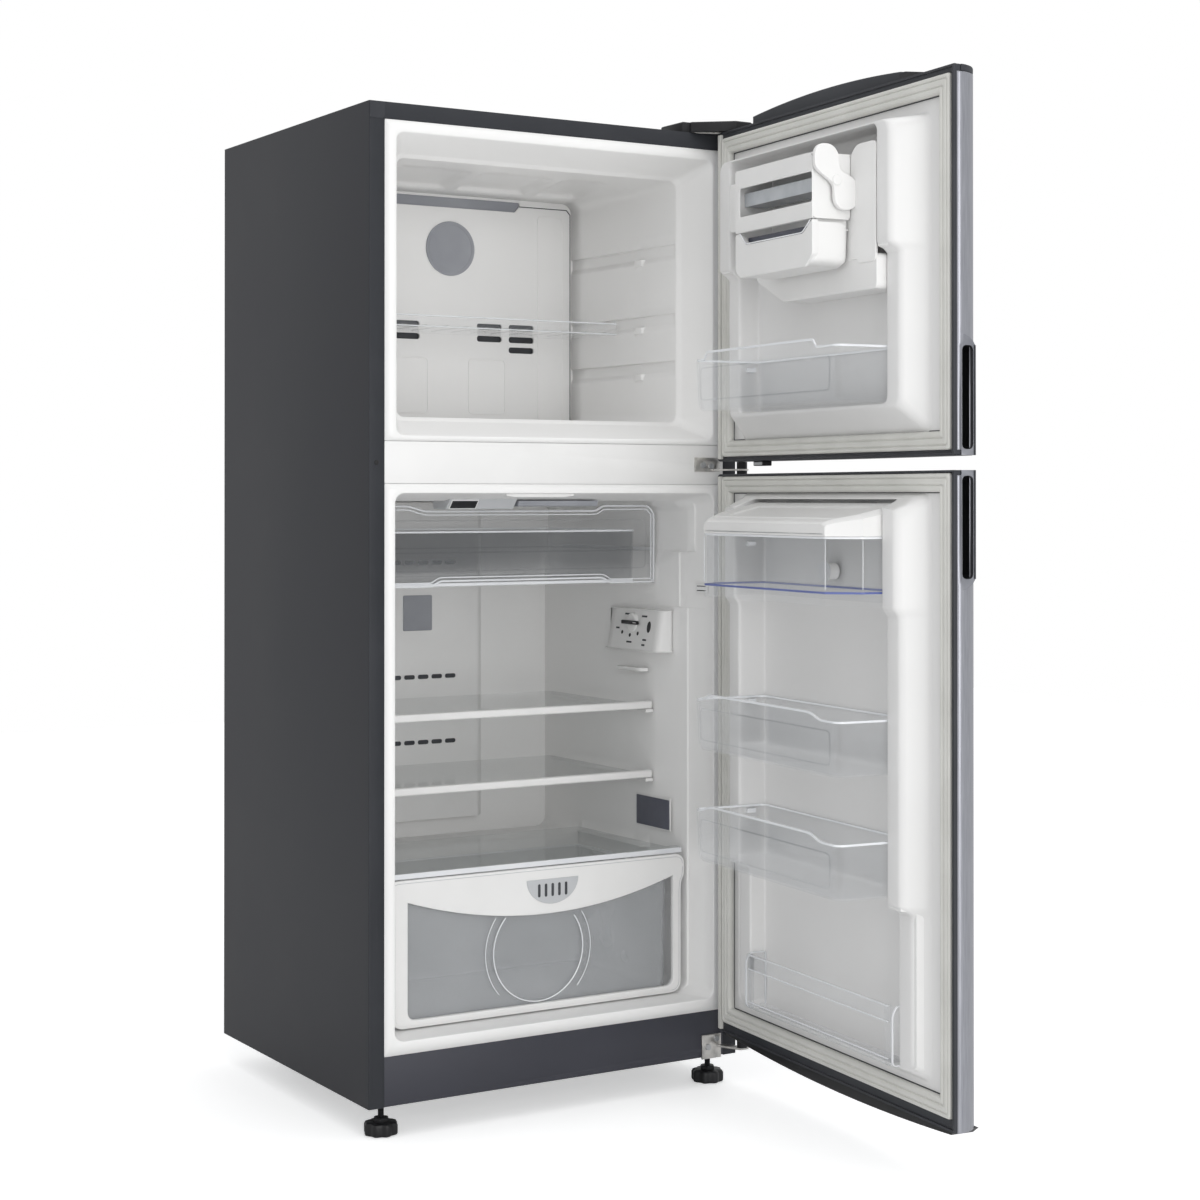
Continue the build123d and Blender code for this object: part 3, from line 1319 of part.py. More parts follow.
with BuildPart() as tank_lid:
    half = POCKET_HALF - SEAT
    with BuildSketch(Plane.YZ.offset(-half)) as outline:
        with BuildLine():
            Polyline(
                (FRONT + TANK_BACK, TANK_TOP + SEAT),
                (FRONT + BIN_FRONT, TANK_TOP + SEAT),
                (FRONT + BIN_FRONT, TANK_TOP + 20),
                (FRONT + 100, TANK_TOP + 26),
                (FRONT + 2, TANK_TOP + 50),
                (FRONT + TANK_BACK, TANK_TOP + 50),
                close=True,
            )
        make_face()
    extrude(outline.sketch, amount=2 * half)
    for side in (-1, 1):
        corner = [(side * half, FRONT + 70), (side * (half - 34), FRONT + BIN_FRONT), (side * half, FRONT + BIN_FRONT)]
        plan(corner, (TANK_TOP, TANK_TOP + 60), mode=Mode.SUBTRACT)
    with BuildSketch(Plane.YZ.offset(-half + 3)) as hollow:
        with BuildLine():
            Polyline(
                (FRONT + TANK_BACK + 3, TANK_TOP),
                (FRONT + 64, TANK_TOP),
                (FRONT + 64, TANK_TOP + 30),
                (FRONT + 2, TANK_TOP + 46),
                (FRONT + TANK_BACK + 3, TANK_TOP + 46),
                close=True,
            )
        make_face()
    extrude(hollow.sketch, amount=2 * half - 6, mode=Mode.SUBTRACT)

# Ice maker: housing with its chute, twist trays on the lever shaft, and the bin under them
ICE_X = (-152.0, 82.0)
ICE_Z = (FREEZER_LOW + 265, FREEZER_LOW + 417)
ICE_SHELF_Z = FREEZER_LOW + 318
ICE_AXIS = (80.0, FREEZER_LOW + 375)
ICE_SHAFT_R = 4.0
ICE_BACK = 48.0
ICE_WALL = 3.0
ICE_WINDOW_Z = (FREEZER_LOW + 343, FREEZER_LOW + 388)
ICE_PLATE_Z = (FREEZER_LOW + 251, FREEZER_LOW + 430)
ICE_PLATE_X = (-POCKET_HALF + SEAT, -168.0)
CHUTE_Z = (FREEZER_LOW + 210, FREEZER_LOW + 264)
CHUTE_N = 46.0


def chute_outline(inset, top):
    """Outline of the chute under the ice maker, shrunk by an inset."""
    return [
        (ICE_PLATE_X[0] + inset, CHUTE_Z[0] + inset),
        (51 - inset / 2, CHUTE_Z[0] + inset),
        (135 - inset, CHUTE_Z[0] + 40 + inset / 2),
        (135 - inset, top),
        (ICE_PLATE_X[0] + inset, top),
    ]


with BuildPart() as ice_maker_frame:
    block(ICE_X, (FRONT + ICE_BACK + SEAT, FRONT + BIN_FRONT), (ICE_SHELF_Z, ICE_Z[1]))
    block(
        (ICE_X[0] + ICE_WALL, ICE_X[1] - ICE_WALL),
        (FRONT + ICE_BACK + ICE_WALL, FRONT + BIN_FRONT - ICE_WALL),
        (ICE_SHELF_Z + ICE_WALL, ICE_Z[1] - ICE_WALL),
        mode=Mode.SUBTRACT,
    )
    block(
        (ICE_X[0] + ICE_WALL, ICE_X[1] - ICE_WALL),
        (FRONT + ICE_BACK + 8, FRONT + BIN_FRONT - 8),
        (ICE_SHELF_Z - 1, ICE_SHELF_Z + 4),
        mode=Mode.SUBTRACT,
    )
    block(
        (ICE_X[0] + 1, ICE_X[1] - 13),
        (FRONT + BIN_FRONT - 4, FRONT + BIN_FRONT + 1),
        ICE_WINDOW_Z,
        mode=Mode.SUBTRACT,
    )
    elevation(chute_outline(0, CHUTE_Z[1]), (FRONT + FREEZER_FLOOR + SEAT, FRONT + CHUTE_N))
    elevation(
        chute_outline(ICE_WALL, CHUTE_Z[1] + 1),
        (FRONT + FREEZER_FLOOR + SEAT + ICE_WALL, FRONT + CHUTE_N - ICE_WALL),
        mode=Mode.SUBTRACT,
    )
    block(
        (ICE_PLATE_X[0], ICE_X[0] + 1),
        (FRONT + ICE_BACK - 4, FRONT + ICE_BACK),
        (ICE_PLATE_Z[0], ICE_Z[1]),
    )
    block(ICE_PLATE_X, (FRONT + ICE_BACK - 4, FRONT + ICE_BACK), ICE_PLATE_Z)
    block(
        (ICE_PLATE_X[0], -ICE_PLATE_X[0]),
        (FRONT + ICE_BACK - 4, FRONT + ICE_BACK + 1),
        (ICE_SHELF_Z + 20, ICE_Z[1]),
    )
    for x in (ICE_PLATE_X[0], ICE_X[1] - ICE_WALL):
        wing = (x, x + ICE_WALL)
        block(wing, (FRONT + FREEZER_FLOOR + SEAT, FRONT + ICE_BACK), (ICE_SHELF_Z + 20, ICE_Z[1]))
    block(
        (ICE_PLATE_X[1], ICE_X[0] - SEAT),
        (FRONT + ICE_BACK - 5, FRONT + ICE_BACK + 2),
        (FREEZER_LOW + 312, ICE_Z[1] + 1),
        mode=Mode.SUBTRACT,
    )
    for x in (ICE_X[0], ICE_X[1] - ICE_WALL):
        hanger = (x, x + ICE_WALL)
        block(hanger, (FRONT + ICE_BACK + 1, FRONT + BIN_FRONT - 12), (ICE_Z[0] + 20, ICE_SHELF_Z + 1))
    for x in (ICE_X[0] + 2, ICE_X[1] - 9):
        block((x, x + 7), (FRONT + ICE_BACK + 1, FRONT + BIN_FRONT - 12), (ICE_SHELF_Z - 16, ICE_SHELF_Z - 13))
    for x in (ICE_X[0] - 1, ICE_X[1] - ICE_WALL - 1):
        rod(
            (x, FRONT + ICE_AXIS[0], ICE_AXIS[1]),
            (1, 0, 0),
            ICE_SHAFT_R + RUN,
            ICE_WALL + 2,
            mode=Mode.SUBTRACT,
        )

with BuildPart() as ice_tray:
    n, z = ICE_AXIS
    block((ICE_X[0] + 5, ICE_X[1] - 5), (FRONT + n - 20, FRONT + n + 20), (z - 14, z + 7))
    for column in range(9):
        for row in (-9.5, 9.5):
            x = ICE_X[0] + 17 + column * 25
            block((x - 10.5, x + 10.5), (FRONT + n + row - 8, FRONT + n + row + 8), (z - 12, z + 8), mode=Mode.SUBTRACT)
    rod((ICE_X[0] - 10, FRONT + n, z), (1, 0, 0), ICE_SHAFT_R, 16)
    rod((ICE_X[1] - 6, FRONT + n, z), (1, 0, 0), ICE_SHAFT_R, 6)

LEVER_X = (ICE_X[0] - 13, ICE_X[0] - 4)
with BuildPart() as ice_lever:
    n, z = ICE_AXIS
    section(
        [
            (FRONT + n - 12, z - 4),
            (FRONT + n - 6, z + 40),
            (FRONT + n + 4, z + 54),
            (FRONT + n + 24, z + 54),
            (FRONT + n + 35, z + 44),
            (FRONT + n + 34, z + 26),
            (FRONT + n + 14, z + 6),
            (FRONT + n + 10, z - 10),
            (FRONT + n + 4, z - 34),
            (FRONT + n - 10, z - 44),
            (FRONT + n - 30, z - 44),
            (FRONT + n - 40, z - 34),
            (FRONT + n - 38, z - 18),
        ],
        LEVER_X,
    )
    fillet(ice_lever.edges().filter_by(Axis.X), radius=4)
    rod((LEVER_X[0] - 1, FRONT + n, z), (1, 0, 0), ICE_SHAFT_R + SEAT, 20, mode=Mode.SUBTRACT)

BIN_NOTCH = [
    (ICE_X[0] + 1, ICE_SHELF_Z),
    (ICE_X[0] + 29, FREEZER_LOW + 298),
    (ICE_X[1] - 33, FREEZER_LOW + 298),
    (ICE_X[1] - 12, ICE_SHELF_Z),
]
with BuildPart() as ice_bin:
    x = (ICE_X[0] + 10, ICE_X[1] - 10)
    y = (FRONT + ICE_BACK + 2, FRONT + BIN_FRONT)
    z = (ICE_Z[0] - 18, ICE_SHELF_Z - 10)
    block(x, y, z)
    block(ICE_X, (FRONT + BIN_FRONT - 11, FRONT + BIN_FRONT), (z[0], ICE_SHELF_Z - 1))
    chamfer(ice_bin.edges().filter_by(Axis.Y).group_by(Axis.Z)[0].sort_by(Axis.X)[0], length=14)
    block(
        (x[0] + WALL_T, x[1] - WALL_T),
        (y[0] + WALL_T, y[1] - WALL_T),
        (z[0] + WALL_T, ICE_SHELF_Z),
        mode=Mode.SUBTRACT,
    )
    elevation(BIN_NOTCH, (FRONT + BIN_FRONT - 12, FRONT + BIN_FRONT + 1), mode=Mode.SUBTRACT)
    for lip in ((ICE_X[0] + 3.6, ICE_X[0] + 11), (ICE_X[1] - 11, ICE_X[1] - 3.6)):
        block(lip, (y[0], FRONT + BIN_FRONT - 10), (ICE_SHELF_Z - 12.7, ICE_SHELF_Z - 10))

# Every piece and its file, with the swing of the door it rides on
FIXED = {
    "cabinet_wrapper": cabinet_wrapper,
    "rear_panel": rear_panel,
    "base_pan": base_pan,
    "kick_plate": kick_plate,
    "freezer_liner": freezer_liner,
    "fridge_liner": fridge_liner,
    "mullion_rail": mullion_rail,
    "foam_insulation": foam_insulation,
    "compressor": compressor,
    "compressor_grommets": compressor_grommets,
    "evaporator_cover": evaporator_cover,
    "evaporator": evaporator,
    "fan_motor": fan_motor,
    "fan_blade": fan_blade,
    "air_duct_cover": air_duct_cover,
    "lamp_cover": lamp_cover,
    "control_box": control_box,
    "control_knob": control_knob,
    "freezer_shelf": freezer_shelf,
    "chiller_drawer": chiller_drawer,
    "upper_shelf_glass": shelf_glasses_upper,
    "lower_shelf_glass": shelf_glasses_lower,
    "upper_shelf_trim": shelf_trim_upper,
    "lower_shelf_trim": shelf_trim_lower,
    "crisper_cover": crisper_cover,
    "crisper_tub": crisper_tub,
    "crisper_front": crisper_front,
    "humidity_slide": humidity_slide,
    "left_foot": left_foot,
    "right_foot": right_foot,
    "left_roller": left_roller,
    "right_roller": right_roller,
    "hinge_brackets": hinge_brackets,
    "hinge_bushings": hinge_bushings,
    "hinge_screws": hinge_screws,
    "hinge_cover": hinge_cover,
}
SWUNG = {
    "freezer_door_skin": freezer_door_skin,
    "freezer_door_frame": freezer_door_frame,
    "freezer_door_foam": freezer_door_foam,
    "freezer_door_liner": freezer_door_liner,
    "freezer_gasket": freezer_gasket,
    "freezer_door_caps": freezer_door_caps,
    "freezer_handle": freezer_handle,
    "freezer_door_bin": freezer_door_bin,
    "ice_maker_frame": ice_maker_frame,
    "ice_tray": ice_tray,
    "ice_lever": ice_lever,
    "ice_bin": ice_bin,
    "fridge_door_skin": fridge_door_skin,
    "fridge_door_frame": fridge_door_frame,
    "fridge_door_foam": fridge_door_foam,
    "fridge_door_liner": fridge_door_liner,
    "fridge_gasket": fridge_gasket,
    "fridge_door_caps": fridge_door_caps,
    "fridge_handle": fridge_handle,
    "water_tank": water_tank,
    "tank_lid": tank_lid,
    "door_bin_upper": door_bin_upper,
    "door_bin_lower": door_bin_lower,
    "bottle_retainer": bottle_retainer,
}
for name, piece in FIXED.items():
    hand_over(piece, name)
for name, piece in SWUNG.items():
    hand_over(piece, name, DOOR_OPEN)
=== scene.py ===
"""Looks of a two-door refrigerator with both doors open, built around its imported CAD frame."""

import json
import logging
import math
from dataclasses import dataclass
from enum import Enum
from typing import Callable, ClassVar, Iterable, NamedTuple, Sequence

import bmesh
import bpy
from mathutils import Matrix, Vector

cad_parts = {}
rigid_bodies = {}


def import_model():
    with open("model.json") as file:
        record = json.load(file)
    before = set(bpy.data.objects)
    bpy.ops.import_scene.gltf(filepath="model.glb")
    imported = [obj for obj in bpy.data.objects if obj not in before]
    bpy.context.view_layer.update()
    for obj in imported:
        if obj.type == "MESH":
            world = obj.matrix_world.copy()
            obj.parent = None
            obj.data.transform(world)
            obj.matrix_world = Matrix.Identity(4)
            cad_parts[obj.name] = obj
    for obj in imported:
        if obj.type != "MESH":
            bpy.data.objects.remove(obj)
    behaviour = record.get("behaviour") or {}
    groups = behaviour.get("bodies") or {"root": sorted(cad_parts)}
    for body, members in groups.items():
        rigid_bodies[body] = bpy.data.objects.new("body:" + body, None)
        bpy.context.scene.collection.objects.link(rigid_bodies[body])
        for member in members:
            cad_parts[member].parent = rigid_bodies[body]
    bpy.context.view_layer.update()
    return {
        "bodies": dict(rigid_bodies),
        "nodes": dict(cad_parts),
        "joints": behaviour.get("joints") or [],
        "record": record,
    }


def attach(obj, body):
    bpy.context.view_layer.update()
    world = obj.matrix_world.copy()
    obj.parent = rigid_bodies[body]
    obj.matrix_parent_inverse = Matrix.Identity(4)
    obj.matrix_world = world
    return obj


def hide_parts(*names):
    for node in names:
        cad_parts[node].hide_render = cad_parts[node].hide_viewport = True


LOG = logging.getLogger("refrigerator")
MM = 0.001
FRONT = -0.298
SHARP_ANGLE = 40.0
LINER_WALL = 1.6

Point = tuple[float, float, float]
Flat = tuple[float, float]
Span = tuple[float, float]
Outline = Sequence[Flat]
Level = Sequence[float]
Stations = tuple[Sequence[float], Sequence[float]]
Faces = list[tuple[int, ...]]
NO_STATIONS: Stations = ((), ())


class Spot(NamedTuple):
    """Point of a skin in the skin's own coordinates, with its outward direction."""

    u: float
    v: float
    w: float
    du: float
    dv: float


Shift = Callable[[Spot], tuple[float, float]]


class Side(Enum):
    """What a piece is built on: the cabinet's own axes, or a door drawn closed and swung open."""

    CABINET = 0.0
    DOOR = 84.3


@dataclass(frozen=True)
class Hinge:
    """Hinge line that both doors share, in metres."""

    x: float = 0.3353
    y: float = -0.338

    def swing(self, side: Side) -> Matrix:
        """Matrix that takes a piece from where it is drawn to its resting place.

        Args:
            side: Whether the piece is on the cabinet or on a door.

        Returns:
            Matrix: A rotation about the hinge line, or the identity on the cabinet.
        """
        centre = Vector((self.x, self.y, 0.0))
        turn = Matrix.Rotation(math.radians(side.value), 4, "Z")
        return Matrix.Translation(centre) @ turn @ Matrix.Translation(-centre)


@dataclass(frozen=True)
class View:
    """Camera of the photograph."""

    place: Point = (-1.8871, -3.4970, 1.0116)
    yaw: float = 31.52
    pitch: float = 0.306
    lens: float = 67.55
    shift_y: float = -0.0964


@dataclass(frozen=True)
class Finish:
    """One finish: its two colours, the grain between them, gloss, relief and clearness."""

    low: Point
    high: Point
    grain: float = 6.0
    detail: float = 3.0
    stretch: Point = (1.0, 1.0, 1.0)
    rough: Span = (0.4, 0.4)
    metal: float = 0.0
    coat: float = 0.0
    gloss: float = 0.5
    relief: float = 0.0
    relief_grain: float = 500.0
    relief_height: float = 0.0003
    alpha: Span = (1.0, 1.0)
    cells: bool = False


class Ink(Enum):
    """Every finish of the refrigerator."""

    GRAPHITE = Finish((0.026, 0.0268, 0.0315), (0.031, 0.0318, 0.0375), 5.0, rough=(0.42, 0.52), gloss=0.16,
                      relief=0.12, relief_grain=420.0, relief_height=0.0004)
    # Lighter copy of the graphite paint for the wrapper's front flange, the faces that look to the front:
    # painted light.
    FLANGE = Finish((0.028, 0.030, 0.035), (0.036, 0.038, 0.044), 7.0, rough=(0.42, 0.52), gloss=0.25,
                    relief=0.1, relief_grain=420.0)
    KICK = Finish((0.044, 0.045, 0.056), (0.050, 0.051, 0.064), 5.0, rough=(0.42, 0.52), gloss=0.3,
                  relief=0.12, relief_grain=420.0)
    SILVER = Finish((0.29, 0.295, 0.325), (0.40, 0.405, 0.44), 60.0, 5.0, (14.0, 14.0, 0.35),
                    (0.28, 0.44), 0.75, relief=0.12, relief_grain=60.0)
    TRIM = Finish((0.22, 0.225, 0.25), (0.30, 0.305, 0.33), 30.0, rough=(0.3, 0.42), metal=0.55, relief=0.05)
    # Liner white raised above the moulded white so the rooms, which lie in shade, read brighter: painted
    # light.
    LINER = Finish((0.86, 0.855, 0.845), (0.90, 0.895, 0.885), 3.0, 2.0, rough=(0.30, 0.40), relief=0.04,
                   relief_grain=180.0, relief_height=0.0005)
    # Darker copy of the liner white for the door liners, which the light strikes harder: painted shade.
    DOOR = Finish((0.76, 0.755, 0.748), (0.80, 0.795, 0.788), 3.0, 2.0, rough=(0.32, 0.42), relief=0.04,
                  relief_grain=180.0, relief_height=0.0005)
    MOULDED = Finish((0.80, 0.795, 0.785), (0.85, 0.845, 0.835), 6.0, rough=(0.36, 0.44), relief=0.06,
                     relief_grain=900.0)
    SHADE = Finish((0.50, 0.51, 0.525), (0.56, 0.57, 0.585), 6.0, rough=(0.36, 0.44), relief=0.05,
                   relief_grain=900.0)
    SEAL = Finish((0.63, 0.625, 0.59), (0.70, 0.695, 0.66), 12.0, rough=(0.52, 0.6), relief=0.08,
                  relief_grain=300.0)
    CAP = Finish((0.032, 0.034, 0.040), (0.045, 0.047, 0.054), 8.0, rough=(0.46, 0.54), gloss=0.3,
                 relief=0.15, relief_grain=700.0)
    BLACK = Finish((0.010, 0.010, 0.011), (0.018, 0.018, 0.020), 20.0, rough=(0.36, 0.46), gloss=0.35,
                   relief=0.1)
    CLEAR = Finish((0.80, 0.83, 0.86), (0.88, 0.90, 0.93), 9.0, rough=(0.07, 0.12), coat=0.5, relief=0.05,
                   relief_grain=35.0, relief_height=0.0008, alpha=(0.025, 0.25))
    MILKY = Finish((0.82, 0.84, 0.86), (0.90, 0.92, 0.94), 9.0, rough=(0.16, 0.24), coat=0.4, relief=0.05,
                   relief_grain=35.0, alpha=(0.2, 0.5))
    TRAY = Finish((0.60, 0.63, 0.67), (0.72, 0.75, 0.78), 30.0, rough=(0.15, 0.25), coat=0.4,
                  alpha=(0.7, 0.9))
    # Nearly opaque pale finish for the rims, edges and bright lines of clear plastic: painted highlight.
    RIM = Finish((0.85, 0.87, 0.90), (0.92, 0.93, 0.95), 15.0, rough=(0.14, 0.2), coat=0.5, alpha=(0.85, 1.0))
    GLASS = Finish((0.72, 0.79, 0.78), (0.78, 0.84, 0.83), 5.0, rough=(0.03, 0.06), coat=1.0,
                   alpha=(0.05, 0.36))
    BRACKET = Finish((0.46, 0.45, 0.43), (0.74, 0.72, 0.69), 60.0, 5.0, rough=(0.2, 0.45), metal=0.95,
                     relief=0.06)
    ZINC = Finish((0.44, 0.45, 0.46), (0.52, 0.53, 0.54), 70.0, rough=(0.42, 0.54), metal=0.85, cells=True)
    # Grey of the round and square badges, and the painted shade of the lamp cover and of the air slot's back.
    BADGE = Finish((0.30, 0.31, 0.34), (0.36, 0.37, 0.40), 10.0, rough=(0.38, 0.46), relief=0.08,
                   relief_grain=900.0)
    # Dark plate of the wall label, and the painted shade inside the ice bin behind its notch.
    PLATE = Finish((0.085, 0.09, 0.12), (0.12, 0.125, 0.16), 14.0, rough=(0.3, 0.4), relief=0.04)
    SHADOW = Finish((0.045, 0.047, 0.052), (0.06, 0.062, 0.07), 10.0, rough=(0.65, 0.75), relief=0.05)
    BLUE = Finish((0.10, 0.13, 0.36), (0.14, 0.18, 0.44), 10.0, rough=(0.26, 0.34), relief=0.04)
    FLOOR = Finish((0.90, 0.90, 0.90), (0.92, 0.92, 0.92), 0.6, rough=(0.58, 0.62))


class Mixer:
    """Node tree of one finish."""

    def __init__(self, name: str, finish: Finish) -> None:
        """Build the material.

        Args:
            name: Material name.
            finish: What it looks like.
        """
        self.material = bpy.data.materials.new(name)
        self.material.use_nodes = True
        self.tree = self.material.node_tree
        self.shader = self.tree.nodes["Principled BSDF"]
        sockets = self.shader.inputs
        sockets["IOR"].default_value = 1.5
        sockets["Metallic"].default_value = finish.metal
        sockets["Specular IOR Level"].default_value = finish.gloss
        sockets["Coat Weight"].default_value = finish.coat
        sockets["Coat Roughness"].default_value = 0.12
        grain = self.cells(finish) if finish.cells else self.noise(finish.grain, finish.detail,
                                                                   finish.stretch)
        self.tree.links.new(self.ramp(grain, finish.low, finish.high), sockets["Base Color"])
        self.tree.links.new(self.spread(grain, *finish.rough), sockets["Roughness"])
        if finish.relief:
            self.emboss(self.noise(finish.relief_grain, 2.0, finish.stretch), finish.relief,
                        finish.relief_height)
        if finish.alpha[0] < 1.0:
            facing = self.tree.nodes.new("ShaderNodeLayerWeight")
            facing.inputs["Blend"].default_value = 0.35
            self.tree.links.new(self.spread(facing.outputs["Facing"], *finish.alpha), sockets["Alpha"])

    def place(self, scale: Point) -> bpy.types.NodeSocket:
        """Object coordinates stretched by a scale.

        Args:
            scale: Scale along the three axes.

        Returns:
            bpy.types.NodeSocket: Vector output.
        """
        where = self.tree.nodes.new("ShaderNodeTexCoord")
        stretch = self.tree.nodes.new("ShaderNodeMapping")
        stretch.inputs["Scale"].default_value = scale
        self.tree.links.new(where.outputs["Object"], stretch.inputs["Vector"])
        return stretch.outputs["Vector"]

    def noise(self, scale: float, detail: float, stretch: Point) -> bpy.types.NodeSocket:
        """Noise over the object's own coordinates.

        Args:
            scale: Noise scale.
            detail: Octaves.
            stretch: Stretch of the coordinates.

        Returns:
            bpy.types.NodeSocket: Factor output.
        """
        made = self.tree.nodes.new("ShaderNodeTexNoise")
        made.inputs["Scale"].default_value = scale
        made.inputs["Detail"].default_value = detail
        self.tree.links.new(self.place(stretch), made.inputs["Vector"])
        return made.outputs["Fac"]

    def cells(self, finish: Finish) -> bpy.types.NodeSocket:
        """Crystals of hot-dip zinc.

        Args:
            finish: What it looks like.

        Returns:
            bpy.types.NodeSocket: One random shade for each crystal.
        """
        made = self.tree.nodes.new("ShaderNodeTexVoronoi")
        made.inputs["Scale"].default_value = finish.grain
        self.tree.links.new(self.place(finish.stretch), made.inputs["Vector"])
        return made.outputs["Color"]

    def ramp(self, source: bpy.types.NodeSocket, low: Point, high: Point) -> bpy.types.NodeSocket:
        """Two-colour ramp.

        Args:
            source: Factor.
            low: Colour at the bottom.
            high: Colour at the top.

        Returns:
            bpy.types.NodeSocket: Colour output.
        """
        made = self.tree.nodes.new("ShaderNodeValToRGB")
        for element, place, colour in zip(made.color_ramp.elements, (0.3, 0.7), (low, high)):
            element.position = place
            element.color = (*colour, 1.0)
        self.tree.links.new(source, made.inputs["Fac"])
        return made.outputs["Color"]

    def spread(self, source: bpy.types.NodeSocket, low: float, high: float) -> bpy.types.NodeSocket:
        """Map a factor onto a range.

        Args:
            source: Factor from 0 to 1.
            low: Lowest value.
            high: Highest value.

        Returns:
            bpy.types.NodeSocket: Mapped value.
        """
        made = self.tree.nodes.new("ShaderNodeMapRange")
        made.inputs["To Min"].default_value = low
        made.inputs["To Max"].default_value = high
        self.tree.links.new(source, made.inputs["Value"])
        return made.outputs["Result"]

    def emboss(self, source: bpy.types.NodeSocket, strength: float, distance: float) -> None:
        """Raise the surface by a factor.

        Args:
            source: Height.
            strength: Bump strength.
            distance: Height in metres.
        """
        made = self.tree.nodes.new("ShaderNodeBump")
        made.inputs["Strength"].default_value = strength
        made.inputs["Distance"].default_value = distance
        self.tree.links.new(source, made.inputs["Height"])
        self.tree.links.new(made.outputs["Normal"], self.shader.inputs["Normal"])


class Palette:
    """Makes each finish's material once."""

    def __init__(self) -> None:
        """Start with no materials made."""
        self.made: dict[Ink, bpy.types.Material] = {}

    def get(self, ink: Ink) -> bpy.types.Material:
        """Material of a finish.

        Args:
            ink: The finish.

        Returns:
            bpy.types.Material: The material.
        """
        if ink not in self.made:
            self.made[ink] = Mixer(ink.name.lower(), ink.value).material
        return self.made[ink]


HINGE = Hinge()


def soften_path(points: Sequence[Level], cuts: Sequence[float], steps: int = 4) -> list[list[float]]:
    """Round the corners of a path in any number of dimensions.

    Args:
        points: Corners of the path.
        cuts: Length taken off each corner; nothing is rounded at zero.
        steps: Pieces a rounded corner is made of.

    Returns:
        list[list[float]]: The rounded path.
    """
    path: list[list[float]] = []
    for index, point in enumerate(points):
        cut = cuts[index]
        if cut <= 0 or index in (0, len(points) - 1):
            path.append(list(point))
            continue
        ends = []
        for other in (points[index - 1], points[index + 1]):
            length = math.dist(point, other) or 1.0
            share = min(cut / length, 0.5)
            ends.append([p + (o - p) * share for p, o in zip(point, other)])
        for step in range(steps + 1):
            t = step / steps
            path.append([
                (1 - t) ** 2 * a + 2 * t * (1 - t) * p + t * t * b for a, p, b in zip(ends[0], point, ends[1])
            ])
    return path


def split_path(path: Sequence[Level], stops: Iterable[float]) -> list[list[float]]:
    """Add points to a path where its first coordinate passes given values.

    Args:
        path: Path whose first coordinate grows.
        stops: Values of the first coordinate.

    Returns:
        list[list[float]]: The path with the points added.
    """
    made = [list(path[0])]
    for start, end in zip(path, path[1:]):
        for stop in sorted(stops):
            if start[0] + 0.01 < stop < end[0] - 0.01:
                t = (stop - start[0]) / (end[0] - start[0])
                made.append([a + (b - a) * t for a, b in zip(start, end)])
        made.append(list(end))
    return made


def spread_out(start: float, end: float, step: float, extra: Iterable[float] = ()) -> list[float]:
    """Even stations between two values, with a few more of one's own.

    Args:
        start: First value.
        end: Last value.
        step: Largest gap.
        extra: More stations.

    Returns:
        list[float]: Sorted stations.
    """
    count = max(1, math.ceil((end - start) / step))
    made = {round(start + (end - start) * i / count, 3) for i in range(count + 1)}
    made.update(round(value, 3) for value in extra if start < value < end)
    return sorted(made)


def step_up(value: float, edge: float, width: float) -> float:
    """Smooth step from 0 to 1 centred on an edge."""
    t = min(1.0, max(0.0, (value - edge) / width + 0.5))
    return t * t * (3 - 2 * t)


def hump(value: float, low: float, high: float, width: float) -> float:
    """Smooth plateau between two edges."""
    return step_up(value, low, width) * (1 - step_up(value, high, width))


def arc_points(centre: Flat, radius: float, start: float, end: float, steps: int) -> list[Flat]:
    """Points along an arc, in degrees.

    Args:
        centre: Centre.
        radius: Radius.
        start: First angle.
        end: Last angle.
        steps: Pieces.

    Returns:
        list[Flat]: The points.
    """
    made = []
    for step in range(steps + 1):
        angle = math.radians(start + (end - start) * step / steps)
        made.append((centre[0] + radius * math.cos(angle), centre[1] + radius * math.sin(angle)))
    return made


def rounded(points: Outline, radius: float, steps: int = 4) -> list[Flat]:
    """Closed outline with its corners rounded.

    Args:
        points: Corners.
        radius: Length taken off each corner.
        steps: Pieces a corner is made of.

    Returns:
        list[Flat]: The outline.
    """
    looped = [points[-1], *points, points[0]]
    path = soften_path(looped, [0.0, *([radius] * len(points)), 0.0], steps)
    return [tuple(p) for p in path[1:-1]]


def rect(x: Span, z: Span, radius: float = 0.0, steps: int = 4) -> list[Flat]:
    """Outline of a rectangle with rounded corners."""
    corners = [(x[0], z[0]), (x[1], z[0]), (x[1], z[1]), (x[0], z[1])]
    return rounded(corners, radius, steps) if radius else corners


def lattice(rows: int, count: int, closed: bool = True) -> Faces:
    """Four-sided faces between rows of points.

    Args:
        rows: How many rows.
        count: Points in a row.
        closed: Whether each row runs round to its first point.

    Returns:
        Faces: The faces.
    """
    faces = []
    for a in range(0, (rows - 1) * count, count):
        b = a + count
        for i in range(count if closed else count - 1):
            j = (i + 1) % count
            faces.append((a + i, a + j, b + j, b + i))
    return faces


def sleeve(rows: int, count: int, caps: tuple[bool, bool] = (True, True)) -> Faces:
    """Faces of a closed sleeve, with a face over its first and its last row where asked.

    Args:
        rows: How many rows.
        count: Points in a row.
        caps: Whether the first and last rows are closed.

    Returns:
        Faces: The faces.
    """
    faces = lattice(rows, count)
    if caps[0]:
        faces.append(tuple(reversed(range(count))))
    if caps[1]:
        faces.append(tuple(range((rows - 1) * count, rows * count)))
    return faces


def weigh(piece: bpy.types.Object) -> None:
    """Let a piece's big faces keep their own direction in shading.

    Args:
        piece: The piece.
    """
    modifier = piece.modifiers.new("weighted", "WEIGHTED_NORMAL")
    modifier.keep_sharp = True
    modifier.weight = 80


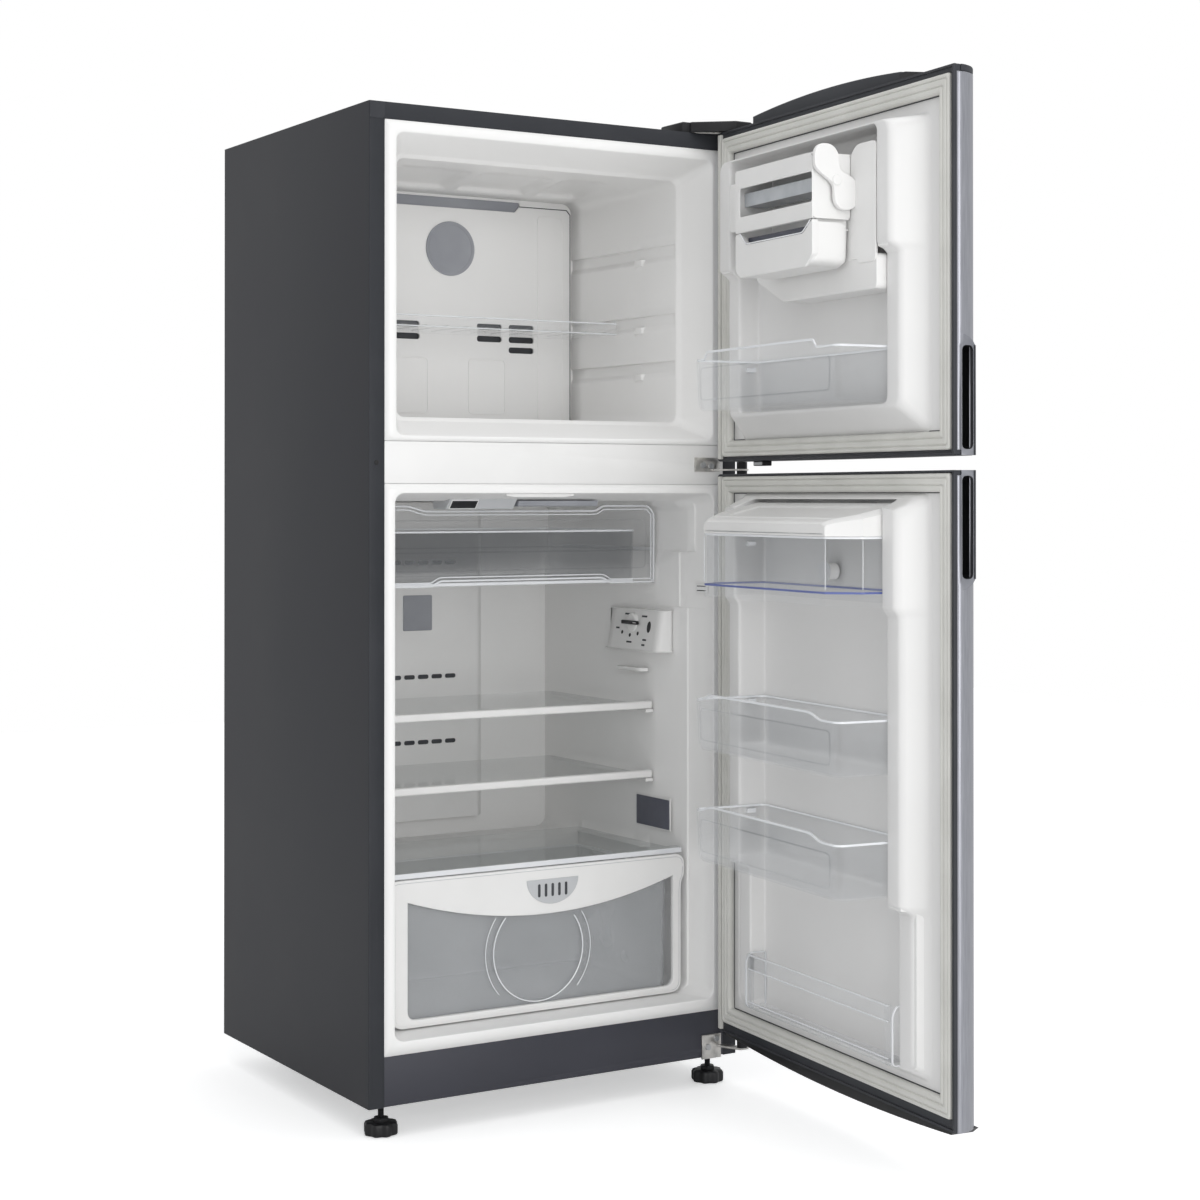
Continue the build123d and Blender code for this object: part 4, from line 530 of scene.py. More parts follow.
def bake(piece: bpy.types.Object) -> None:
    """Make a piece's modifiers part of its mesh.

    Args:
        piece: The piece.
    """
    graph = bpy.context.evaluated_depsgraph_get()
    piece.data = bpy.data.meshes.new_from_object(piece.evaluated_get(graph), depsgraph=graph)
    piece.modifiers.clear()
    piece.data.name = piece.name


class Axis(Enum):
    """Direction a shape is drawn along, with the order in which its own axes fill x, depth and z."""

    DEPTH = (0, 2, 1)
    UP = (0, 1, 2)
    ACROSS = (2, 0, 1)

    def point(self, u: float, v: float, w: float) -> Point:
        """Turn a shape's own coordinates into x, depth and z."""
        own = (u, v, w)
        return tuple(own[i] for i in self.value)


class Shape:
    """Faces of one piece, in millimetres: across, behind the cabinet's face and above the floor."""

    def __init__(self, palette: Palette, side: Side = Side.CABINET) -> None:
        """Start an empty piece.

        Args:
            palette: Materials.
            side: What the piece is built on.
        """
        self.palette = palette
        self.side = side
        self.verts: list[Point] = []
        self.faces: Faces = []
        self.inks: list[int] = []
        self.names: list[Ink] = []

    def add(self, verts: Iterable[Point], faces: Iterable[Sequence[int]], ink: Ink) -> None:
        """Add faces of one material.

        Args:
            verts: Points in millimetres.
            faces: Faces that index the points.
            ink: Finish.
        """
        if ink not in self.names:
            self.names.append(ink)
        base = len(self.verts)
        self.verts.extend(verts)
        for face in faces:
            self.faces.append(tuple(base + i for i in face))
            self.inks.append(self.names.index(ink))

    def tube(
        self,
        levels: Sequence[Level],
        ink: Ink,
        axis: Axis = Axis.DEPTH,
        stations: Stations = NO_STATIONS,
        shift: Shift | None = None,
        caps: tuple[bool, bool] = (False, False),
        corner: int = 5,
    ) -> None:
        """Skin over rounded rectangles that follow one another.

        Args:
            levels: Rectangles as (position, u low, u high, v low, v high, corner radius).
            ink: Finish.
            axis: Direction the rectangles follow one another along.
            stations: More points along the sides, as absolute u and v values.
            shift: Takes a point and its outward direction, returns how far it moves out and along.
            caps: Whether the first and last rectangles are closed.
            corner: Pieces each corner is made of.
        """
        rings = [self.ring(level, stations, corner) for level in levels]
        verts = []
        for level, ring in zip(levels, rings):
            for u, v, du, dv in ring:
                w = level[0]
                out, along = shift(Spot(u, v, w, du, dv)) if shift else (0.0, 0.0)
                verts.append(axis.point(u + du * out, v + dv * out, w + along))
        faces = sleeve(len(rings), len(rings[0]), caps)
        # Turned round, each face keeping its first point.
        self.add(verts, [(face[0], *reversed(face[1:])) for face in faces], ink)

    def ring(self, level: Level, stations: Stations, corner: int) -> list[tuple[float, float, float, float]]:
        """Points and outward directions around one rounded rectangle.

        Args:
            level: The rectangle.
            stations: More points along the sides.
            corner: Pieces each corner is made of.

        Returns:
            list[tuple[float, float, float, float]]: Each point with its outward direction.
        """
        _, u0, u1, v0, v1, radius = level
        made = []
        sides = [
            ((u0 + radius, v0), (0, -1), stations[0], 0, (u1 - radius, v0 + radius), 270),
            ((u1, v0 + radius), (1, 0), stations[1], 1, (u1 - radius, v1 - radius), 0),
            ((u1 - radius, v1), (0, 1), stations[0][::-1], 0, (u0 + radius, v1 - radius), 90),
            ((u0, v1 - radius), (-1, 0), stations[1][::-1], 1, (u0 + radius, v0 + radius), 180),
        ]
        low, high = (u0 + radius, v0 + radius), (u1 - radius, v1 - radius)
        for start, out, marks, moving, centre, angle in sides:
            for mark in marks:
                place = list(start)
                place[moving] = min(max(mark, low[moving]), high[moving])
                made.append((*place, *out))
            for step in range(corner + 1):
                turn = math.radians(angle + 90 * step / corner)
                du, dv = math.cos(turn), math.sin(turn)
                made.append((centre[0] + radius * du, centre[1] + radius * dv, du, dv))
        return made

    def plate(
        self,
        outline: Outline,
        span: Span,
        ink: Ink,
        axis: Axis = Axis.DEPTH,
        holes: Sequence[Outline] = (),
        bevel: float = 0.0,
    ) -> None:
        """Flat plate with holes and rounded edges.

        Args:
            outline: Outline in the plate's own plane.
            span: Its two faces along the axis.
            ink: Finish.
            axis: Direction of its thickness.
            holes: Outlines of its holes.
            bevel: Rounding of its edges.
        """
        curve = bpy.data.curves.new("plate", "CURVE")
        curve.dimensions = "2D"
        curve.fill_mode = "BOTH"
        curve.extrude = max((span[1] - span[0]) / 2 - bevel, 0.0)
        curve.bevel_depth = bevel
        curve.bevel_resolution = 1
        curve.offset = -bevel
        for loop in (outline, *holes):
            spline = curve.splines.new("POLY")
            spline.points.add(len(loop) - 1)
            for point, (u, v) in zip(spline.points, loop):
                point.co = (u, v, 0.0, 1.0)
            spline.use_cyclic_u = True
        holder = bpy.data.objects.new("plate", curve)
        bpy.context.scene.collection.objects.link(holder)
        graph = bpy.context.evaluated_depsgraph_get()
        mesh = bpy.data.meshes.new_from_object(holder.evaluated_get(graph), depsgraph=graph)
        middle = (span[0] + span[1]) / 2
        verts = [axis.point(v.co.x, v.co.y, v.co.z + middle) for v in mesh.vertices]
        self.add(verts, [tuple(face.vertices) for face in mesh.polygons], ink)
        bpy.data.objects.remove(holder)
        bpy.data.curves.remove(curve)
        bpy.data.meshes.remove(mesh)

    def box(self, x: Span, n: Span, z: Span, ink: Ink, bevel: float = 1.0, segments: int = 2) -> None:
        """Box with rounded edges.

        Args:
            x: Span across.
            n: Span in depth.
            z: Span up.
            ink: Finish.
            bevel: Rounding of its edges.
            segments: Steps around an edge.
        """
        work = bmesh.new()
        bmesh.ops.create_cube(work, size=1.0)
        middle = [(s[0] + s[1]) / 2 for s in (x, n, z)]
        size = [s[1] - s[0] for s in (x, n, z)]
        for vert in work.verts:
            vert.co = Vector([m + c * s for m, c, s in zip(middle, vert.co, size)])
        if bevel:
            width = min(bevel, min(size) * 0.45)
            bmesh.ops.bevel(work, geom=work.edges[:], offset=width, segments=segments, profile=0.5,
                            affect="EDGES")
        self.take(work, ink)

    def lathe(self, profile: Outline, centre: Point, axis: Axis, ink: Ink, steps: int = 32) -> None:
        """Turned solid about a line.

        Args:
            profile: Radius and height pairs from one end to the other.
            centre: Point on the line, in the axis's own coordinates.
            axis: Direction of the line.
            ink: Finish.
            steps: Pieces around.
        """
        verts = []
        for radius, height in profile:
            for step in range(steps):
                angle = 2 * math.pi * step / steps
                u, v = centre[0] + radius * math.cos(angle), centre[1] + radius * math.sin(angle)
                verts.append(axis.point(u, v, centre[2] + height))
        self.add(verts, sleeve(len(profile), steps), ink)

    def rope(self, path: Sequence[Point], radius: float, ink: Ink, steps: int = 8) -> None:
        """Round bar along a path.

        Args:
            path: Points in millimetres.
            radius: Radius of the bar.
            ink: Finish.
            steps: Pieces around.
        """
        points = [Vector(p) for p in path]
        verts = []
        side = None
        for i, point in enumerate(points):
            ahead = (points[min(i + 1, len(points) - 1)] - points[max(i - 1, 0)]).normalized()
            side = (side - ahead * side.dot(ahead)).normalized() if side else ahead.orthogonal().normalized()
            other = ahead.cross(side)
            for step in range(steps):
                angle = 2 * math.pi * step / steps
                verts.append(tuple(point + radius * (math.cos(angle) * side + math.sin(angle) * other)))
        self.add(verts, sleeve(len(points), steps), ink)

    def sheet(self, us: Sequence[float], vs: Sequence[float], place: Callable[[float, float], Point],
              ink: Ink) -> None:
        """Surface over a grid."""
        verts = [place(u, v) for v in vs for u in us]
        self.add(verts, lattice(len(vs), len(us), False), ink)

    def skin(self, loops: Sequence[Sequence[Point]], ink: Ink,
             caps: tuple[bool, bool] = (False, False)) -> None:
        """Skin over closed loops that follow one another, all of as many points."""
        self.add([point for loop in loops for point in loop], sleeve(len(loops), len(loops[0]), caps), ink)

    def turn(self) -> None:
        """Make every face look the other way."""
        self.faces = [tuple(reversed(face)) for face in self.faces]

    def take(self, work: bmesh.types.BMesh, ink: Ink) -> None:
        """Add all of a working mesh and free it.

        Args:
            work: Working mesh in millimetres.
            ink: Finish.
        """
        work.verts.index_update()
        self.add([tuple(v.co) for v in work.verts], [[v.index for v in f.verts] for f in work.faces], ink)
        work.free()

    def object(self, name: str, angle: float = SHARP_ANGLE, weighted: bool = True,
               wall: float = 0.0) -> bpy.types.Object:
        """Make the piece's object at the origin, its geometry where it belongs.

        Args:
            name: Piece name.
            angle: Sharpest smooth angle in degrees.
            weighted: Whether big faces keep their own direction in shading.
            wall: Wall given to an open skin, behind the side that shows; closed pieces have none.

        Returns:
            bpy.types.Object: The piece.
        """
        swing = HINGE.swing(self.side)
        mesh = bpy.data.meshes.new(name)
        placed = [swing @ Vector((x * MM, FRONT + n * MM, z * MM)) for x, n, z in self.verts]
        mesh.from_pydata(placed, [], self.faces)
        for ink in self.names:
            mesh.materials.append(self.palette.get(ink))
        mesh.polygons.foreach_set("material_index", self.inks)
        work = bmesh.new()
        work.from_mesh(mesh)
        bmesh.ops.remove_doubles(work, verts=work.verts, dist=2e-6)
        bmesh.ops.dissolve_degenerate(work, edges=work.edges, dist=1e-6)
        if not wall:
            bmesh.ops.recalc_face_normals(work, faces=work.faces)
        work.to_mesh(mesh)
        work.free()
        mesh.validate()
        for face in mesh.polygons:
            face.use_smooth = True
        mesh.set_sharp_from_angle(angle=math.radians(angle))
        piece = bpy.data.objects.new(name, mesh)
        bpy.context.scene.collection.objects.link(piece)
        if wall:
            solid = piece.modifiers.new("wall", "SOLIDIFY")
            solid.thickness = wall * MM
            solid.offset = -1.0
        if weighted:
            weigh(piece)
        if wall or weighted:
            bake(piece)
        return piece


@dataclass(frozen=True)
class Lamp:
    """Square softbox: where it hangs, what it is aimed at, its edge length and its watts."""

    name: str
    place: Point
    target: Point
    size: float
    power: float


class Studio:
    """Camera, soft lights, white surroundings and floor."""

    LAMPS: ClassVar[tuple[Lamp, ...]] = (
        Lamp("key_light", (-2.6, -3.2, 3.4), (0.1, -0.3, 0.8), 3.0, 8.0),
        Lamp("front_light", (-0.5, -4.6, 1.3), (0.0, -0.3, 0.75), 2.6, 58.0),
        Lamp("top_light", (0.3, -1.2, 4.0), (0.1, -0.4, 0.6), 2.4, 22.0),
    )
    AMBIENT: ClassVar[float] = 0.72
    FLOOR_LIFT: ClassVar[float] = 0.45

    def __init__(self, view: View, palette: Palette) -> None:
        """Build the whole studio.

        Args:
            view: Camera of the photograph.
            palette: Materials.
        """
        self.palette = palette
        self.camera(view)
        self.world()
        self.floor()
        for lamp in self.LAMPS:
            self.hang(lamp)

    def camera(self, view: View) -> None:
        """Create the camera and make it the scene's.

        Args:
            view: Camera of the photograph.
        """
        data = bpy.data.cameras.new("camera")
        data.lens = view.lens
        data.sensor_width = 36.0
        data.shift_y = view.shift_y
        data.clip_end = 50.0
        camera = bpy.data.objects.new("camera", data)
        camera.location = view.place
        camera.rotation_euler = (math.radians(90.0 + view.pitch), 0.0, math.radians(-view.yaw))
        bpy.context.scene.collection.objects.link(camera)
        bpy.context.scene.camera = camera
        bpy.context.scene.view_settings.view_transform = "Standard"

    def world(self) -> None:
        """White background for the camera, and soft light for everything else."""
        world = bpy.data.worlds.new("studio")
        bpy.context.scene.world = world
        world.use_nodes = True
        nodes, links = world.node_tree.nodes, world.node_tree.links
        nodes.clear()
        rays = nodes.new("ShaderNodeLightPath")
        seen = nodes.new("ShaderNodeMath")
        seen.operation = "MAXIMUM"
        mix = nodes.new("ShaderNodeMixShader")
        links.new(rays.outputs["Is Camera Ray"], seen.inputs[0])
        links.new(rays.outputs["Is Transmission Ray"], seen.inputs[1])
        links.new(seen.outputs["Value"], mix.inputs["Fac"])
        tints = (((0.98, 0.99, 1.0, 1.0), self.AMBIENT), ((1.0, 1.0, 1.0, 1.0), 1.0))
        for index, (tint, strength) in enumerate(tints):
            shade = nodes.new("ShaderNodeBackground")
            shade.inputs["Color"].default_value = tint
            shade.inputs["Strength"].default_value = strength
            links.new(shade.outputs["Background"], mix.inputs[index + 1])
        links.new(mix.outputs["Shader"], nodes.new("ShaderNodeOutputWorld").inputs["Surface"])

    def floor(self) -> None:
        """Lay the floor under the object, as white as the surroundings where the camera sees it."""
        mesh = bpy.data.meshes.new("floor")
        mesh.from_pydata([(-6, -6, 0), (6, -6, 0), (6, 6, 0), (-6, 6, 0)], [], [(0, 1, 2, 3)])
        material = self.palette.get(Ink.FLOOR)
        nodes, links = material.node_tree.nodes, material.node_tree.links
        rays, lift = nodes.new("ShaderNodeLightPath"), nodes.new("ShaderNodeMath")
        lift.operation = "MULTIPLY"
        lift.inputs[1].default_value = self.FLOOR_LIFT
        sockets = nodes["Principled BSDF"].inputs
        sockets["Emission Color"].default_value = (1.0, 1.0, 1.0, 1.0)
        links.new(rays.outputs["Is Camera Ray"], lift.inputs[0])
        links.new(lift.outputs["Value"], sockets["Emission Strength"])
        mesh.materials.append(material)
        floor = bpy.data.objects.new("floor", mesh)
        bpy.context.scene.collection.objects.link(floor)

    def hang(self, lamp: Lamp) -> None:
        """Hang a softbox aimed at its target.

        Args:
            lamp: The softbox.
        """
        data = bpy.data.lights.new(lamp.name, "AREA")
        data.shape = "SQUARE"
        data.size = lamp.size
        data.energy = lamp.power
        piece = bpy.data.objects.new(lamp.name, data)
        piece.location = lamp.place
        piece.rotation_euler = (Vector(lamp.target) - Vector(lamp.place)).to_track_quat("-Z", "Y").to_euler()
        bpy.context.scene.collection.objects.link(piece)


class Workshop:
    """Builds, finishes and registers the visible pieces."""

    def __init__(self, frame: dict, palette: Palette) -> None:
        """Keep the frame and the materials at hand.

        Args:
            palette: Materials.
        """
        self.nodes: dict[str, bpy.types.Object] = frame["nodes"]
        record = frame["record"]
        self.palette = palette
        self.body_of = {node: body for body, nodes in record["behaviour"]["bodies"].items() for node in nodes}
        self.slot_of = {part["node"]: part["material_slot"] for part in record["subparts"]}

    def paint(self, node: str, ink: Ink) -> None:
        """Give a CAD node that stays its material.

        Args:
            node: CAD node name.
            ink: Finish.
        """
        for slot in self.nodes[node].material_slots:
            slot.material = self.palette.get(ink)
        LOG.info("painted %s", node)

    def soften(self, node: str, ink: Ink, width: float, front: Ink | None = None) -> None:
        """Stand a rounded-edge copy in for a CAD node.

        Args:
            node: CAD node name.
            ink: Finish.
            width: Edge rounding in millimetres.
            front: Lit copy of the finish for the faces that look to the front at the cabinet's face, where it
                differs: painted light.
        """
        mesh = self.nodes[node].data.copy()
        work = bmesh.new()
        work.from_mesh(mesh)
        bmesh.ops.remove_doubles(work, verts=work.verts, dist=1e-6)
        bmesh.ops.dissolve_limit(work, angle_limit=math.radians(1.0), verts=work.verts, edges=work.edges)
        work.to_mesh(mesh)
        work.free()
        mesh.materials.clear()
        mesh.materials.append(self.palette.get(ink))
        piece = bpy.data.objects.new(f"{node}_look", mesh)
        bpy.context.scene.collection.objects.link(piece)
        bevel = piece.modifiers.new("bevel", "BEVEL")
        bevel.width = width * MM
        bevel.segments = 2
        bevel.limit_method = "ANGLE"
        bevel.angle_limit = math.radians(30.0)
        weigh(piece)
        bake(piece)
        for face in piece.data.polygons:
            face.use_smooth = True
        piece.data.set_sharp_from_angle(angle=math.radians(SHARP_ANGLE))
        # Faces that look to the front take the lighter copy of the finish: painted light.
        if front:
            piece.data.materials.append(self.palette.get(front))
            for face in piece.data.polygons:
                if face.normal.y < -0.6 and face.center.y < FRONT + 1.5 * MM:
                    face.material_index = 1
        self.register(piece, node)

    def recess(self, node: str, ink: Ink, depth: float) -> None:
        """Stand in for a hidden CAD node with a copy whose surface lies deeper.

        Args:
            node: CAD node name.
            ink: Finish.
            depth: How much deeper, in millimetres.
        """
        mesh = self.nodes[node].data.copy()
        work = bmesh.new()
        work.from_mesh(mesh)
        bmesh.ops.remove_doubles(work, verts=work.verts, dist=1e-6)
        work.normal_update()
        moves = [(vert, vert.normal * vert.calc_shell_factor() * depth * MM) for vert in work.verts]
        for vert, move in moves:
            vert.co -= move
        work.to_mesh(mesh)
        work.free()
        mesh.materials.clear()
        mesh.materials.append(self.palette.get(ink))
        piece = bpy.data.objects.new(f"{node}_core", mesh)
        bpy.context.scene.collection.objects.link(piece)
        self.register(piece, node)

    def register(self, piece: bpy.types.Object, node: str, stands: bool = True) -> None:
        """Tell the frame what a piece rides on and stands for.

        Args:
            piece: The piece.
            node: CAD node whose body it takes.
            stands: Whether it stands for that node.
        """
        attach(piece, self.body_of[node])
        if stands:
            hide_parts(node)
        LOG.info("made %s, %d faces", piece.name, len(piece.data.polygons))


class Rows:
    """Geometry Nodes tree that repeats one small shape along a line."""

    SOCKETS: ClassVar[dict[str, str]] = {
        "Start": "NodeSocketVector",
        "Step": "NodeSocketVector",
        "Count": "NodeSocketInt",
        "Finish": "NodeSocketMaterial",
    }

    def __init__(self) -> None:
        """Build the tree with its named inputs."""
        self.tree = bpy.data.node_groups.new("rows", "GeometryNodeTree")
        face = self.tree.interface
        face.new_socket("Geometry", in_out="INPUT", socket_type="NodeSocketGeometry")
        face.new_socket("Geometry", in_out="OUTPUT", socket_type="NodeSocketGeometry")
        self.names = {
            name: face.new_socket(name, in_out="INPUT", socket_type=kind).identifier
            for name, kind in self.SOCKETS.items()
        }
        nodes, links = self.tree.nodes, self.tree.links
        start = nodes.new("NodeGroupInput")
        line = nodes.new("GeometryNodeMeshLine")
        place = nodes.new("GeometryNodeInstanceOnPoints")
        real = nodes.new("GeometryNodeRealizeInstances")
        coat = nodes.new("GeometryNodeSetMaterial")
        out = nodes.new("NodeGroupOutput")
        links.new(start.outputs["Start"], line.inputs["Start Location"])
        links.new(start.outputs["Step"], line.inputs["Offset"])
        links.new(start.outputs["Count"], line.inputs["Count"])
        links.new(line.outputs["Mesh"], place.inputs["Points"])
        links.new(start.outputs["Geometry"], place.inputs["Instance"])
        links.new(place.outputs["Instances"], real.inputs["Geometry"])
        links.new(real.outputs["Geometry"], coat.inputs["Geometry"])
        links.new(start.outputs["Finish"], coat.inputs["Material"])
        links.new(coat.outputs["Geometry"], out.inputs["Geometry"])

    def repeat(self, unit: Shape, into: Shape, start: Point, step: Point, count: int, ink: Ink) -> None:
        """Repeat a shape and add all of it to a piece.

        Args:
            unit: Shape to repeat, in millimetres from the zero point.
            into: Piece that takes the result.
            start: How far the first one is moved.
            step: From one to the next.
            count: How many.
            ink: Finish.
        """
        mesh = bpy.data.meshes.new("unit")
        mesh.from_pydata(unit.verts, [], unit.faces)
        holder = bpy.data.objects.new("unit", mesh)
        bpy.context.scene.collection.objects.link(holder)
        modifier = holder.modifiers.new("rows", "NODES")
        modifier.node_group = self.tree
        values = (start, step, count, into.palette.get(ink))
        for name, value in zip(self.SOCKETS, values):
            modifier[self.names[name]] = value
        graph = bpy.context.evaluated_depsgraph_get()
        made = bpy.data.meshes.new_from_object(holder.evaluated_get(graph), depsgraph=graph)
        into.add([tuple(v.co) for v in made.vertices], [tuple(f.vertices) for f in made.polygons], ink)
        bpy.data.objects.remove(holder)
        bpy.data.meshes.remove(mesh)
        bpy.data.meshes.remove(made)


def around(centres: Iterable[float], offsets: Sequence[float]) -> list[float]:
    """Values at the same offsets from each centre."""
    return [centre + offset for centre in centres for offset in offsets]


def between(a: float, b: float) -> Span:
    """Span between two values in rising order."""
    return (min(a, b), max(a, b))


def along(value: float, table: Outline) -> float:
    """Straight-line value from a table.

    Args:
        value: Where.
        table: Position and value pairs in rising order.

    Returns:
        float: The value there.
    """
    for (a, low), (b, high) in zip(table, table[1:]):
        if value <= b:
            return low + (high - low) * max(0.0, value - a) / (b - a)
    return table[-1][1]


def shrunk(outline: Outline, by: float) -> list[Flat]:
    """Outline moved inwards along its corners' own directions.

    Args:
        outline: Closed outline, counter-clockwise.
        by: How far.

    Returns:
        list[Flat]: The inner outline.
    """
    made = []
    count = len(outline)
    for i, (x, y) in enumerate(outline):
        a = Vector(outline[i - 1])
        b = Vector(outline[(i + 1) % count])
        here = Vector((x, y))
        first, second = (here - a), (b - here)
        if first.length < 1e-6 or second.length < 1e-6:
            made.append((x, y))
            continue
        first.normalize()
        second.normalize()
        normal = Vector((-first.y - second.y, first.x + second.x))
        if normal.length < 1e-6:
            made.append((x, y))
            continue
        normal.normalize()
        stretch = max(0.5, normal.dot(Vector((-first.y, first.x))))
        made.append((x + normal.x * by / stretch, y + normal.y * by / stretch))
    return made


@dataclass
class Room:
    """Shared by everything that builds pieces for one part of the refrigerator."""

    shop: Workshop
    rows: Rows
    side: ClassVar[Side] = Side.CABINET

    def shape(self) -> Shape:
        """Start a piece on this part's side."""
        return Shape(self.shop.palette, self.side)

    def finish(self, shape: Shape, name: str, node: str, stands: bool = True, angle: float = SHARP_ANGLE,
               weighted: bool = True, wall: float = 0.0) -> None:
        """Make a piece's object and register it."""
        self.shop.register(shape.object(name, angle, weighted, wall), node, stands)

    def tub(self, shape: Shape, walls: Sequence[Level], wall: float, rim: float,
            shift: Shift | None = None, stations: Stations = NO_STATIONS,
            ink: Ink = Ink.CLEAR, edge: Ink = Ink.RIM) -> None:
        """Tub with a rim: outer skin, rim and inner skin.

        Args:
            shape: The piece.
            walls: Outer rectangles from the bottom up.
            wall: Wall thickness.
            rim: Height of the rim.
            shift: Moves points, as in Shape.tube.
            stations: More points along the sides.
            ink: Finish of the walls.
            edge: Finish of the rim; by default the painted highlight finish.
        """
        path = soften_path(walls, [0, *([8.0] * (len(walls) - 2)), 0])
        top = path[-1]
        below = [top[0] - rim, *top[1:]]
        inner = [[w[0], w[1] + wall, w[2] - wall, w[3] + wall, w[4] - wall, max(w[5] - wall, 0.5)]
                 for w in path]
        inner[0][0] += wall
        inner_below = [top[0] - rim, *inner[-1][1:]]
        shape.tube([*path[:-1], below], ink, Axis.UP, stations, shift, (True, False))
        shape.tube([below, top, inner[-1], inner_below], edge, Axis.UP, stations, shift)
        shape.tube([inner_below, *inner[-2::-1]], ink, Axis.UP, stations, shift, (False, True))


@dataclass
class FreezerRoom(Room):
    """Freezer compartment: liner, rear cover and shelf."""

    grooves: Sequence[float] = (1450.0, 1330.0, 1247.0)
    wall: Outline = ((58.0, 277.0), (66.0, 270.0), (402.0, 256.9))

    def build(self) -> None:
        """Make every piece of the compartment."""
        self.liner()
        self.cover()
        self.shelf()

    def liner(self) -> None:
        """Vacuum-formed liner with its lead-in, grooves, stop nubs and ceiling relief."""
        points = [
            (0, -322.9, 322.9, 1099.4, 1606.8, 2),
            (0, -302, 302, 1108, 1589, 13),
            (58, -277, 277, 1133, 1564, 14),
            (66, -270, 270, 1140, 1558, 14),
            (402.5, -256.9, 256.9, 1141.5, 1554.3, 20),
        ]
        path = soften_path(points, [0, 3.5, 3.5, 3, 0])
        ends = around((71, 167, 191), (-2, -1, 0, 1, 2))
        lanes = [146, 148, 150, 152, 154, 330, 332, 334, 336, 338]
        path = split_path(path, [*ends, *lanes, *range(80, 400, 40)])
        heights = [top - h + e for top in self.grooves for h in (0, 30, 18) for e in (-1, -0.5, 0, 0.5, 1)]
        heights += [top - h for top in self.grooves for h in (16, 19, 22, 25, 28)]
        stations = (
            spread_out(-296, 296, 6),
            spread_out(1110, 1590, 20, heights),
        )
        shape = self.shape()
        # The freezer liner takes the brightened liner white: painted light.
        shape.tube(path, Ink.LINER, stations=stations, shift=self.relief)
        shape.turn()
        self.finish(shape, "freezer_liner_shell", "freezer_liner", angle=60, weighted=False, wall=LINER_WALL)

    def relief(self, spot: Spot) -> tuple[float, float]:
        """Grooves in the side walls and shallow lanes in the ceiling.

        Args:
            spot: Point of the skin, as across, up and depth.

        Returns:
            tuple[float, float]: How far out, and zero along.
        """
        u, v, w, du, dv = spot
        if abs(du) > 0.9 and w > 60:
            depth = min(max(0.0, 272.5 - along(w, self.wall)), 10.0) * (1 - 0.7 * step_up(w, 372, 60))
            out = 0.0
            for top in self.grooves:
                nub = hump(w, 167, 191, 3) * hump(v, top - 30, top - 18, 2.4)
                lane = step_up(v, top - 22, 12) * (1 - step_up(v, top, 1.8))
                out += depth * lane * step_up(w, 71, 4) * (1 - nub) - 2.5 * nub
            return out, 0.0
        if dv > 0.9 and w > 100:
            lean = (w - 244) * 0.25
            lanes = hump(u - lean, -196, -70, 8) + hump(u - lean, -40, 90, 8) + hump(u - lean, 120, 200, 8)
            return 7.0 * lanes * hump(w, 150, 334, 8), 0.0
        return 0.0, 0.0

    def cover(self) -> None:
        """Rear cover with rounded vents, the air slot and a bare round badge."""
        half, low, high = 256.6, 1142, 1553.6
        holes = []
        vents = ((84, 1320, 52), (150.5, 1320, 53), (84, 1298, 52), (150.5, 1298, 53), (150.5, 1279, 53))
        for x, z, width in vents:
            for side in (-1, 1):
                c = side * x
                holes.append(rect((c - width / 2, c + width / 2), (z - 5.5, z + 5.5), 5.5, 5))
        holes.append(rounded([(-240, 1532), (137, 1532), (147, 1543), (147, 1550.5), (-240, 1550.5)], 2.5, 3))
        shape = self.shape()
        # The rear cover takes the brightened liner white: painted light.
        shape.plate(rect((-half - 16, half + 16), (low - 4, high + 4)), (400, 403.5), Ink.LINER, holes=holes)
        shape.plate(rect((-half, half), (low, high), 26, 6), (407, 408), Ink.SHADOW)
        for rib in (rect((-118, -40), (1160, 1262), 10), rect((40, 118), (1160, 1262), 10)):
            shape.plate(rib, (398.6, 400.5), Ink.LINER, holes=[shrunk(rib, 3.0)], bevel=0.6)
        contour = rect((184, 240), (1150, 1530), 12)
        shape.plate(contour, (398.8, 400.5), Ink.LINER, holes=[shrunk(contour, 3.0)], bevel=0.6)
        # Grey strip behind the air slot stands for the dim inside of the slot: painted shade.
        shape.box((-242, 149), (404.6, 406.4), (1530, 1552.4), Ink.BADGE, 0.4)
        seam = [(146, 1542), (246, 1542), (253.6, 1534), (253.6, 1146)]
        outer = [(255.2, 1146), (255.2, 1534.6), (246.8, 1543.6), (146, 1543.6)]
        shape.plate([*seam, *outer], (399.5, 400.6), Ink.SHADOW)
        disc = arc_points((3, 1458), 49, 0, 354, 59)
        shape.plate(disc, (397.4, 400.5), Ink.BADGE, bevel=0.8)
        shape.plate(arc_points((3, 1458), 44, 0, 354, 59), (396.9, 398), Ink.BADGE,
                    holes=[arc_points((3, 1458), 42.6, 0, 354, 59)], bevel=0.2)
        self.finish(shape, "freezer_rear_cover", "evaporator_cover")

    def shelf(self) -> None:
        """Clear shelf in the middle grooves with its front rail."""
        shape = self.shape()
        plan = rounded([(-270, 245), (270, 245), (270, 364), (255, 368), (255, 396), (-255, 396), (-255, 368),
                        (-270, 364)], 4)
        shape.plate(plan, (1302.6, 1306), Ink.CLEAR, Axis.UP, bevel=0.8)
        shape.box((-258.5, 258.5), (242, 245.4), (1302.4, 1323), Ink.CLEAR, 1.2)
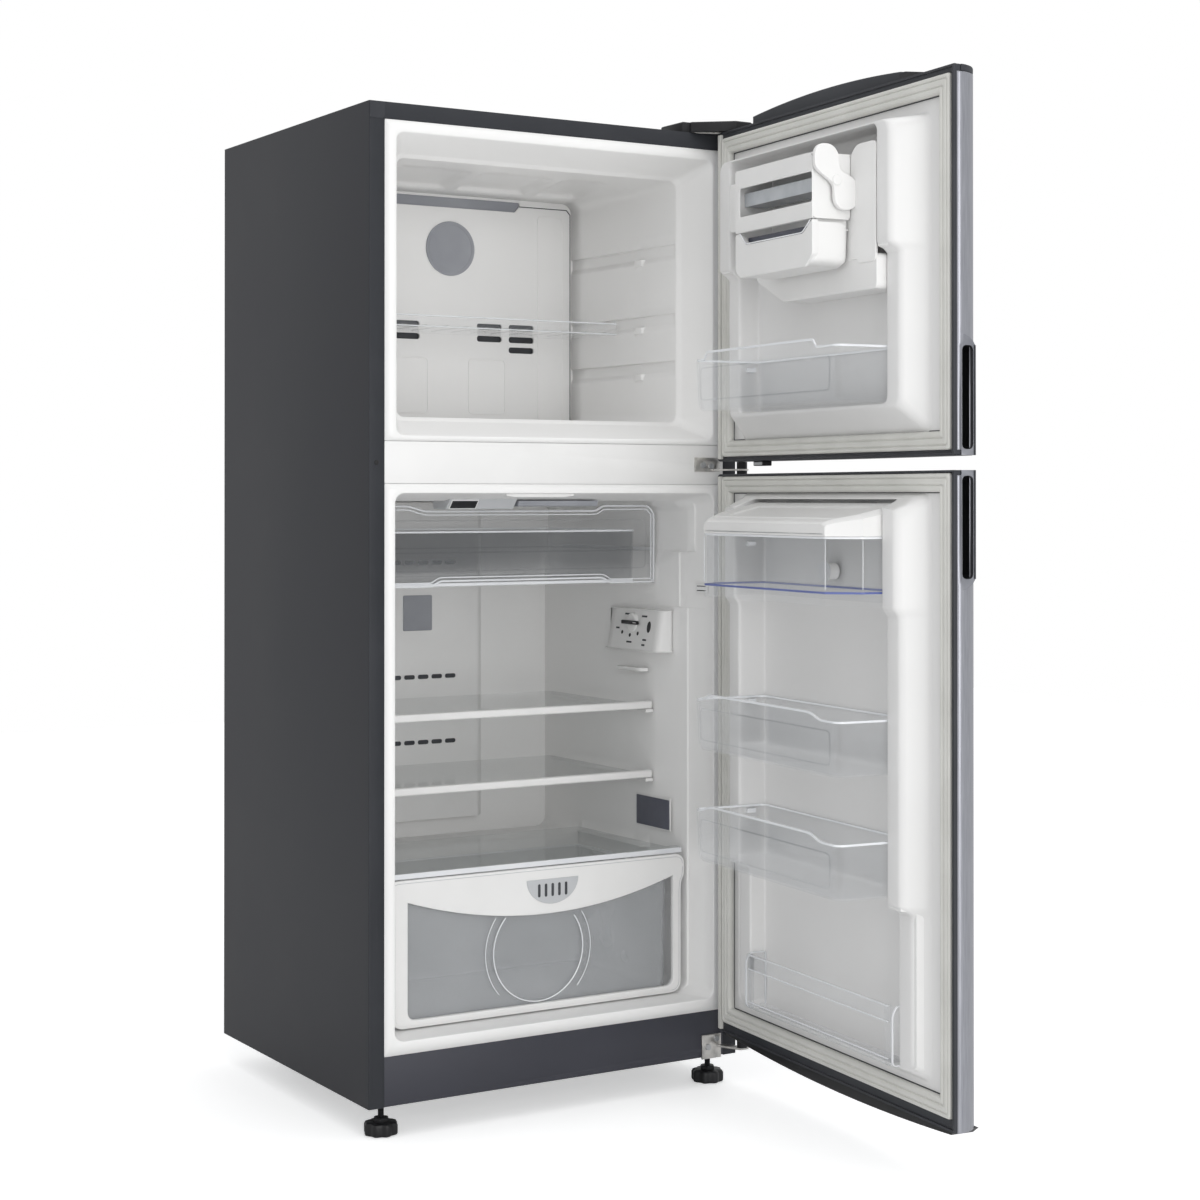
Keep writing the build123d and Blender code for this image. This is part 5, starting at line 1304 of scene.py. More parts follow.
        # Top and bottom edges of the clear rail in the highlight finish: painted highlight.
        shape.box((-258.5, 258.5), (241.6, 245.6), (1320.6, 1323.3), Ink.RIM, 1.0)
        shape.box((-258.5, 258.5), (241.8, 245.6), (1302.3, 1304.4), Ink.RIM, 0.9)
        rib = self.shape()
        rib.box((-0.8, 0.8), (250, 390), (1305.6, 1307.4), Ink.CLEAR, 0.4, 1)
        self.rows.repeat(rib, shape, (-240.0, 0.0, 0.0), (40.0, 0.0, 0.0), 13, Ink.CLEAR)
        self.finish(shape, "freezer_shelf_clear", "freezer_shelf")


@dataclass
class FridgeRoom(Room):
    """Fridge compartment: liner, duct, lamp, control, shelves and drawers."""

    lower: Outline = ((0.0, 304.0), (80.0, 286.0), (150.0, 281.5), (402.0, 274.5), (520.0, 270.5))
    upper: Outline = ((0.0, 304.0), (44.0, 291.0), (520.0, 277.0))
    lowest: Outline = ((0.0, 304.0), (62.0, 291.0), (150.0, 281.5), (520.0, 270.5))
    lean: float = 0.17
    ribs: Sequence[Point] = ((631.7, 637.7, 490.0), (509.7, 515.7, 490.0), (388.7, 392.7, 390.0))

    def build(self) -> None:
        """Make every piece of the compartment."""
        self.liner()
        self.duct()
        self.lamp()
        self.control()
        self.shelves()
        self.chiller()
        self.crisper()
        self.cover()
        self.label()

    def liner(self) -> None:
        """Vacuum-formed liner with its ledges and shelf ribs."""
        points = [
            (0, -322.9, 322.9, 129.6, 1031.7, 2),
            (0, -304, 304, 150, 1016.6, 16),
            (80, -286, 286, 150, 1004, 22),
            (150, -281.5, 281.5, 150, 1004, 20),
            (402, -274.5, 274.5, 150, 1003, 20),
            (402.5, -274.5, 274.5, 385, 1003, 20),
            (520, -270.5, 270.5, 385, 1002, 20),
        ]
        path = soften_path(points, [0, 3, 3, 10, 14, 10, 0])
        ends = around((44, 62, 80, 166, 390, 490), (-1.6, -0.8, 0, 0.8, 1.6))
        path = split_path(path, [*ends, 4, 8, *range(30, 520, 35)])
        heights = [rib[i] + e for rib in self.ribs for i in (0, 1) for e in (-1.5, -0.7, 0, 0.7, 1.5)]
        heights += around((818, 915), (-1.6, -0.8, 0, 0.8, 1.6)) + [882, 890, 898, 906]
        stations = (spread_out(-300, 300, 30), spread_out(150, 1010, 24, heights))
        shape = self.shape()
        # The fridge liner takes the brightened liner white: painted light.
        shape.tube(path, Ink.LINER, stations=stations, shift=self.relief, caps=(False, True))
        shape.turn()
        self.finish(shape, "fridge_liner_shell", "fridge_liner", angle=60, weighted=False, wall=LINER_WALL)

    def relief(self, spot: Spot) -> tuple[float, float]:
        """Wider upper zone, the step where the lead-in ends, and the ribs the shelves rest on.

        Args:
            spot: Point of the skin, as across, up and depth.

        Returns:
            tuple[float, float]: How far out, and zero along.
        """
        _, v, w, du, _ = spot
        if abs(du) < 0.9 or w < 1:
            return 0.0, 0.0
        half = along(w, self.lower)
        soft = 3.2 + 30.0 * step_up(w, 130, 60)
        out = max(0.0, along(w, self.upper) - half) * step_up(v, 916.6 - soft / 2, soft)
        out += max(0.0, along(w, self.lowest) - half) * (1 - step_up(v, 818, 3.2))
        high, low = step_up(v, 915, 3.2), 1 - step_up(v, 818, 3.2)
        edge = 80 - 36 * high - 18 * low
        out += 2.4 * step_up(w, 5, 8) * (1 - step_up(w, edge, 2.4))
        for low, high, rear in self.ribs:
            out -= (half - 263) * hump(v, low, high, 2.2) * hump(w, 168, rear, 4)
        return out, 0.0

    def duct(self) -> None:
        """Rear air duct with slots and a bare square badge."""
        shape = self.shape()
        plan = rounded([(-132, 519.5), (-116, 500.5), (116, 500.5), (132, 519.5)], 5)
        shape.plate(plan, (416, 1001), Ink.MOULDED, Axis.UP, bevel=2.0)
        slot = rect((-11, 11), (-4, 4), 4, 4)
        dark, rim = self.shape(), self.shape()
        dark.plate(slot, (499.6, 501.5), Ink.SHADOW, bevel=0.3)
        rim.plate(rect((-12.5, 12.5), (-5.5, 5.5), 5.5, 4), (499.2, 501.5), Ink.MOULDED, holes=[slot],
                  bevel=0.3)
        for z in (890.0, 680.0, 560.0):
            for unit, ink in ((dark, Ink.SHADOW), (rim, Ink.MOULDED)):
                self.rows.repeat(unit, shape, (-56.0, 0.0, z), (28.0, 0.0, 0.0), 5, ink)
        shape.plate(rect((-41, 18), (765, 830), 3), (498.6, 501.5), Ink.BADGE, bevel=0.8)
        shape.plate(rect((-38, 15), (768, 827), 2), (498.2, 500), Ink.BADGE,
                    holes=[rect((-37, 14), (769, 826), 2)], bevel=0.2)
        self.finish(shape, "fridge_air_duct", "air_duct_cover")

    def lamp(self) -> None:
        """Frosted lamp cover with its lip, and the slanted housing with a small framed window beside it."""
        shape = self.shape()
        lip = soften_path([(62, 1004.4), (64, 994.8), (90, 994.8), (152, 998.5), (159, 1003.4)],
                          [0, 4, 8, 6, 0])
        # The frosted lamp cover is painted grey for the shade under the ceiling: painted shade.
        shape.plate([*(tuple(point) for point in lip), (80, 1003.8)], (-46, 109), Ink.BADGE, Axis.ACROSS,
                    bevel=1.0)
        edge = [(-100, 1016), (-99, 1012.6), (-82, 1010.2), (12, 1010.2), (29, 1012.6), (30, 1016)]
        shape.plate(rounded(edge, 2.5), (7.6, 62), Ink.MOULDED, bevel=1.0)
        housing = [(58, 1008), (74, 990.4), (118, 990.4), (122, 1004.2)]
        shape.plate(rounded(housing, 2), (-176, -50), Ink.SHADE, Axis.ACROSS, bevel=0.6)
        # A pale frame round a black inside; the black stands for the shade in the small window: painted
        # shade.
        for inset, drop, ink in ((0.0, 0.9, Ink.MOULDED), (1.8, 1.4, Ink.BLACK)):
            frame = rect((-172 + inset, -122 - inset), (0.1 + inset / 24, 0.9 - inset / 24))
            shape.skin([[(x, 58 + 16 * t - rise, 1008 - 17.6 * t - rise) for x, t in frame]
                        for rise in (-0.6, drop)],
                       ink, (True, True))
        self.finish(shape, "fridge_lamp_cover", "lamp_cover")

    def control(self) -> None:
        """Temperature control: faceted housing, dial with bare marks, knob and the stub below."""
        shape = self.shape()
        plan = [(285, 97), (263, 104), (259.5, 114), (267, 268), (272, 288), (284, 294)]
        levels = ((738.3, 3.6), (739.2, 1.6), (741.4, 0.0), (808.6, 0.0), (810.8, 1.6), (811.7, 3.6))
        shape.skin([[(x + (z - 775) * self.lean * (x < 275), n, z)
                     for x, n in shrunk(rounded(plan, 7), inset)]
                    for z, inset in levels], Ink.MOULDED, (True, True))
        dots = ((232, 768), (203, 764), (176, 768))
        marks = [(arc_points(centre, 3.3, 0, 330, 11), Ink.BLACK) for centre in dots]
        marks.append(([(140 + 6.2 * math.cos(math.radians(a)), 781 + 10.0 * math.sin(math.radians(a)))
                       for a in range(0, 360, 18)], Ink.BLACK))
        for n, z, wide in ((222, 801, 8), (160, 799, 9), (250, 775, 6), (203, 752, 9), (150, 758, 6),
                           (152, 749, 5)):
            marks.append((rect((n - wide, n + wide), (z - 1.5, z + 1.5)), Ink.SHADOW))
        for outline, ink in marks:
            shape.skin([[(self.face(n, z) - rise, n, z) for n, z in outline] for rise in (-0.5, 0.5)], ink,
                       (True, True))
        self.finish(shape, "temperature_housing", "control_box")
        knob = self.shape()
        profile = [(17, 6.0), (17.5, -2), (16.5, -4), (15, -5), (10, -5.4)]
        knob.lathe(profile, (198, 787, 266), Axis.ACROSS, Ink.MOULDED, 40)
        knob.box((255.6, 262), (172, 224), (783.6, 790.4), Ink.BLACK, 1.8, 3)
        knob.box((255.3, 256.2), (174, 184), (786.5, 787.7), Ink.MOULDED, 0.3)
        self.finish(knob, "temperature_dial", "control_knob")
        stub = self.shape()
        stub.plate(rounded([(276, 161), (262, 166), (258, 174), (258, 240), (262, 249), (276, 252)], 5),
                   (701, 707.5), Ink.MOULDED, Axis.UP, bevel=1.6)
        self.finish(stub, "control_support", "fridge_liner", stands=False)

    def face(self, n: float, z: float) -> float:
        """How far across the control's leaning face stands."""
        return along(n, ((114.0, 259.5), (268.0, 267.0))) + (z - 775) * self.lean

    def shelves(self) -> None:
        """Two glass shelves with bright-edged trims and the supports under them."""
        for index, z in ((0, 638.0), (1, 516.0)):
            name = ("upper", "lower")[index]
            glass = self.shape()
            glass.box((-269, 269), (157, 495), (z + 0.2, z + 4.8), Ink.GLASS, 0.8)
            self.finish(glass, f"{name}_glass_plate", f"{name}_shelf_glass")
            trim = self.shape()
            trim.box((-276.5, 276.5), (150.2, 163.5), (z - 1.8, z + 11.6), Ink.MOULDED, 3.4, 3)
            trim.box((-269, 269), (161, 168), (z + 4.9, z + 6.6), Ink.MOULDED, 0.6)
            self.finish(trim, f"{name}_shelf_front", f"{name}_shelf_trim")
            for side in (-1, 1):
                ledge = self.shape()
                ledge.box(between(side * 263, side * 279), (152, 182), (z - 9, z - 2.4), Ink.MOULDED, 2.0)
                self.finish(ledge, f"{name}_shelf_ledge_{side + 1}", "fridge_liner", stands=False)

    def chiller(self) -> None:
        """Clear chiller drawer with painted-highlight edges and a dipped front."""
        half = 280.0
        front = rounded([
            (-half, 859.3), (-160, 859.3), (-147, 868), (173, 868), (186, 859.3), (half - 4, 859.3),
            (half, 863), (half, 983), (half - 14, 996.6), (172, 996.6), (159, 988), (-175, 988),
            (-205, 996.6), (-half, 996.6),
        ], 6, 3)
        shape = self.shape()
        shape.plate(front, (150.2, 152.8), Ink.CLEAR, bevel=0.6)
        # Edge bands of the clear front in the highlight finish: painted highlight.
        shape.plate(front, (149.7, 153.6), Ink.RIM, holes=[shrunk(front, 3.4)], bevel=0.8)
        shape.plate(shrunk(front, 7.0), (149.9, 151.4), Ink.RIM, holes=[shrunk(front, 8.6)], bevel=0.3)
        shape.box((-236, 236), (150.4, 158), (860.4, 866.4), Ink.RIM, 1.6)
        lane = rect((-262, 262), (885, 972), 12)
        shape.plate(lane, (149.6, 150.8), Ink.CLEAR, holes=[shrunk(lane, 2.4)], bevel=0.4)
        walls = [(864.5, -236, 236, 156, 466, 16), (866, -244, 244, 154, 469, 18),
                 (953, -246, 246, 153.4, 469.8, 18)]
        self.tub(shape, walls, 2.4, 3.0)
        lip = rounded([(-285, 156), (285, 156), (276, 469), (-276, 469)], 5)
        shape.plate(lip, (915.6, 918), Ink.CLEAR, Axis.UP, holes=[rect((-247, 247), (156.5, 466), 12)],
                    bevel=0.6)
        # Side runners in the highlight finish: painted highlight.
        for side in (-1, 1):
            shape.box(between(side * 276, side * 284), (158, 466), (915.4, 921.5), Ink.RIM, 1.2)
        self.finish(shape, "chiller_drawer_clear", "chiller_drawer")

    def crisper(self) -> None:
        """Crisper: milky tub, white frame with its window, and the half-moon slide."""
        tub = self.shape()
        walls = [(150.6, -248, 248, 88, 380, 20), (154, -262, 262, 76, 390, 24),
                 (366.6, -263.5, 263.5, 74, 391.5, 24)]
        self.tub(tub, walls, 2.4, 3.0, ink=Ink.MILKY)
        # Side lips of the clear tub in the highlight finish: painted highlight.
        for side in (-1, 1):
            tub.box(between(side * 263, side * 269.6), (76, 390), (363.8, 366.8), Ink.RIM, 1.0)
        self.finish(tub, "crisper_tub_clear", "crisper_tub")
        self.crisper_frame()
        self.moon()

    def swoop(self) -> list[Flat]:
        """Lower edge of the crisper's curved top band, from left to right."""
        return [(-250 + 512 * i / 40, 355 - 42 * (1 - ((i - 20) / 20) ** 2)) for i in range(41)]

    def crisper_frame(self) -> None:
        """White frame with its window, its clear pane and the round relief in it, drawn as painted highlight
        lines.
        """
        half = [(278, 152.4), (278, 344), (285.5, 353), (285.5, 391.5)]
        outline = rounded([*half, *[(-x, z) for x, z in reversed(half)]], 22, 8)
        swoop = self.swoop()
        sill = [tuple(p)
                for p in soften_path([swoop[0], (-250, 165), (262, 165), swoop[-1]], [0, 16, 16, 0], 6)]
        window = [*sill, *reversed(swoop[1:-1])]
        shape = self.shape()
        shape.plate(outline, (62.3, 71.4), Ink.MOULDED, holes=[window], bevel=2.2)
        shape.plate(shrunk(window, -1.5), (68.2, 70.6), Ink.CLEAR)
        groove = shrunk(outline, 4.0)
        shape.plate(groove, (62.0, 62.6), Ink.SHADE, holes=[shrunk(groove, 0.9)])
        # The round relief is drawn as bright lines: painted highlight.
        for radius, width, start, end in ((86, 1.1, 118, 422), (101, 0.7, 118, 222), (101, 0.7, 318, 422)):
            ring = [(x, 67.8, z)
                    for x, z in arc_points((-4, 254), radius, start, end, 48) if z < along(x, swoop) - 3]
            shape.rope(ring, width, Ink.RIM, 8)
        self.finish(shape, "crisper_frame", "crisper_front")

    def moon(self) -> None:
        """Grey half-moon slide with five slits."""
        edge = [(19.5 + 50 * math.cos(math.radians(a)), 371.5 + 42 * math.sin(math.radians(a)))
                for a in range(180, 361, 9)]
        shape = self.shape()
        slits = [rect((x - 2.6, x + 2.6), (342, 364), 2.6, 3) for x in (-6.5, 6.5, 19.5, 32.5, 45.5)]
        shape.plate(edge, (60.9, 62.2), Ink.SHADE, holes=slits, bevel=0.4)
        shape.plate(shrunk(edge, 1.2), (61.7, 62.6), Ink.SHADOW, bevel=0.2)
        self.finish(shape, "humidity_moon", "humidity_slide")

    def cover(self) -> None:
        """Clear crisper cover with its thick front edge and corner clips."""
        shape = self.shape()
        plan = rounded([(-282, 66.4), (282, 66.4), (278.5, 160), (273, 398), (-273, 398), (-278.5, 160)], 4)
        shape.plate(plan, (393.2, 397.6), Ink.GLASS, Axis.UP, bevel=0.8)
        # Thick front edge of the clear cover in the highlight finish: painted highlight.
        shape.box((-281.6, 281.6), (65.8, 70.5), (393, 401.8), Ink.RIM, 1.4)
        for side in (-1, 1):
            shape.box(between(side * 262, side * 281), (67, 84), (396, 403.5), Ink.CLEAR, 1.8)
        self.finish(shape, "crisper_cover_clear", "crisper_cover")

    def label(self) -> None:
        """Bare dark plate with a pale border on the right wall."""
        shape = self.shape()
        x = 279.5
        shape.plate(rect((98, 210), (424, 482), 2), (x - 0.5, x + 1.5), Ink.MOULDED, Axis.ACROSS, bevel=0.3)
        shape.plate(rect((101, 207), (427, 479), 2), (x - 1.0, x), Ink.PLATE, Axis.ACROSS, bevel=0.2)
        for frame, rise, ink in ((rect((14, 40), (844, 861), 2), 1.2, Ink.MOULDED),
                                 (rect((17, 37), (855.6, 857.2)), 1.5, Ink.SHADOW),
                                 (rect((17, 37), (848, 849.6)), 1.5, Ink.SHADOW)):
            shape.skin([[(along(n, self.lower) - lift, n, z) for n, z in frame] for lift in (-1.0, rise)],
                       ink, (True, True))
        self.finish(shape, "wall_plate", "fridge_liner", stands=False)


@dataclass
class Door(Room):
    """One door: skin, edge frame, seal, liner, end caps and handle. Drawn closed, swung open."""

    side: ClassVar[Side] = Side.DOOR
    name: ClassVar[str] = ""
    low: float = 0.0
    high: float = 0.0
    skin_low: float = 0.0
    skin_high: float = 0.0
    border_low: float = 0.0
    border_high: float = 0.0
    foot: Span = (0.0, 0.0)
    crest: Span = (0.0, 0.0)
    pocket: Span = (0.0, 0.0)
    floor: float = -8.0
    handle: Span = (0.0, 0.0)
    slot: Span = (0.0, 0.0)
    taper: int = 1
    half: float = 350.0
    pocket_half: float = 221.0
    gap: float = 0.3
    seal_edge: float = 11.6
    seal_width: float = 27.2
    bow: float = 76.0

    def build(self) -> None:
        """Make every piece of the door."""
        self.skin()
        self.frame()
        self.seal()
        self.liner()
        self.caps()
        self.grip()
        self.fittings()

    def rise(self, v: float, dv: float) -> float:
        """Height of the liner's raised frame."""
        raise NotImplementedError

    def caps(self) -> None:
        """End caps of the door."""
        raise NotImplementedError

    def fittings(self) -> None:
        """What hangs in the door."""
        raise NotImplementedError

    def plan(self, inset: float, back: float) -> list[Flat]:
        """Outline of the bowed door seen from above.

        Args:
            inset: How far it is shrunk.
            back: Its back before the cabinet's face.

        Returns:
            list[Flat]: The outline, from the free edge round the front to the hinge edge.
        """
        half = self.half - inset
        free = [(-half, -back), (-half, -13.9), (-half, -20)]
        free += self.bend((-half, -20), (-self.half + 9 + 0.8 * inset, -38 + 0.6 * inset),
                          (-self.half + 34 + 0.35 * inset, -56 + inset), 8)
        front = self.bend((-self.half + 34 + 0.35 * inset, -56 + inset), (0, -self.bow + inset),
                          (self.half - 10 - 0.4 * inset, -56 + inset), 32)
        hinge = [(self.half - 6 - 0.4 * inset, -54 + inset), (half, -46 + 0.4 * inset), (half, -back)]
        return [*free, *front, *hinge]

    def bend(self, start: Flat, middle: Flat, end: Flat, steps: int) -> list[Flat]:
        """Arc through three points, without its first point.

        Args:
            start: First point.
            middle: A point on the arc.
            end: Last point.
            steps: Pieces.

        Returns:
            list[Flat]: The points.
        """
        (ax, ay), (bx, by), (cx, cy) = start, middle, end
        d = 2 * (ax * (by - cy) + bx * (cy - ay) + cx * (ay - by))
        ux = ((ax**2 + ay**2) * (by - cy) + (bx**2 + by**2) * (cy - ay) + (cx**2 + cy**2) * (ay - by)) / d
        uy = ((ax**2 + ay**2) * (cx - bx) + (bx**2 + by**2) * (ax - cx) + (cx**2 + cy**2) * (bx - ax)) / d
        radius = math.dist((ux, uy), start)
        first, last = (math.degrees(math.atan2(p[1] - uy, p[0] - ux)) for p in (start, end))
        if last < first:
            last += 360
        return arc_points((ux, uy), radius, first, last, steps)[1:]

    def skin(self) -> None:
        """Bent steel front, open where the handle insert sits."""
        path = self.plan(0, 6.5)
        low, high = self.skin_low, self.skin_high
        opening = (max(self.socket()[0], low), min(self.socket()[1], high))
        levels = sorted({low, low + 1.2, high - 1.2, high, *opening, *spread_out(low, high, 80)})
        shape = self.shape()
        verts = [(x, n, z) for z in levels for x, n in path]
        count = len(path)
        faces = []
        for row, (z0, z1) in enumerate(zip(levels, levels[1:])):
            for i in range(count - 1):
                inside = opening[0] - 0.1 <= z0 and z1 <= opening[1] + 0.1
                if inside and path[i][0] < -330 and path[i][1] < -13 and path[i + 1][1] > -37:
                    continue
                a, b = row * count + i, (row + 1) * count + i
                faces.append((a, a + 1, b + 1, b))
        shape.add(verts, faces, Ink.SILVER)
        self.finish(shape, f"{self.name}_door_front", f"{self.name}_door_skin", wall=1.0, weighted=False)

    def frame(self) -> None:
        """Edge frame between the skin and the seal."""
        low, high = self.low, self.high
        inner = (low + self.border_low, high - self.border_high)
        levels = [
            (-13.4, -340, 340, *inner, 3), (-6.2, -340, 340, *inner, 3),
            (-6.2, -344.4, 344.4, low + 3.5, high - 3.5, 3), (-0.9, -344.4, 344.4, low + 3.5, high - 3.5, 3),
            (-0.9, -349.9, 349.9, low, high, 3), (-6.3, -349.9, 349.9, low, high, 3),
            (-6.3, -348.8, 348.8, low + 0.1, high - 0.1, 3), (-13.4, -348.8, 348.8, low + 0.1, high - 0.1, 3),
        ]
        path = soften_path(levels, [0, 0.6, 0.6, 0.9, 1.2, 0.9, 0, 0], 3)
        shape = self.shape()
        shape.tube([*path, path[0]], Ink.CAP, shift=self.ends)
        shape.box((340.3, 349.5), (-6.6, -0.75), (low + 4, high - 4), Ink.SEAL, 0.8)
        self.finish(shape, f"{self.name}_edge_frame", f"{self.name}_door_frame")

    def ends(self, spot: Spot) -> tuple[float, float]:
        """Lower the frame's lip at the door's two ends."""
        return 0.0, -2.6 * abs(spot.dv) * max(0.0, (spot.w + 6.2) / 5.3)

    def seal(self) -> None:
        """Ribbed magnetic seal."""
        profile = [(-11.3, 0.3), (-5, 0), (-2.2, 0.5), (-0.8, 2.4), (-0.6, 4.6), (-1.6, 6.0), (-3.2, 6.8),
                   (-1.6, 7.8), (-0.6, 9.2), (-0.6, 14.2), (-1.4, 15.8), (-3.4, 17.2), (-1.6, 18.6),
                   (-0.7, 20.2), (-0.7, 23.4), (-1.9, 25.6), (-4.6, 27.0), (-8, 27.4), (-11.3, 27.0)]
        low, high = self.low + self.border_low + 0.6, self.high - self.border_high - 0.4
        levels = []
        for n, inset in profile:
            half = self.half - self.seal_edge - inset
            levels.append((n, -half, half, low + inset, high - inset, max(6 - inset / 6, 2)))
        path = soften_path(levels, [0, *([0.9] * (len(levels) - 2)), 0], 2)
        shape = self.shape()
        shape.tube([*path, path[0]], Ink.SEAL)
        half = self.half - self.seal_edge - self.seal_width
        shade = rect((-half, half), (low + self.seal_width, high - self.seal_width), 2.0)
        shape.plate(shade, (-11.5, -11.1), Ink.SHADOW, holes=[shrunk(shade, 1.8)])
        self.finish(shape, f"{self.name}_seal", f"{self.name}_gasket", angle=50)

    def liner(self) -> None:
        """Vacuum-formed liner: flat border, raised frame and pocket."""
        half = self.pocket_half
        levels = [
            (-11.5, -339.6, 339.6, self.low + self.border_low + 0.4, self.high - self.border_high - 0.4, 3),
            (-11.5, -278, 278, *self.foot, 14),
            (30, -258, 258, *self.crest, 18),
            (30, -half, half, *self.pocket, 12),
            (self.floor, -half, half, *self.pocket, 12),
        ]
        path = soften_path(levels, [0, 7, 12, 7, 0], 5)
        path = path[:-1]
        depth = spread_out(self.floor + 8, path[-1][0] - 0.5, 8) if path[-1][0] > self.floor + 9 else []
        path += [[n, -half, half, *self.pocket, 12] for n in reversed(depth)]
        path += soften_path([(self.floor + 8, -half, half, *self.pocket, 12),
                             (self.floor, -half, half, *self.pocket, 12),
                             (self.floor, -half + 20, half - 20, self.pocket[0] + 20,
                              self.pocket[1] - 20, 4)],
                            [0, 7.9, 0], 4)
        stations = (spread_out(-250, 250, 50),
                    spread_out(self.pocket[0] + 12, self.pocket[1] - 12, 30, self.marks()))
        shape = self.shape()
        # The door liner takes the darker copy of the liner white: painted shade.
        shape.tube(path, Ink.DOOR, stations=stations, shift=self.relief, caps=(False, True))
        self.finish(shape, f"{self.name}_door_liner_shell", f"{self.name}_door_liner", angle=60,
                    weighted=False, wall=LINER_WALL)

    def marks(self) -> list[float]:
        """Heights at which the raised frame changes."""
        raise NotImplementedError

    def relief(self, spot: Spot) -> tuple[float, float]:
        """Raise or lower the liner's frame."""
        share = min(max((spot.w + 11.5) / 41.5, 0.0), 1.0)
        return 0.0, (self.rise(spot.v, spot.dv) - 30.0) * share

    def slab(self, shape: Shape, z: Span, ink: Ink, back: float = 13.8, bevel: float = 2.0) -> None:
        """Flat end cap that follows the door's plan."""
        outline = [p for p in self.plan(0, back) if p[1] <= -back + 0.01 or abs(p[0]) < 349.9]
        shape.plate(outline, z, ink, Axis.UP, bevel=bevel)

    def socket(self) -> Span:
        """Part of the handle's span in which the skin is open."""
        low, high = self.handle
        return (low, high - 17.0) if self.taper > 0 else (low + 17.0, high)

    def grip(self) -> None:
        """Handle insert in the free edge: strip that tapers at one end, dark slot and outer lip."""
        low, high = self.socket()
        x, up = -self.half, self.taper
        blunt, tip = self.handle[::up]
        start = tip - 17.0 * up
        slot_low, slot_high = self.slot
        shape = self.shape()
        slot = rect((-34.6, -15.0), (slot_low, slot_high), 8.5, 6)
        end = [(-13.9, tip), (-20, tip - up), (-28, tip - 5 * up), (-34, tip - 10.5 * up), (-38.2, start)]
        face = [(-38.2, blunt), (-13.9, blunt), *end][::up]
        shape.plate(face, (x - 0.5, x + 3), Ink.TRIM, Axis.ACROSS, holes=[slot], bevel=0.6)
        shape.plate([(-37.9, start), (-14.2, start), *[(n + 0.3, z - 0.3 * up) for n, z in end[:-1]]][::up],
                    (x + 2.6, x + 14), Ink.TRIM, Axis.ACROSS)
        shape.tube([(x + 1, -34.6, -15.0, slot_low, slot_high, 8.5),
                    (x + 34, -34.6, -15.0, slot_low, slot_high, 8.5)],
                   Ink.BLACK, Axis.ACROSS, caps=(False, True))
        shape.tube([(x + 2, -38.2, -13.9, low, high, 1), (x + 39.5, -38.2, -13.9, low, high, 1)], Ink.CAP,
                   Axis.ACROSS, caps=(False, True))
        lip = rounded([(x - 2.4, -37), (x - 2.2, -35.2), (x + 2, -34.9), (x + 2, -38.4), (x - 1, -38.4)], 0.8,
                      3)
        shape.plate(lip, between(blunt, start), Ink.CAP, Axis.UP, bevel=0.4)
        # Bright line along the slot's edge: painted highlight.
        shape.rope([(x + 0.2, -14.6, z) for z in spread_out(slot_low + 4, slot_high - 4, 20)], 0.55, Ink.RIM)
        self.finish(shape, f"{self.name}_grip", f"{self.name}_handle")

    def bin(self, name: str, node: str, z: Span, rise: float, lug: float, slope: float) -> None:
        """Clear bin with a raised front edge.

        Args:
            name: Piece name.
            node: CAD node it stands for.
            z: Its bottom and its rim.
            rise: How much higher its front is in the middle.
            lug: Top of the lugs it hangs on.
            slope: Length over which the raised front comes down.
        """
        low, high = z
        half = self.pocket_half - self.gap
        back = self.floor + self.gap
        middle = (-half + 64, half - 39)

        def shift(spot: Spot) -> tuple[float, float]:
            """Raise the middle of the front edge."""
            share = min(max((spot.w - low) / (high - low), 0.0), 1.0)
            return 0.0, rise * share * hump(spot.u, *middle, slope) * (1.0 if spot.dv > 0.9 else 0.0)

        walls = [(low, -half + 8, half - 8, back + 4, 108, 14),
                 (low + 6, -half + 3, half - 3, back + 1, 112.5, 14), (high, -half, half, back, 115, 14)]
        flanks = [edge + share * slope for edge in middle for share in (-0.5, -0.25, 0, 0.25, 0.5)]
        stations = (spread_out(-200, 200, 40, flanks), ())
        shape = self.shape()
        self.tub(shape, walls, 2.4, 3.2, shift, stations)
        band = rect((-half + 20, half - 20), (low + 16, high - 14), 12)
        shape.plate(band, (113.6, 114.9), Ink.CLEAR, holes=[shrunk(band, 2.2)], bevel=0.4)
        # Lugs of the clear bin in the highlight finish: painted highlight.
        for end in (-1, 1):
            shape.box(between(end * (half - 7), end * half), (1.6, 17), (lug + 0.4, min(high, lug + 8)),
                      Ink.RIM, 1.0)
        self.finish(shape, name, node)


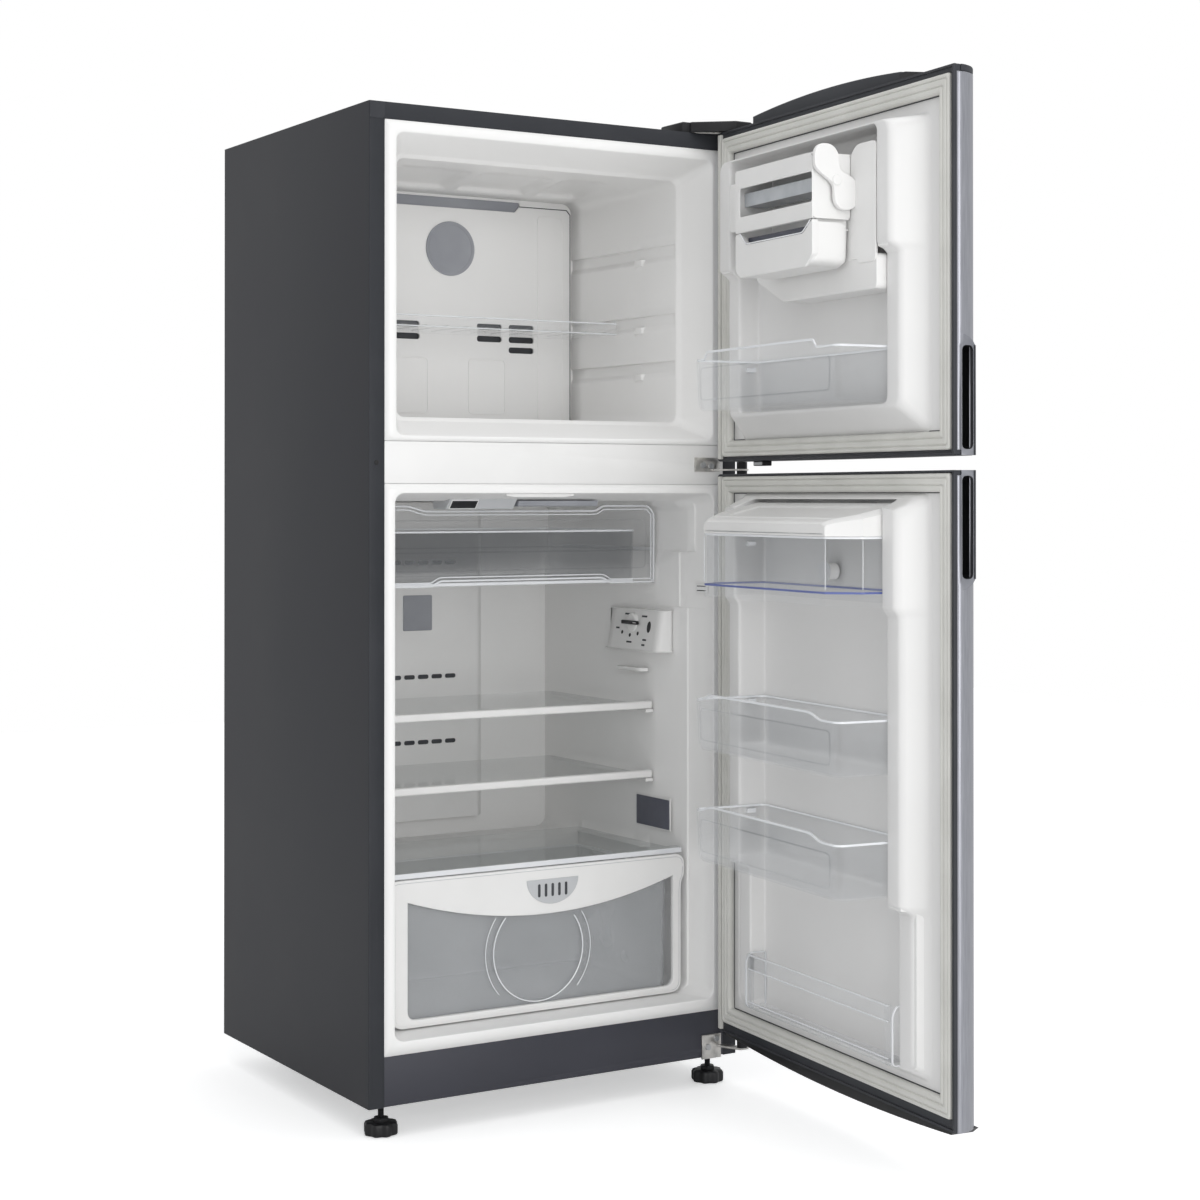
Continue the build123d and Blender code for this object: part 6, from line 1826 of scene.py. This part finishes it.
@dataclass
class FreezerDoor(Door):
    """Upper door with its bin and the ice maker."""

    name: ClassVar[str] = "freezer"
    low: float = 1070.8
    high: float = 1633.0
    skin_low: float = 1078.3
    skin_high: float = 1621.7
    border_low: float = 7.4
    border_high: float = 10.9
    foot: Span = (1106.0, 1573.0)
    crest: Span = (1143.0, 1565.0)
    pocket: Span = (1149.0, 1562.0)
    handle: Span = (1070.8, 1245.8)
    slot: Span = (1079.5, 1228.8)
    ice: Span = (-152.0, 82.0)
    ice_front: float = 115.0
    ice_back: float = 48.0

    def rise(self, v: float, dv: float) -> float:
        """Raised frame: deeper beside the ice maker."""
        return 30.0 + 18.0 * step_up(v, 1378, 18)

    def marks(self) -> list[float]:
        """Heights at which the raised frame changes."""
        return [1378 + e for e in (-9, -6, -3, 0, 3, 6, 9)]

    def caps(self) -> None:
        """Top cap with its crown, and the bottom cap."""
        shape = self.shape()
        self.slab(shape, (1622.1, 1632.9), Ink.CAP, bevel=2.6)
        self.slab(shape, (1070.9, 1077.9), Ink.CAP, bevel=1.6)
        arc = self.bend((253, 1648), (-0.5, 1657.5), (-190, 1648), 24)
        crown = [(-276, 1632), (253, 1632), (253, 1648), *arc[:-1], (-190, 1648)]
        shape.plate(crown, (-56, -14.2), Ink.CAP, bevel=2.0)
        # Black triangle for the shaded recess in the crown, with a cap-coloured border: painted shade.
        recess = [(-262, 1633.6), (-196, 1633.6), (-188, 1644), (-206, 1644)]
        shape.plate(rounded(recess, 3), (-14.6, -13.9), Ink.BLACK, bevel=0.2)
        shape.plate(shrunk(rounded(recess, 3), -1.6), (-14.7, -13.8), Ink.CAP, holes=[rounded(recess, 3)],
                    bevel=0.2)
        shape.lathe([(0.5, 0), (4.2, 0), (4.6, 0.8), (3.6, 2.2), (0.5, 2.5)], (-268, -26, 1632.9), Axis.UP,
                    Ink.ZINC, 20)
        shape.box((221, 253), (-33, -15), (1062.5, 1071), Ink.BLACK, 1.6)
        shape.box((223, 251), (-17, -14.6), (1064, 1069), Ink.SHADE, 0.6)
        self.finish(shape, "freezer_end_caps", "freezer_door_caps")

    def fittings(self) -> None:
        """Bin, ice maker, its lever and the ice bin."""
        self.bin("freezer_bin_clear", "freezer_door_bin", (1151, 1235), 12.0, 1216.0, 13.0)
        self.ice_maker()
        self.lever()
        self.ice_bin()

    def ice_maker(self) -> None:
        """Housing with its two windows' frame, side plates, wings and chute."""
        x0, x1 = self.ice
        front, back = self.ice_front, self.ice_back
        shape = self.shape()
        mask = [tuple(p) for p in soften_path(
            [(x0, 1470), (x0, 1426.2), (x1, 1426.2), (x1, 1524.8), (x0, 1524.8), (x0, 1470)],
            [0, 5, 5, 5, 15, 0], 6)][:-1]
        shape.plate(mask, (front - 3, front), Ink.MOULDED,
                    holes=[rect((x0 + 1.6, x1 - 13), (1451, 1496), 5, 4)], bevel=0.9)
        shape.box((x0, x1), (back + 0.4, front - 1), (1521.8, 1524.8), Ink.MOULDED, 1.2)
        for x in (x0, x1 - 3):
            side = rect((back + 0.4, front - 2), (1426.4, 1524), 6)
            shape.plate(side, (x, x + 3), Ink.MOULDED, Axis.ACROSS, bevel=0.8)
        shape.box((x0 + 3, x1 - 3), (back + 1, back + 8), (1426.2, 1429), Ink.MOULDED, 0.8)
        shape.box((x0 + 3, x1 - 3), (front - 8, front - 2), (1426.2, 1429), Ink.MOULDED, 0.8)
        plate = [(-220.6, 1359), (-168, 1359), (-168, 1420), (-156, 1426), (-152, 1440), (-152, 1524.8),
                 (-168, 1538), (-220.6, 1538)]
        shape.plate(rounded(plate, 10, 5), (back - 4, back), Ink.MOULDED, bevel=1.2)
        shape.plate(rect((-220.6, 220.6), (1446, 1524.8), 8, 5), (back - 4, back - 0.5), Ink.MOULDED,
                    bevel=1.0)
        shape.plate(rect((-220.6, 80), (1366, 1450), 4, 3), (back - 4, back - 0.5), Ink.MOULDED, bevel=0.8)
        for x in (-220.6, 79):
            shape.box((x, x + 3), (self.floor + 0.4, back - 2), (1446, 1524.6), Ink.MOULDED, 0.8)
        top = [(-220.6, 1318.4), (51, 1318.4), (135, 1358.4), (135, 1371.8), (-220.6, 1371.8)]
        shape.plate(rounded(top, 9, 5), (self.floor + 0.4, 46), Ink.MOULDED, bevel=2.2)
        for web, foot in (((x0 + 9, x0 + 10.5), (x0 + 4.4, x0 + 10.5)),
                          ((x1 - 10.5, x1 - 9), (x1 - 10.5, x1 - 4.4))):
            shape.box(web, (back + 1.5, front - 12.5), (1410.2, 1428), Ink.MOULDED, 0.5)
            shape.box(foot, (back + 1.5, front - 12.5), (1410.2, 1412.8), Ink.MOULDED, 0.6)
        self.finish(shape, "ice_maker_housing", "ice_maker_frame")

    def lever(self) -> None:
        """S-shaped lever on the tray shaft."""
        n, z = 80.0, 1483.0
        outline = [(88, 1537), (108, 1537), (118, 1527), (118, 1500), (84, 1477), (84, 1452), (74, 1439),
                   (54, 1439), (42, 1450), (42, 1478), (52, 1490), (74, 1498), (76, 1525)]
        shape = self.shape()
        smooth = rounded(outline[::-1], 9, 5)
        shape.plate(smooth, (-165, -156.4), Ink.MOULDED, Axis.ACROSS, bevel=2.2)
        shape.lathe([(0.5, 0), (7.5, 0), (8, -0.8), (7, -2), (0.5, -2.2)], (n, z, -164.8), Axis.ACROSS,
                    Ink.MOULDED, 24)
        self.finish(shape, "ice_lever_white", "ice_lever")

    def ice_bin(self) -> None:
        """White bin under the trays, its front notched."""
        x0, x1 = self.ice
        front = self.ice_front
        low = [(x0 + 22, 1355.2), (x1 - 14, 1355.2), (x1, 1368), (x1, 1424.6), (x1 - 12, 1424.6),
               (x1 - 33, 1406), (x0 + 29, 1406), (x0 + 2, 1424.6), (x0, 1424.6), (x0, 1372)]
        outline = rounded(low, 5, 4)
        shape = self.shape()
        shape.plate(outline, (front - 11, front), Ink.MOULDED, bevel=1.8)
        walls = [(1355.4, x0 + 20, x1 - 20, 54, front - 3, 10), (1364, x0 + 2, x1 - 2, 51, front - 1.5, 10),
                 (1421.5, x0 + 0.4, x1 - 0.4, 50.4, front - 1, 10)]

        def shift(spot: Spot) -> tuple[float, float]:
            """Round the upper rear corners, and dip the front wall behind the notch."""
            u, v, w, _, dv = spot
            near = min(1.0, max(0.0, 20.0 - (v - 50.4)) / 20.0)
            fall = (1.0 - math.sqrt(1.0 - near * near)) * 20.0
            notch = 15.5 * hump(u, x0 + 17, x1 - 24, 18) if v > 80 and dv > 0.9 else 0.0
            return 0.0, -(fall + notch) if w > 1400 else 0.0

        stations = (spread_out(x0 + 12, x1 - 12, 4.5), spread_out(52, 72, 2.5))
        self.tub(shape, walls, 2.2, 3.0, shift, stations, Ink.MOULDED, Ink.MOULDED)
        for lip in ((x0 + 2.6, x0 + 8.4), (x1 - 8.4, x1 - 2.6)):
            shape.box(lip, (72, front - 11), (1413.4, 1415.8), Ink.MOULDED, 0.7)
        # Dark sheet behind the notch stands for the bin's shaded inside: painted shade.
        shape.box((x0 + 12, x1 - 16), (front - 16, front - 15), (1390, 1419), Ink.PLATE, 0.4)
        notch = [(x0 + 6, 1424.4), (x0 + 30, 1407.4), (x1 - 34, 1407.4), (x1 - 14, 1424.4)]
        # Bright line along the notch's edge: painted highlight.
        shape.rope([(x, front - 0.6, z) for x, z in soften_path(notch, [0, 5, 5, 0])], 1.1, Ink.RIM)
        self.finish(shape, "ice_bin_white", "ice_bin")


@dataclass
class FridgeDoor(Door):
    """Lower door with the water tank, two bins and the retainer."""

    name: ClassVar[str] = "fridge"
    low: float = 99.7
    high: float = 1049.4
    skin_low: float = 100.0
    skin_high: float = 1041.9
    border_low: float = 16.4
    border_high: float = 3.9
    foot: Span = (156.0, 1016.0)
    crest: Span = (166.0, 1009.0)
    pocket: Span = (168.0, 1007.0)
    floor: float = -20.0
    handle: Span = (876.0, 1049.4)
    slot: Span = (893.0, 1041.2)
    taper: int = -1
    tank_side: float = 70.0
    tank_front: float = 115.0
    tank_corner: float = 34.0
    lid_top: Outline = (
        (-20.0, 994.0), (-15.0, 1001.6), (0.0, 1001.6), (4.0, 1000.6),
        (98.0, 978.4), (104.0, 976.6), (112.0, 973.4), (115.0, 970.0),
    )

    def rise(self, v: float, dv: float) -> float:
        """Raised frame: deeper beside the tank, nearly flat beside the retainer and at both ends."""
        sides = 9.0 + 21.0 * step_up(v, 402, 18) + 9.0 * step_up(v, 840, 16)
        return sides + (6.0 - sides) * abs(dv)

    def marks(self) -> list[float]:
        """Heights at which the raised frame changes."""
        return around((402, 840), (-9, -6, -3, 0, 3, 6, 9))

    def caps(self) -> None:
        """Top cap, and the bottom cap with its arched skirt."""
        shape = self.shape()
        self.slab(shape, (1042.2, 1049.3), Ink.CAP, bevel=1.6)
        arc = self.bend((-320, 89.7), (0, 78.2), (320, 89.7), 24)
        skirt = [(348, 99.6), (-334, 99.6), (-320, 89.7), *arc, (348, 89.7)]
        shape.plate(skirt, (-56, -14.2), Ink.BLACK, bevel=2.0)
        self.finish(shape, "fridge_end_caps", "fridge_door_caps")

    def fittings(self) -> None:
        """Tank, lid, bins and retainer."""
        self.bin("upper_bin_clear", "door_bin_upper", (599, 682), 10.0, 669.0, 42.0)
        self.bin("lower_bin_clear", "door_bin_lower", (418, 502), 10.0, 488.0, 42.0)
        self.tank()
        self.lid()
        self.retainer()

    def tank_plan(self, inset: float) -> list[Flat]:
        """Outline of the tank seen from above.

        Args:
            inset: How far it is shrunk.

        Returns:
            list[Flat]: The outline.
        """
        half = self.pocket_half - self.gap - inset
        back = self.floor + self.gap + inset
        side, front = self.tank_side - inset * 0.4, self.tank_front - inset
        slant = half - self.tank_corner
        corners = [(-half, back), (half, back), (half, side), (slant, front), (-slant, front), (-half, side)]
        return rounded(corners, 5, 4)

    def tank(self) -> None:
        """Clear tank with its blue band, skirt and round valve."""
        shape = self.shape()
        skins = (
            (((849.2, 1.2), (850.4, 0.2), (866.8, 0.2), (867.4, 0.9)), Ink.CLEAR, False),
            (((867.4, 0.9), (867.8, 0.1), (870.2, 0.1), (870.6, 0.9)), Ink.BLUE, False),
            (((870.6, 0.9), (871.4, 0.3), (948.6, 0.3)), Ink.CLEAR, False),
            # The tank's rim in the highlight finish: painted highlight.
            (((948.6, 0.3), (951.8, 0.3), (951.8, 3.0), (948.6, 3.0)), Ink.RIM, False),
            (((948.6, 3.0), (872, 3.0), (869, 4.6)), Ink.CLEAR, True),
        )
        for levels, ink, closed in skins:
            loops = [[(x, n, z) for x, n in self.tank_plan(inset)] for z, inset in levels]
            shape.skin(loops, ink, (False, closed))
        shape.lathe([(0.5, -1), (12.6, -1), (13, -2.4), (13, -20), (12, -22), (6, -22), (5.5, -20),
                     (0.5, -20)],
                    (-6, 894, 6), Axis.DEPTH, Ink.MOULDED, 32)
        shape.lathe([(13.6, -0.9), (17.6, -0.9), (17.8, -1.6), (16.8, -2.4), (13.6, -2.4)], (-6, 894, 6),
                    Axis.DEPTH, Ink.SHADE, 32)
        # Lugs in the highlight finish, and bright lines down the tank's corners: painted highlight.
        for end in (-1, 1):
            shape.box(between(end * (self.pocket_half - 7.4), end * (self.pocket_half - 0.5)), (1.6, 17),
                      (929.5, 937), Ink.RIM, 1.0)
            corner = self.pocket_half - self.gap - self.tank_corner
            shape.rope([(end * corner, 114.0, z) for z in (874, 900, 947)], 0.5, Ink.RIM)
            shape.rope([(end * (self.pocket_half - 1.3), 69.4, z) for z in (874, 900, 947)], 0.5, Ink.RIM)
        self.finish(shape, "water_tank_clear", "water_tank")

    def lid_height(self, n: float) -> float:
        """Height of the lid's top."""
        return along(n, self.lid_top)

    def lid_half(self, n: float) -> float:
        """Half the lid's width."""
        slope = self.tank_corner / (self.tank_front - self.tank_side)
        return self.pocket_half - self.gap - max(0.0, n - self.tank_side) * slope

    def lid(self) -> None:
        """Sloping lid with its front lip, recess and two dark slots."""
        shape = self.shape()
        marks = around((-15, 0, 4, 98, 104, 112), (-0.8, 0.8))
        marks += around((22, 84), (-3, -1.5, 0, 1.5, 3))
        marks += around((94, 109), (-1, 0, 1))
        back, front, low = -19.6, self.tank_front, 952.4
        ns = spread_out(back, front, 12, [*marks, self.tank_side])
        creases = around((-0.96, -0.78, 0.78, 0.96), (-0.014, -0.007, 0, 0.007, 0.014))
        us = spread_out(-1, 1, 0.1, creases)

        def wide(n: float, t: float) -> float:
            """Half width at a share of the height, with the upper edge cut back."""
            return self.lid_half(n) - 45.0 * max(0.0, t - 0.8)

        def upright(u: float, n: float, t: float) -> Point:
            """Point of a side wall at a share of the height."""
            return (u * wide(n, t), n, low + t * (self.lid_height(n) - low))

        def top(u: float, n: float) -> Point:
            """Point of the top surface."""
            recess = 2.6 * hump(u, -0.78, 0.78, 0.028) * hump(n, 22, 84, 6)
            groove = 1.4 * hump(u, -0.96, 0.96, 0.02) * hump(n, 94, 109, 2)
            return (u * wide(n, 1.0), n, self.lid_height(n) - recess - groove)

        shape.sheet(us, ns, top, Ink.MOULDED)
        rows = (0, 0.8, 1)
        for n in (front, back):
            shape.sheet(us, rows, lambda u, t, n=n: upright(u, n, t), Ink.MOULDED)
        for end in (-1, 1):
            shape.sheet(ns, rows, lambda n, t, end=end: upright(end, n, t), Ink.MOULDED)
        shape.sheet(us, ns, lambda u, n: (u * self.lid_half(n), n, low), Ink.MOULDED)
        for x in (-96, 96):
            shape.plate(rect((x - 34, x + 34), (-14, -5), 3, 3), (1001.4, 1002), Ink.SHADOW, Axis.UP,
                        bevel=0.15)
        shape.box((-self.lid_half(front) + 6, self.lid_half(front) - 6), (114.4, front), (955, 957),
                  Ink.SHADE, 0.3)
        self.finish(shape, "tank_lid_white", "tank_lid")

    def retainer(self) -> None:
        """Clear retainer: thick top rail, thin lower rail and two end plates."""
        low, high = 168.3, 258.0
        half = self.pocket_half - self.gap
        shape = self.shape()
        shape.box((-half + 10, half - 10), (13.6, 20), (high - 26, high), Ink.CLEAR, 2.6, 3)
        # Bright lines along the top and lower rails: painted highlight.
        for z in (high - 25, high - 1.8):
            shape.box((-half + 12, half - 12), (18.4, 20.4), (z - 1.2, z + 1.2), Ink.RIM, 0.8)
        shape.box((-half + 10, half - 10), (14, 19.6), (low, low + 11), Ink.CLEAR, 2.0, 3)
        shape.box((-half + 12, half - 12), (18.2, 20), (low + 9, low + 11.4), Ink.RIM, 0.7)
        shape.box((-half + 21, half - 21), (-7.6, 4.6), (low, low + 9), Ink.CLEAR, 1.6)
        for end in (-1, 1):
            plate = rounded([(self.floor + 0.6, low), (19, low), (19.6, high - 14), (12, high),
                             (self.floor + 0.6, high)], 7)
            shape.plate(plate, between(end * (half - 4), end * half), Ink.CLEAR, Axis.ACROSS, bevel=1.0)
            # Rim round the clear end plate in the highlight finish: painted highlight.
            shape.plate(plate, between(end * (half - 4.4), end * (half - 0.1)), Ink.RIM, Axis.ACROSS,
                        holes=[shrunk(plate, 2.0)], bevel=0.7)
            post = rect(between(end * (half - 22), end * (half - 4)), (low, high), 6)
            shape.plate(post, (14, 19.6), Ink.CLEAR, bevel=1.0)
        self.finish(shape, "retainer_clear", "bottle_retainer")


@dataclass
class Body(Room):
    """Outside of the cabinet: feet and the small pieces on its face."""

    foot: Span = (313.0, 33.0)
    knob: Outline = ((0.3, 22.7), (1.4, 25.4), (4, 26.4), (16, 26.4), (19.6, 24.4), (21, 20.4), (21.2, 13))

    def build(self) -> None:
        """Make every piece."""
        self.feet()
        self.edges()

    def feet(self) -> None:
        """Knurled levelling feet on studs."""
        for side, name in ((-1, "left_foot"), (1, "right_foot")):
            x, n = side * self.foot[0], self.foot[1]
            loops = []
            for z, radius in self.knob:
                ring = []
                for step in range(96):
                    angle = 2 * math.pi * step / 96
                    reach = radius + (1.6 * math.cos(8 * angle) if radius > 20 else 0.0)
                    ring.append((x + reach * math.cos(angle), n + reach * math.sin(angle), z))
                loops.append(ring)
            shape = self.shape()
            shape.skin(loops, Ink.BLACK, (True, True))
            shape.lathe([(13, 0), (13, 5), (11.5, 6.5), (6, 6.5)], (x, n, 21), Axis.UP, Ink.BLACK, 6)
            threads = [(5.0 if i % 2 else 4.4, 6.4 + i * 0.75) for i in range(31)]
            shape.lathe(threads, (x, n, 21), Axis.UP, Ink.BLACK, 20)
            self.finish(shape, f"{name}_knob", name)

    def edges(self) -> None:
        """Corner clip and the small plug on the cabinet's face."""
        shape = self.shape()
        clip = rounded([(-349, 1607), (-326, 1607), (-323, 1612), (-323, 1633), (-349, 1633)], 3)
        shape.plate(clip, (-0.6, 0.6), Ink.CAP, bevel=0.3)
        shape.lathe([(0.5, -0.7), (3.6, -0.7), (4.2, -0.2), (4.2, 0.4)], (-337, 1065, 0), Axis.DEPTH,
                    Ink.BLACK, 20)
        self.finish(shape, "face_clips", "cabinet_wrapper", stands=False)


@dataclass
class Refrigerator:
    """Puts every visible piece of the refrigerator together."""

    shop: Workshop
    rows: Rows

    PAINTED: ClassVar[dict[str, Ink]] = {
        "freezer_door_foam": Ink.MOULDED,
        "fridge_door_foam": Ink.MOULDED,
        "evaporator": Ink.ZINC,
        "fan_motor": Ink.BLACK,
        "fan_blade": Ink.MOULDED,
        "compressor": Ink.BLACK,
        "compressor_grommets": Ink.BLACK,
        "base_pan": Ink.ZINC,
        "hinge_screws": Ink.ZINC,
        "hinge_bushings": Ink.BLACK,
        "ice_tray": Ink.TRAY,
    }
    SOFTENED: ClassVar[dict[str, tuple[Ink, float]]] = {
        "kick_plate": (Ink.KICK, 0.8),
        "mullion_rail": (Ink.MOULDED, 0.8),
        "rear_panel": (Ink.ZINC, 0.4),
        "hinge_brackets": (Ink.BRACKET, 0.5),
        "hinge_cover": (Ink.BLACK, 1.0),
        "left_roller": (Ink.BLACK, 1.0),
        "right_roller": (Ink.BLACK, 1.0),
    }

    def build(self) -> None:
        """Make every piece."""
        for node, ink in self.PAINTED.items():
            self.shop.paint(node, ink)
        for node, (ink, width) in self.SOFTENED.items():
            self.shop.soften(node, ink, width)
        # The wrapper's front flange takes the lighter copy of the graphite paint: painted light.
        self.shop.soften("cabinet_wrapper", Ink.GRAPHITE, 0.6, Ink.FLANGE)
        self.shop.recess("foam_insulation", Ink.MOULDED, 8.0)
        for room in (Body, FreezerRoom, FridgeRoom, FreezerDoor, FridgeDoor):
            room(self.shop, self.rows).build()


def main() -> None:
    """Build the studio and the refrigerator."""
    logging.basicConfig(level=logging.INFO)
    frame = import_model()
    palette = Palette()
    Studio(View(), palette)
    Refrigerator(Workshop(frame, palette), Rows()).build()


if __name__ == "__main__":
    main()
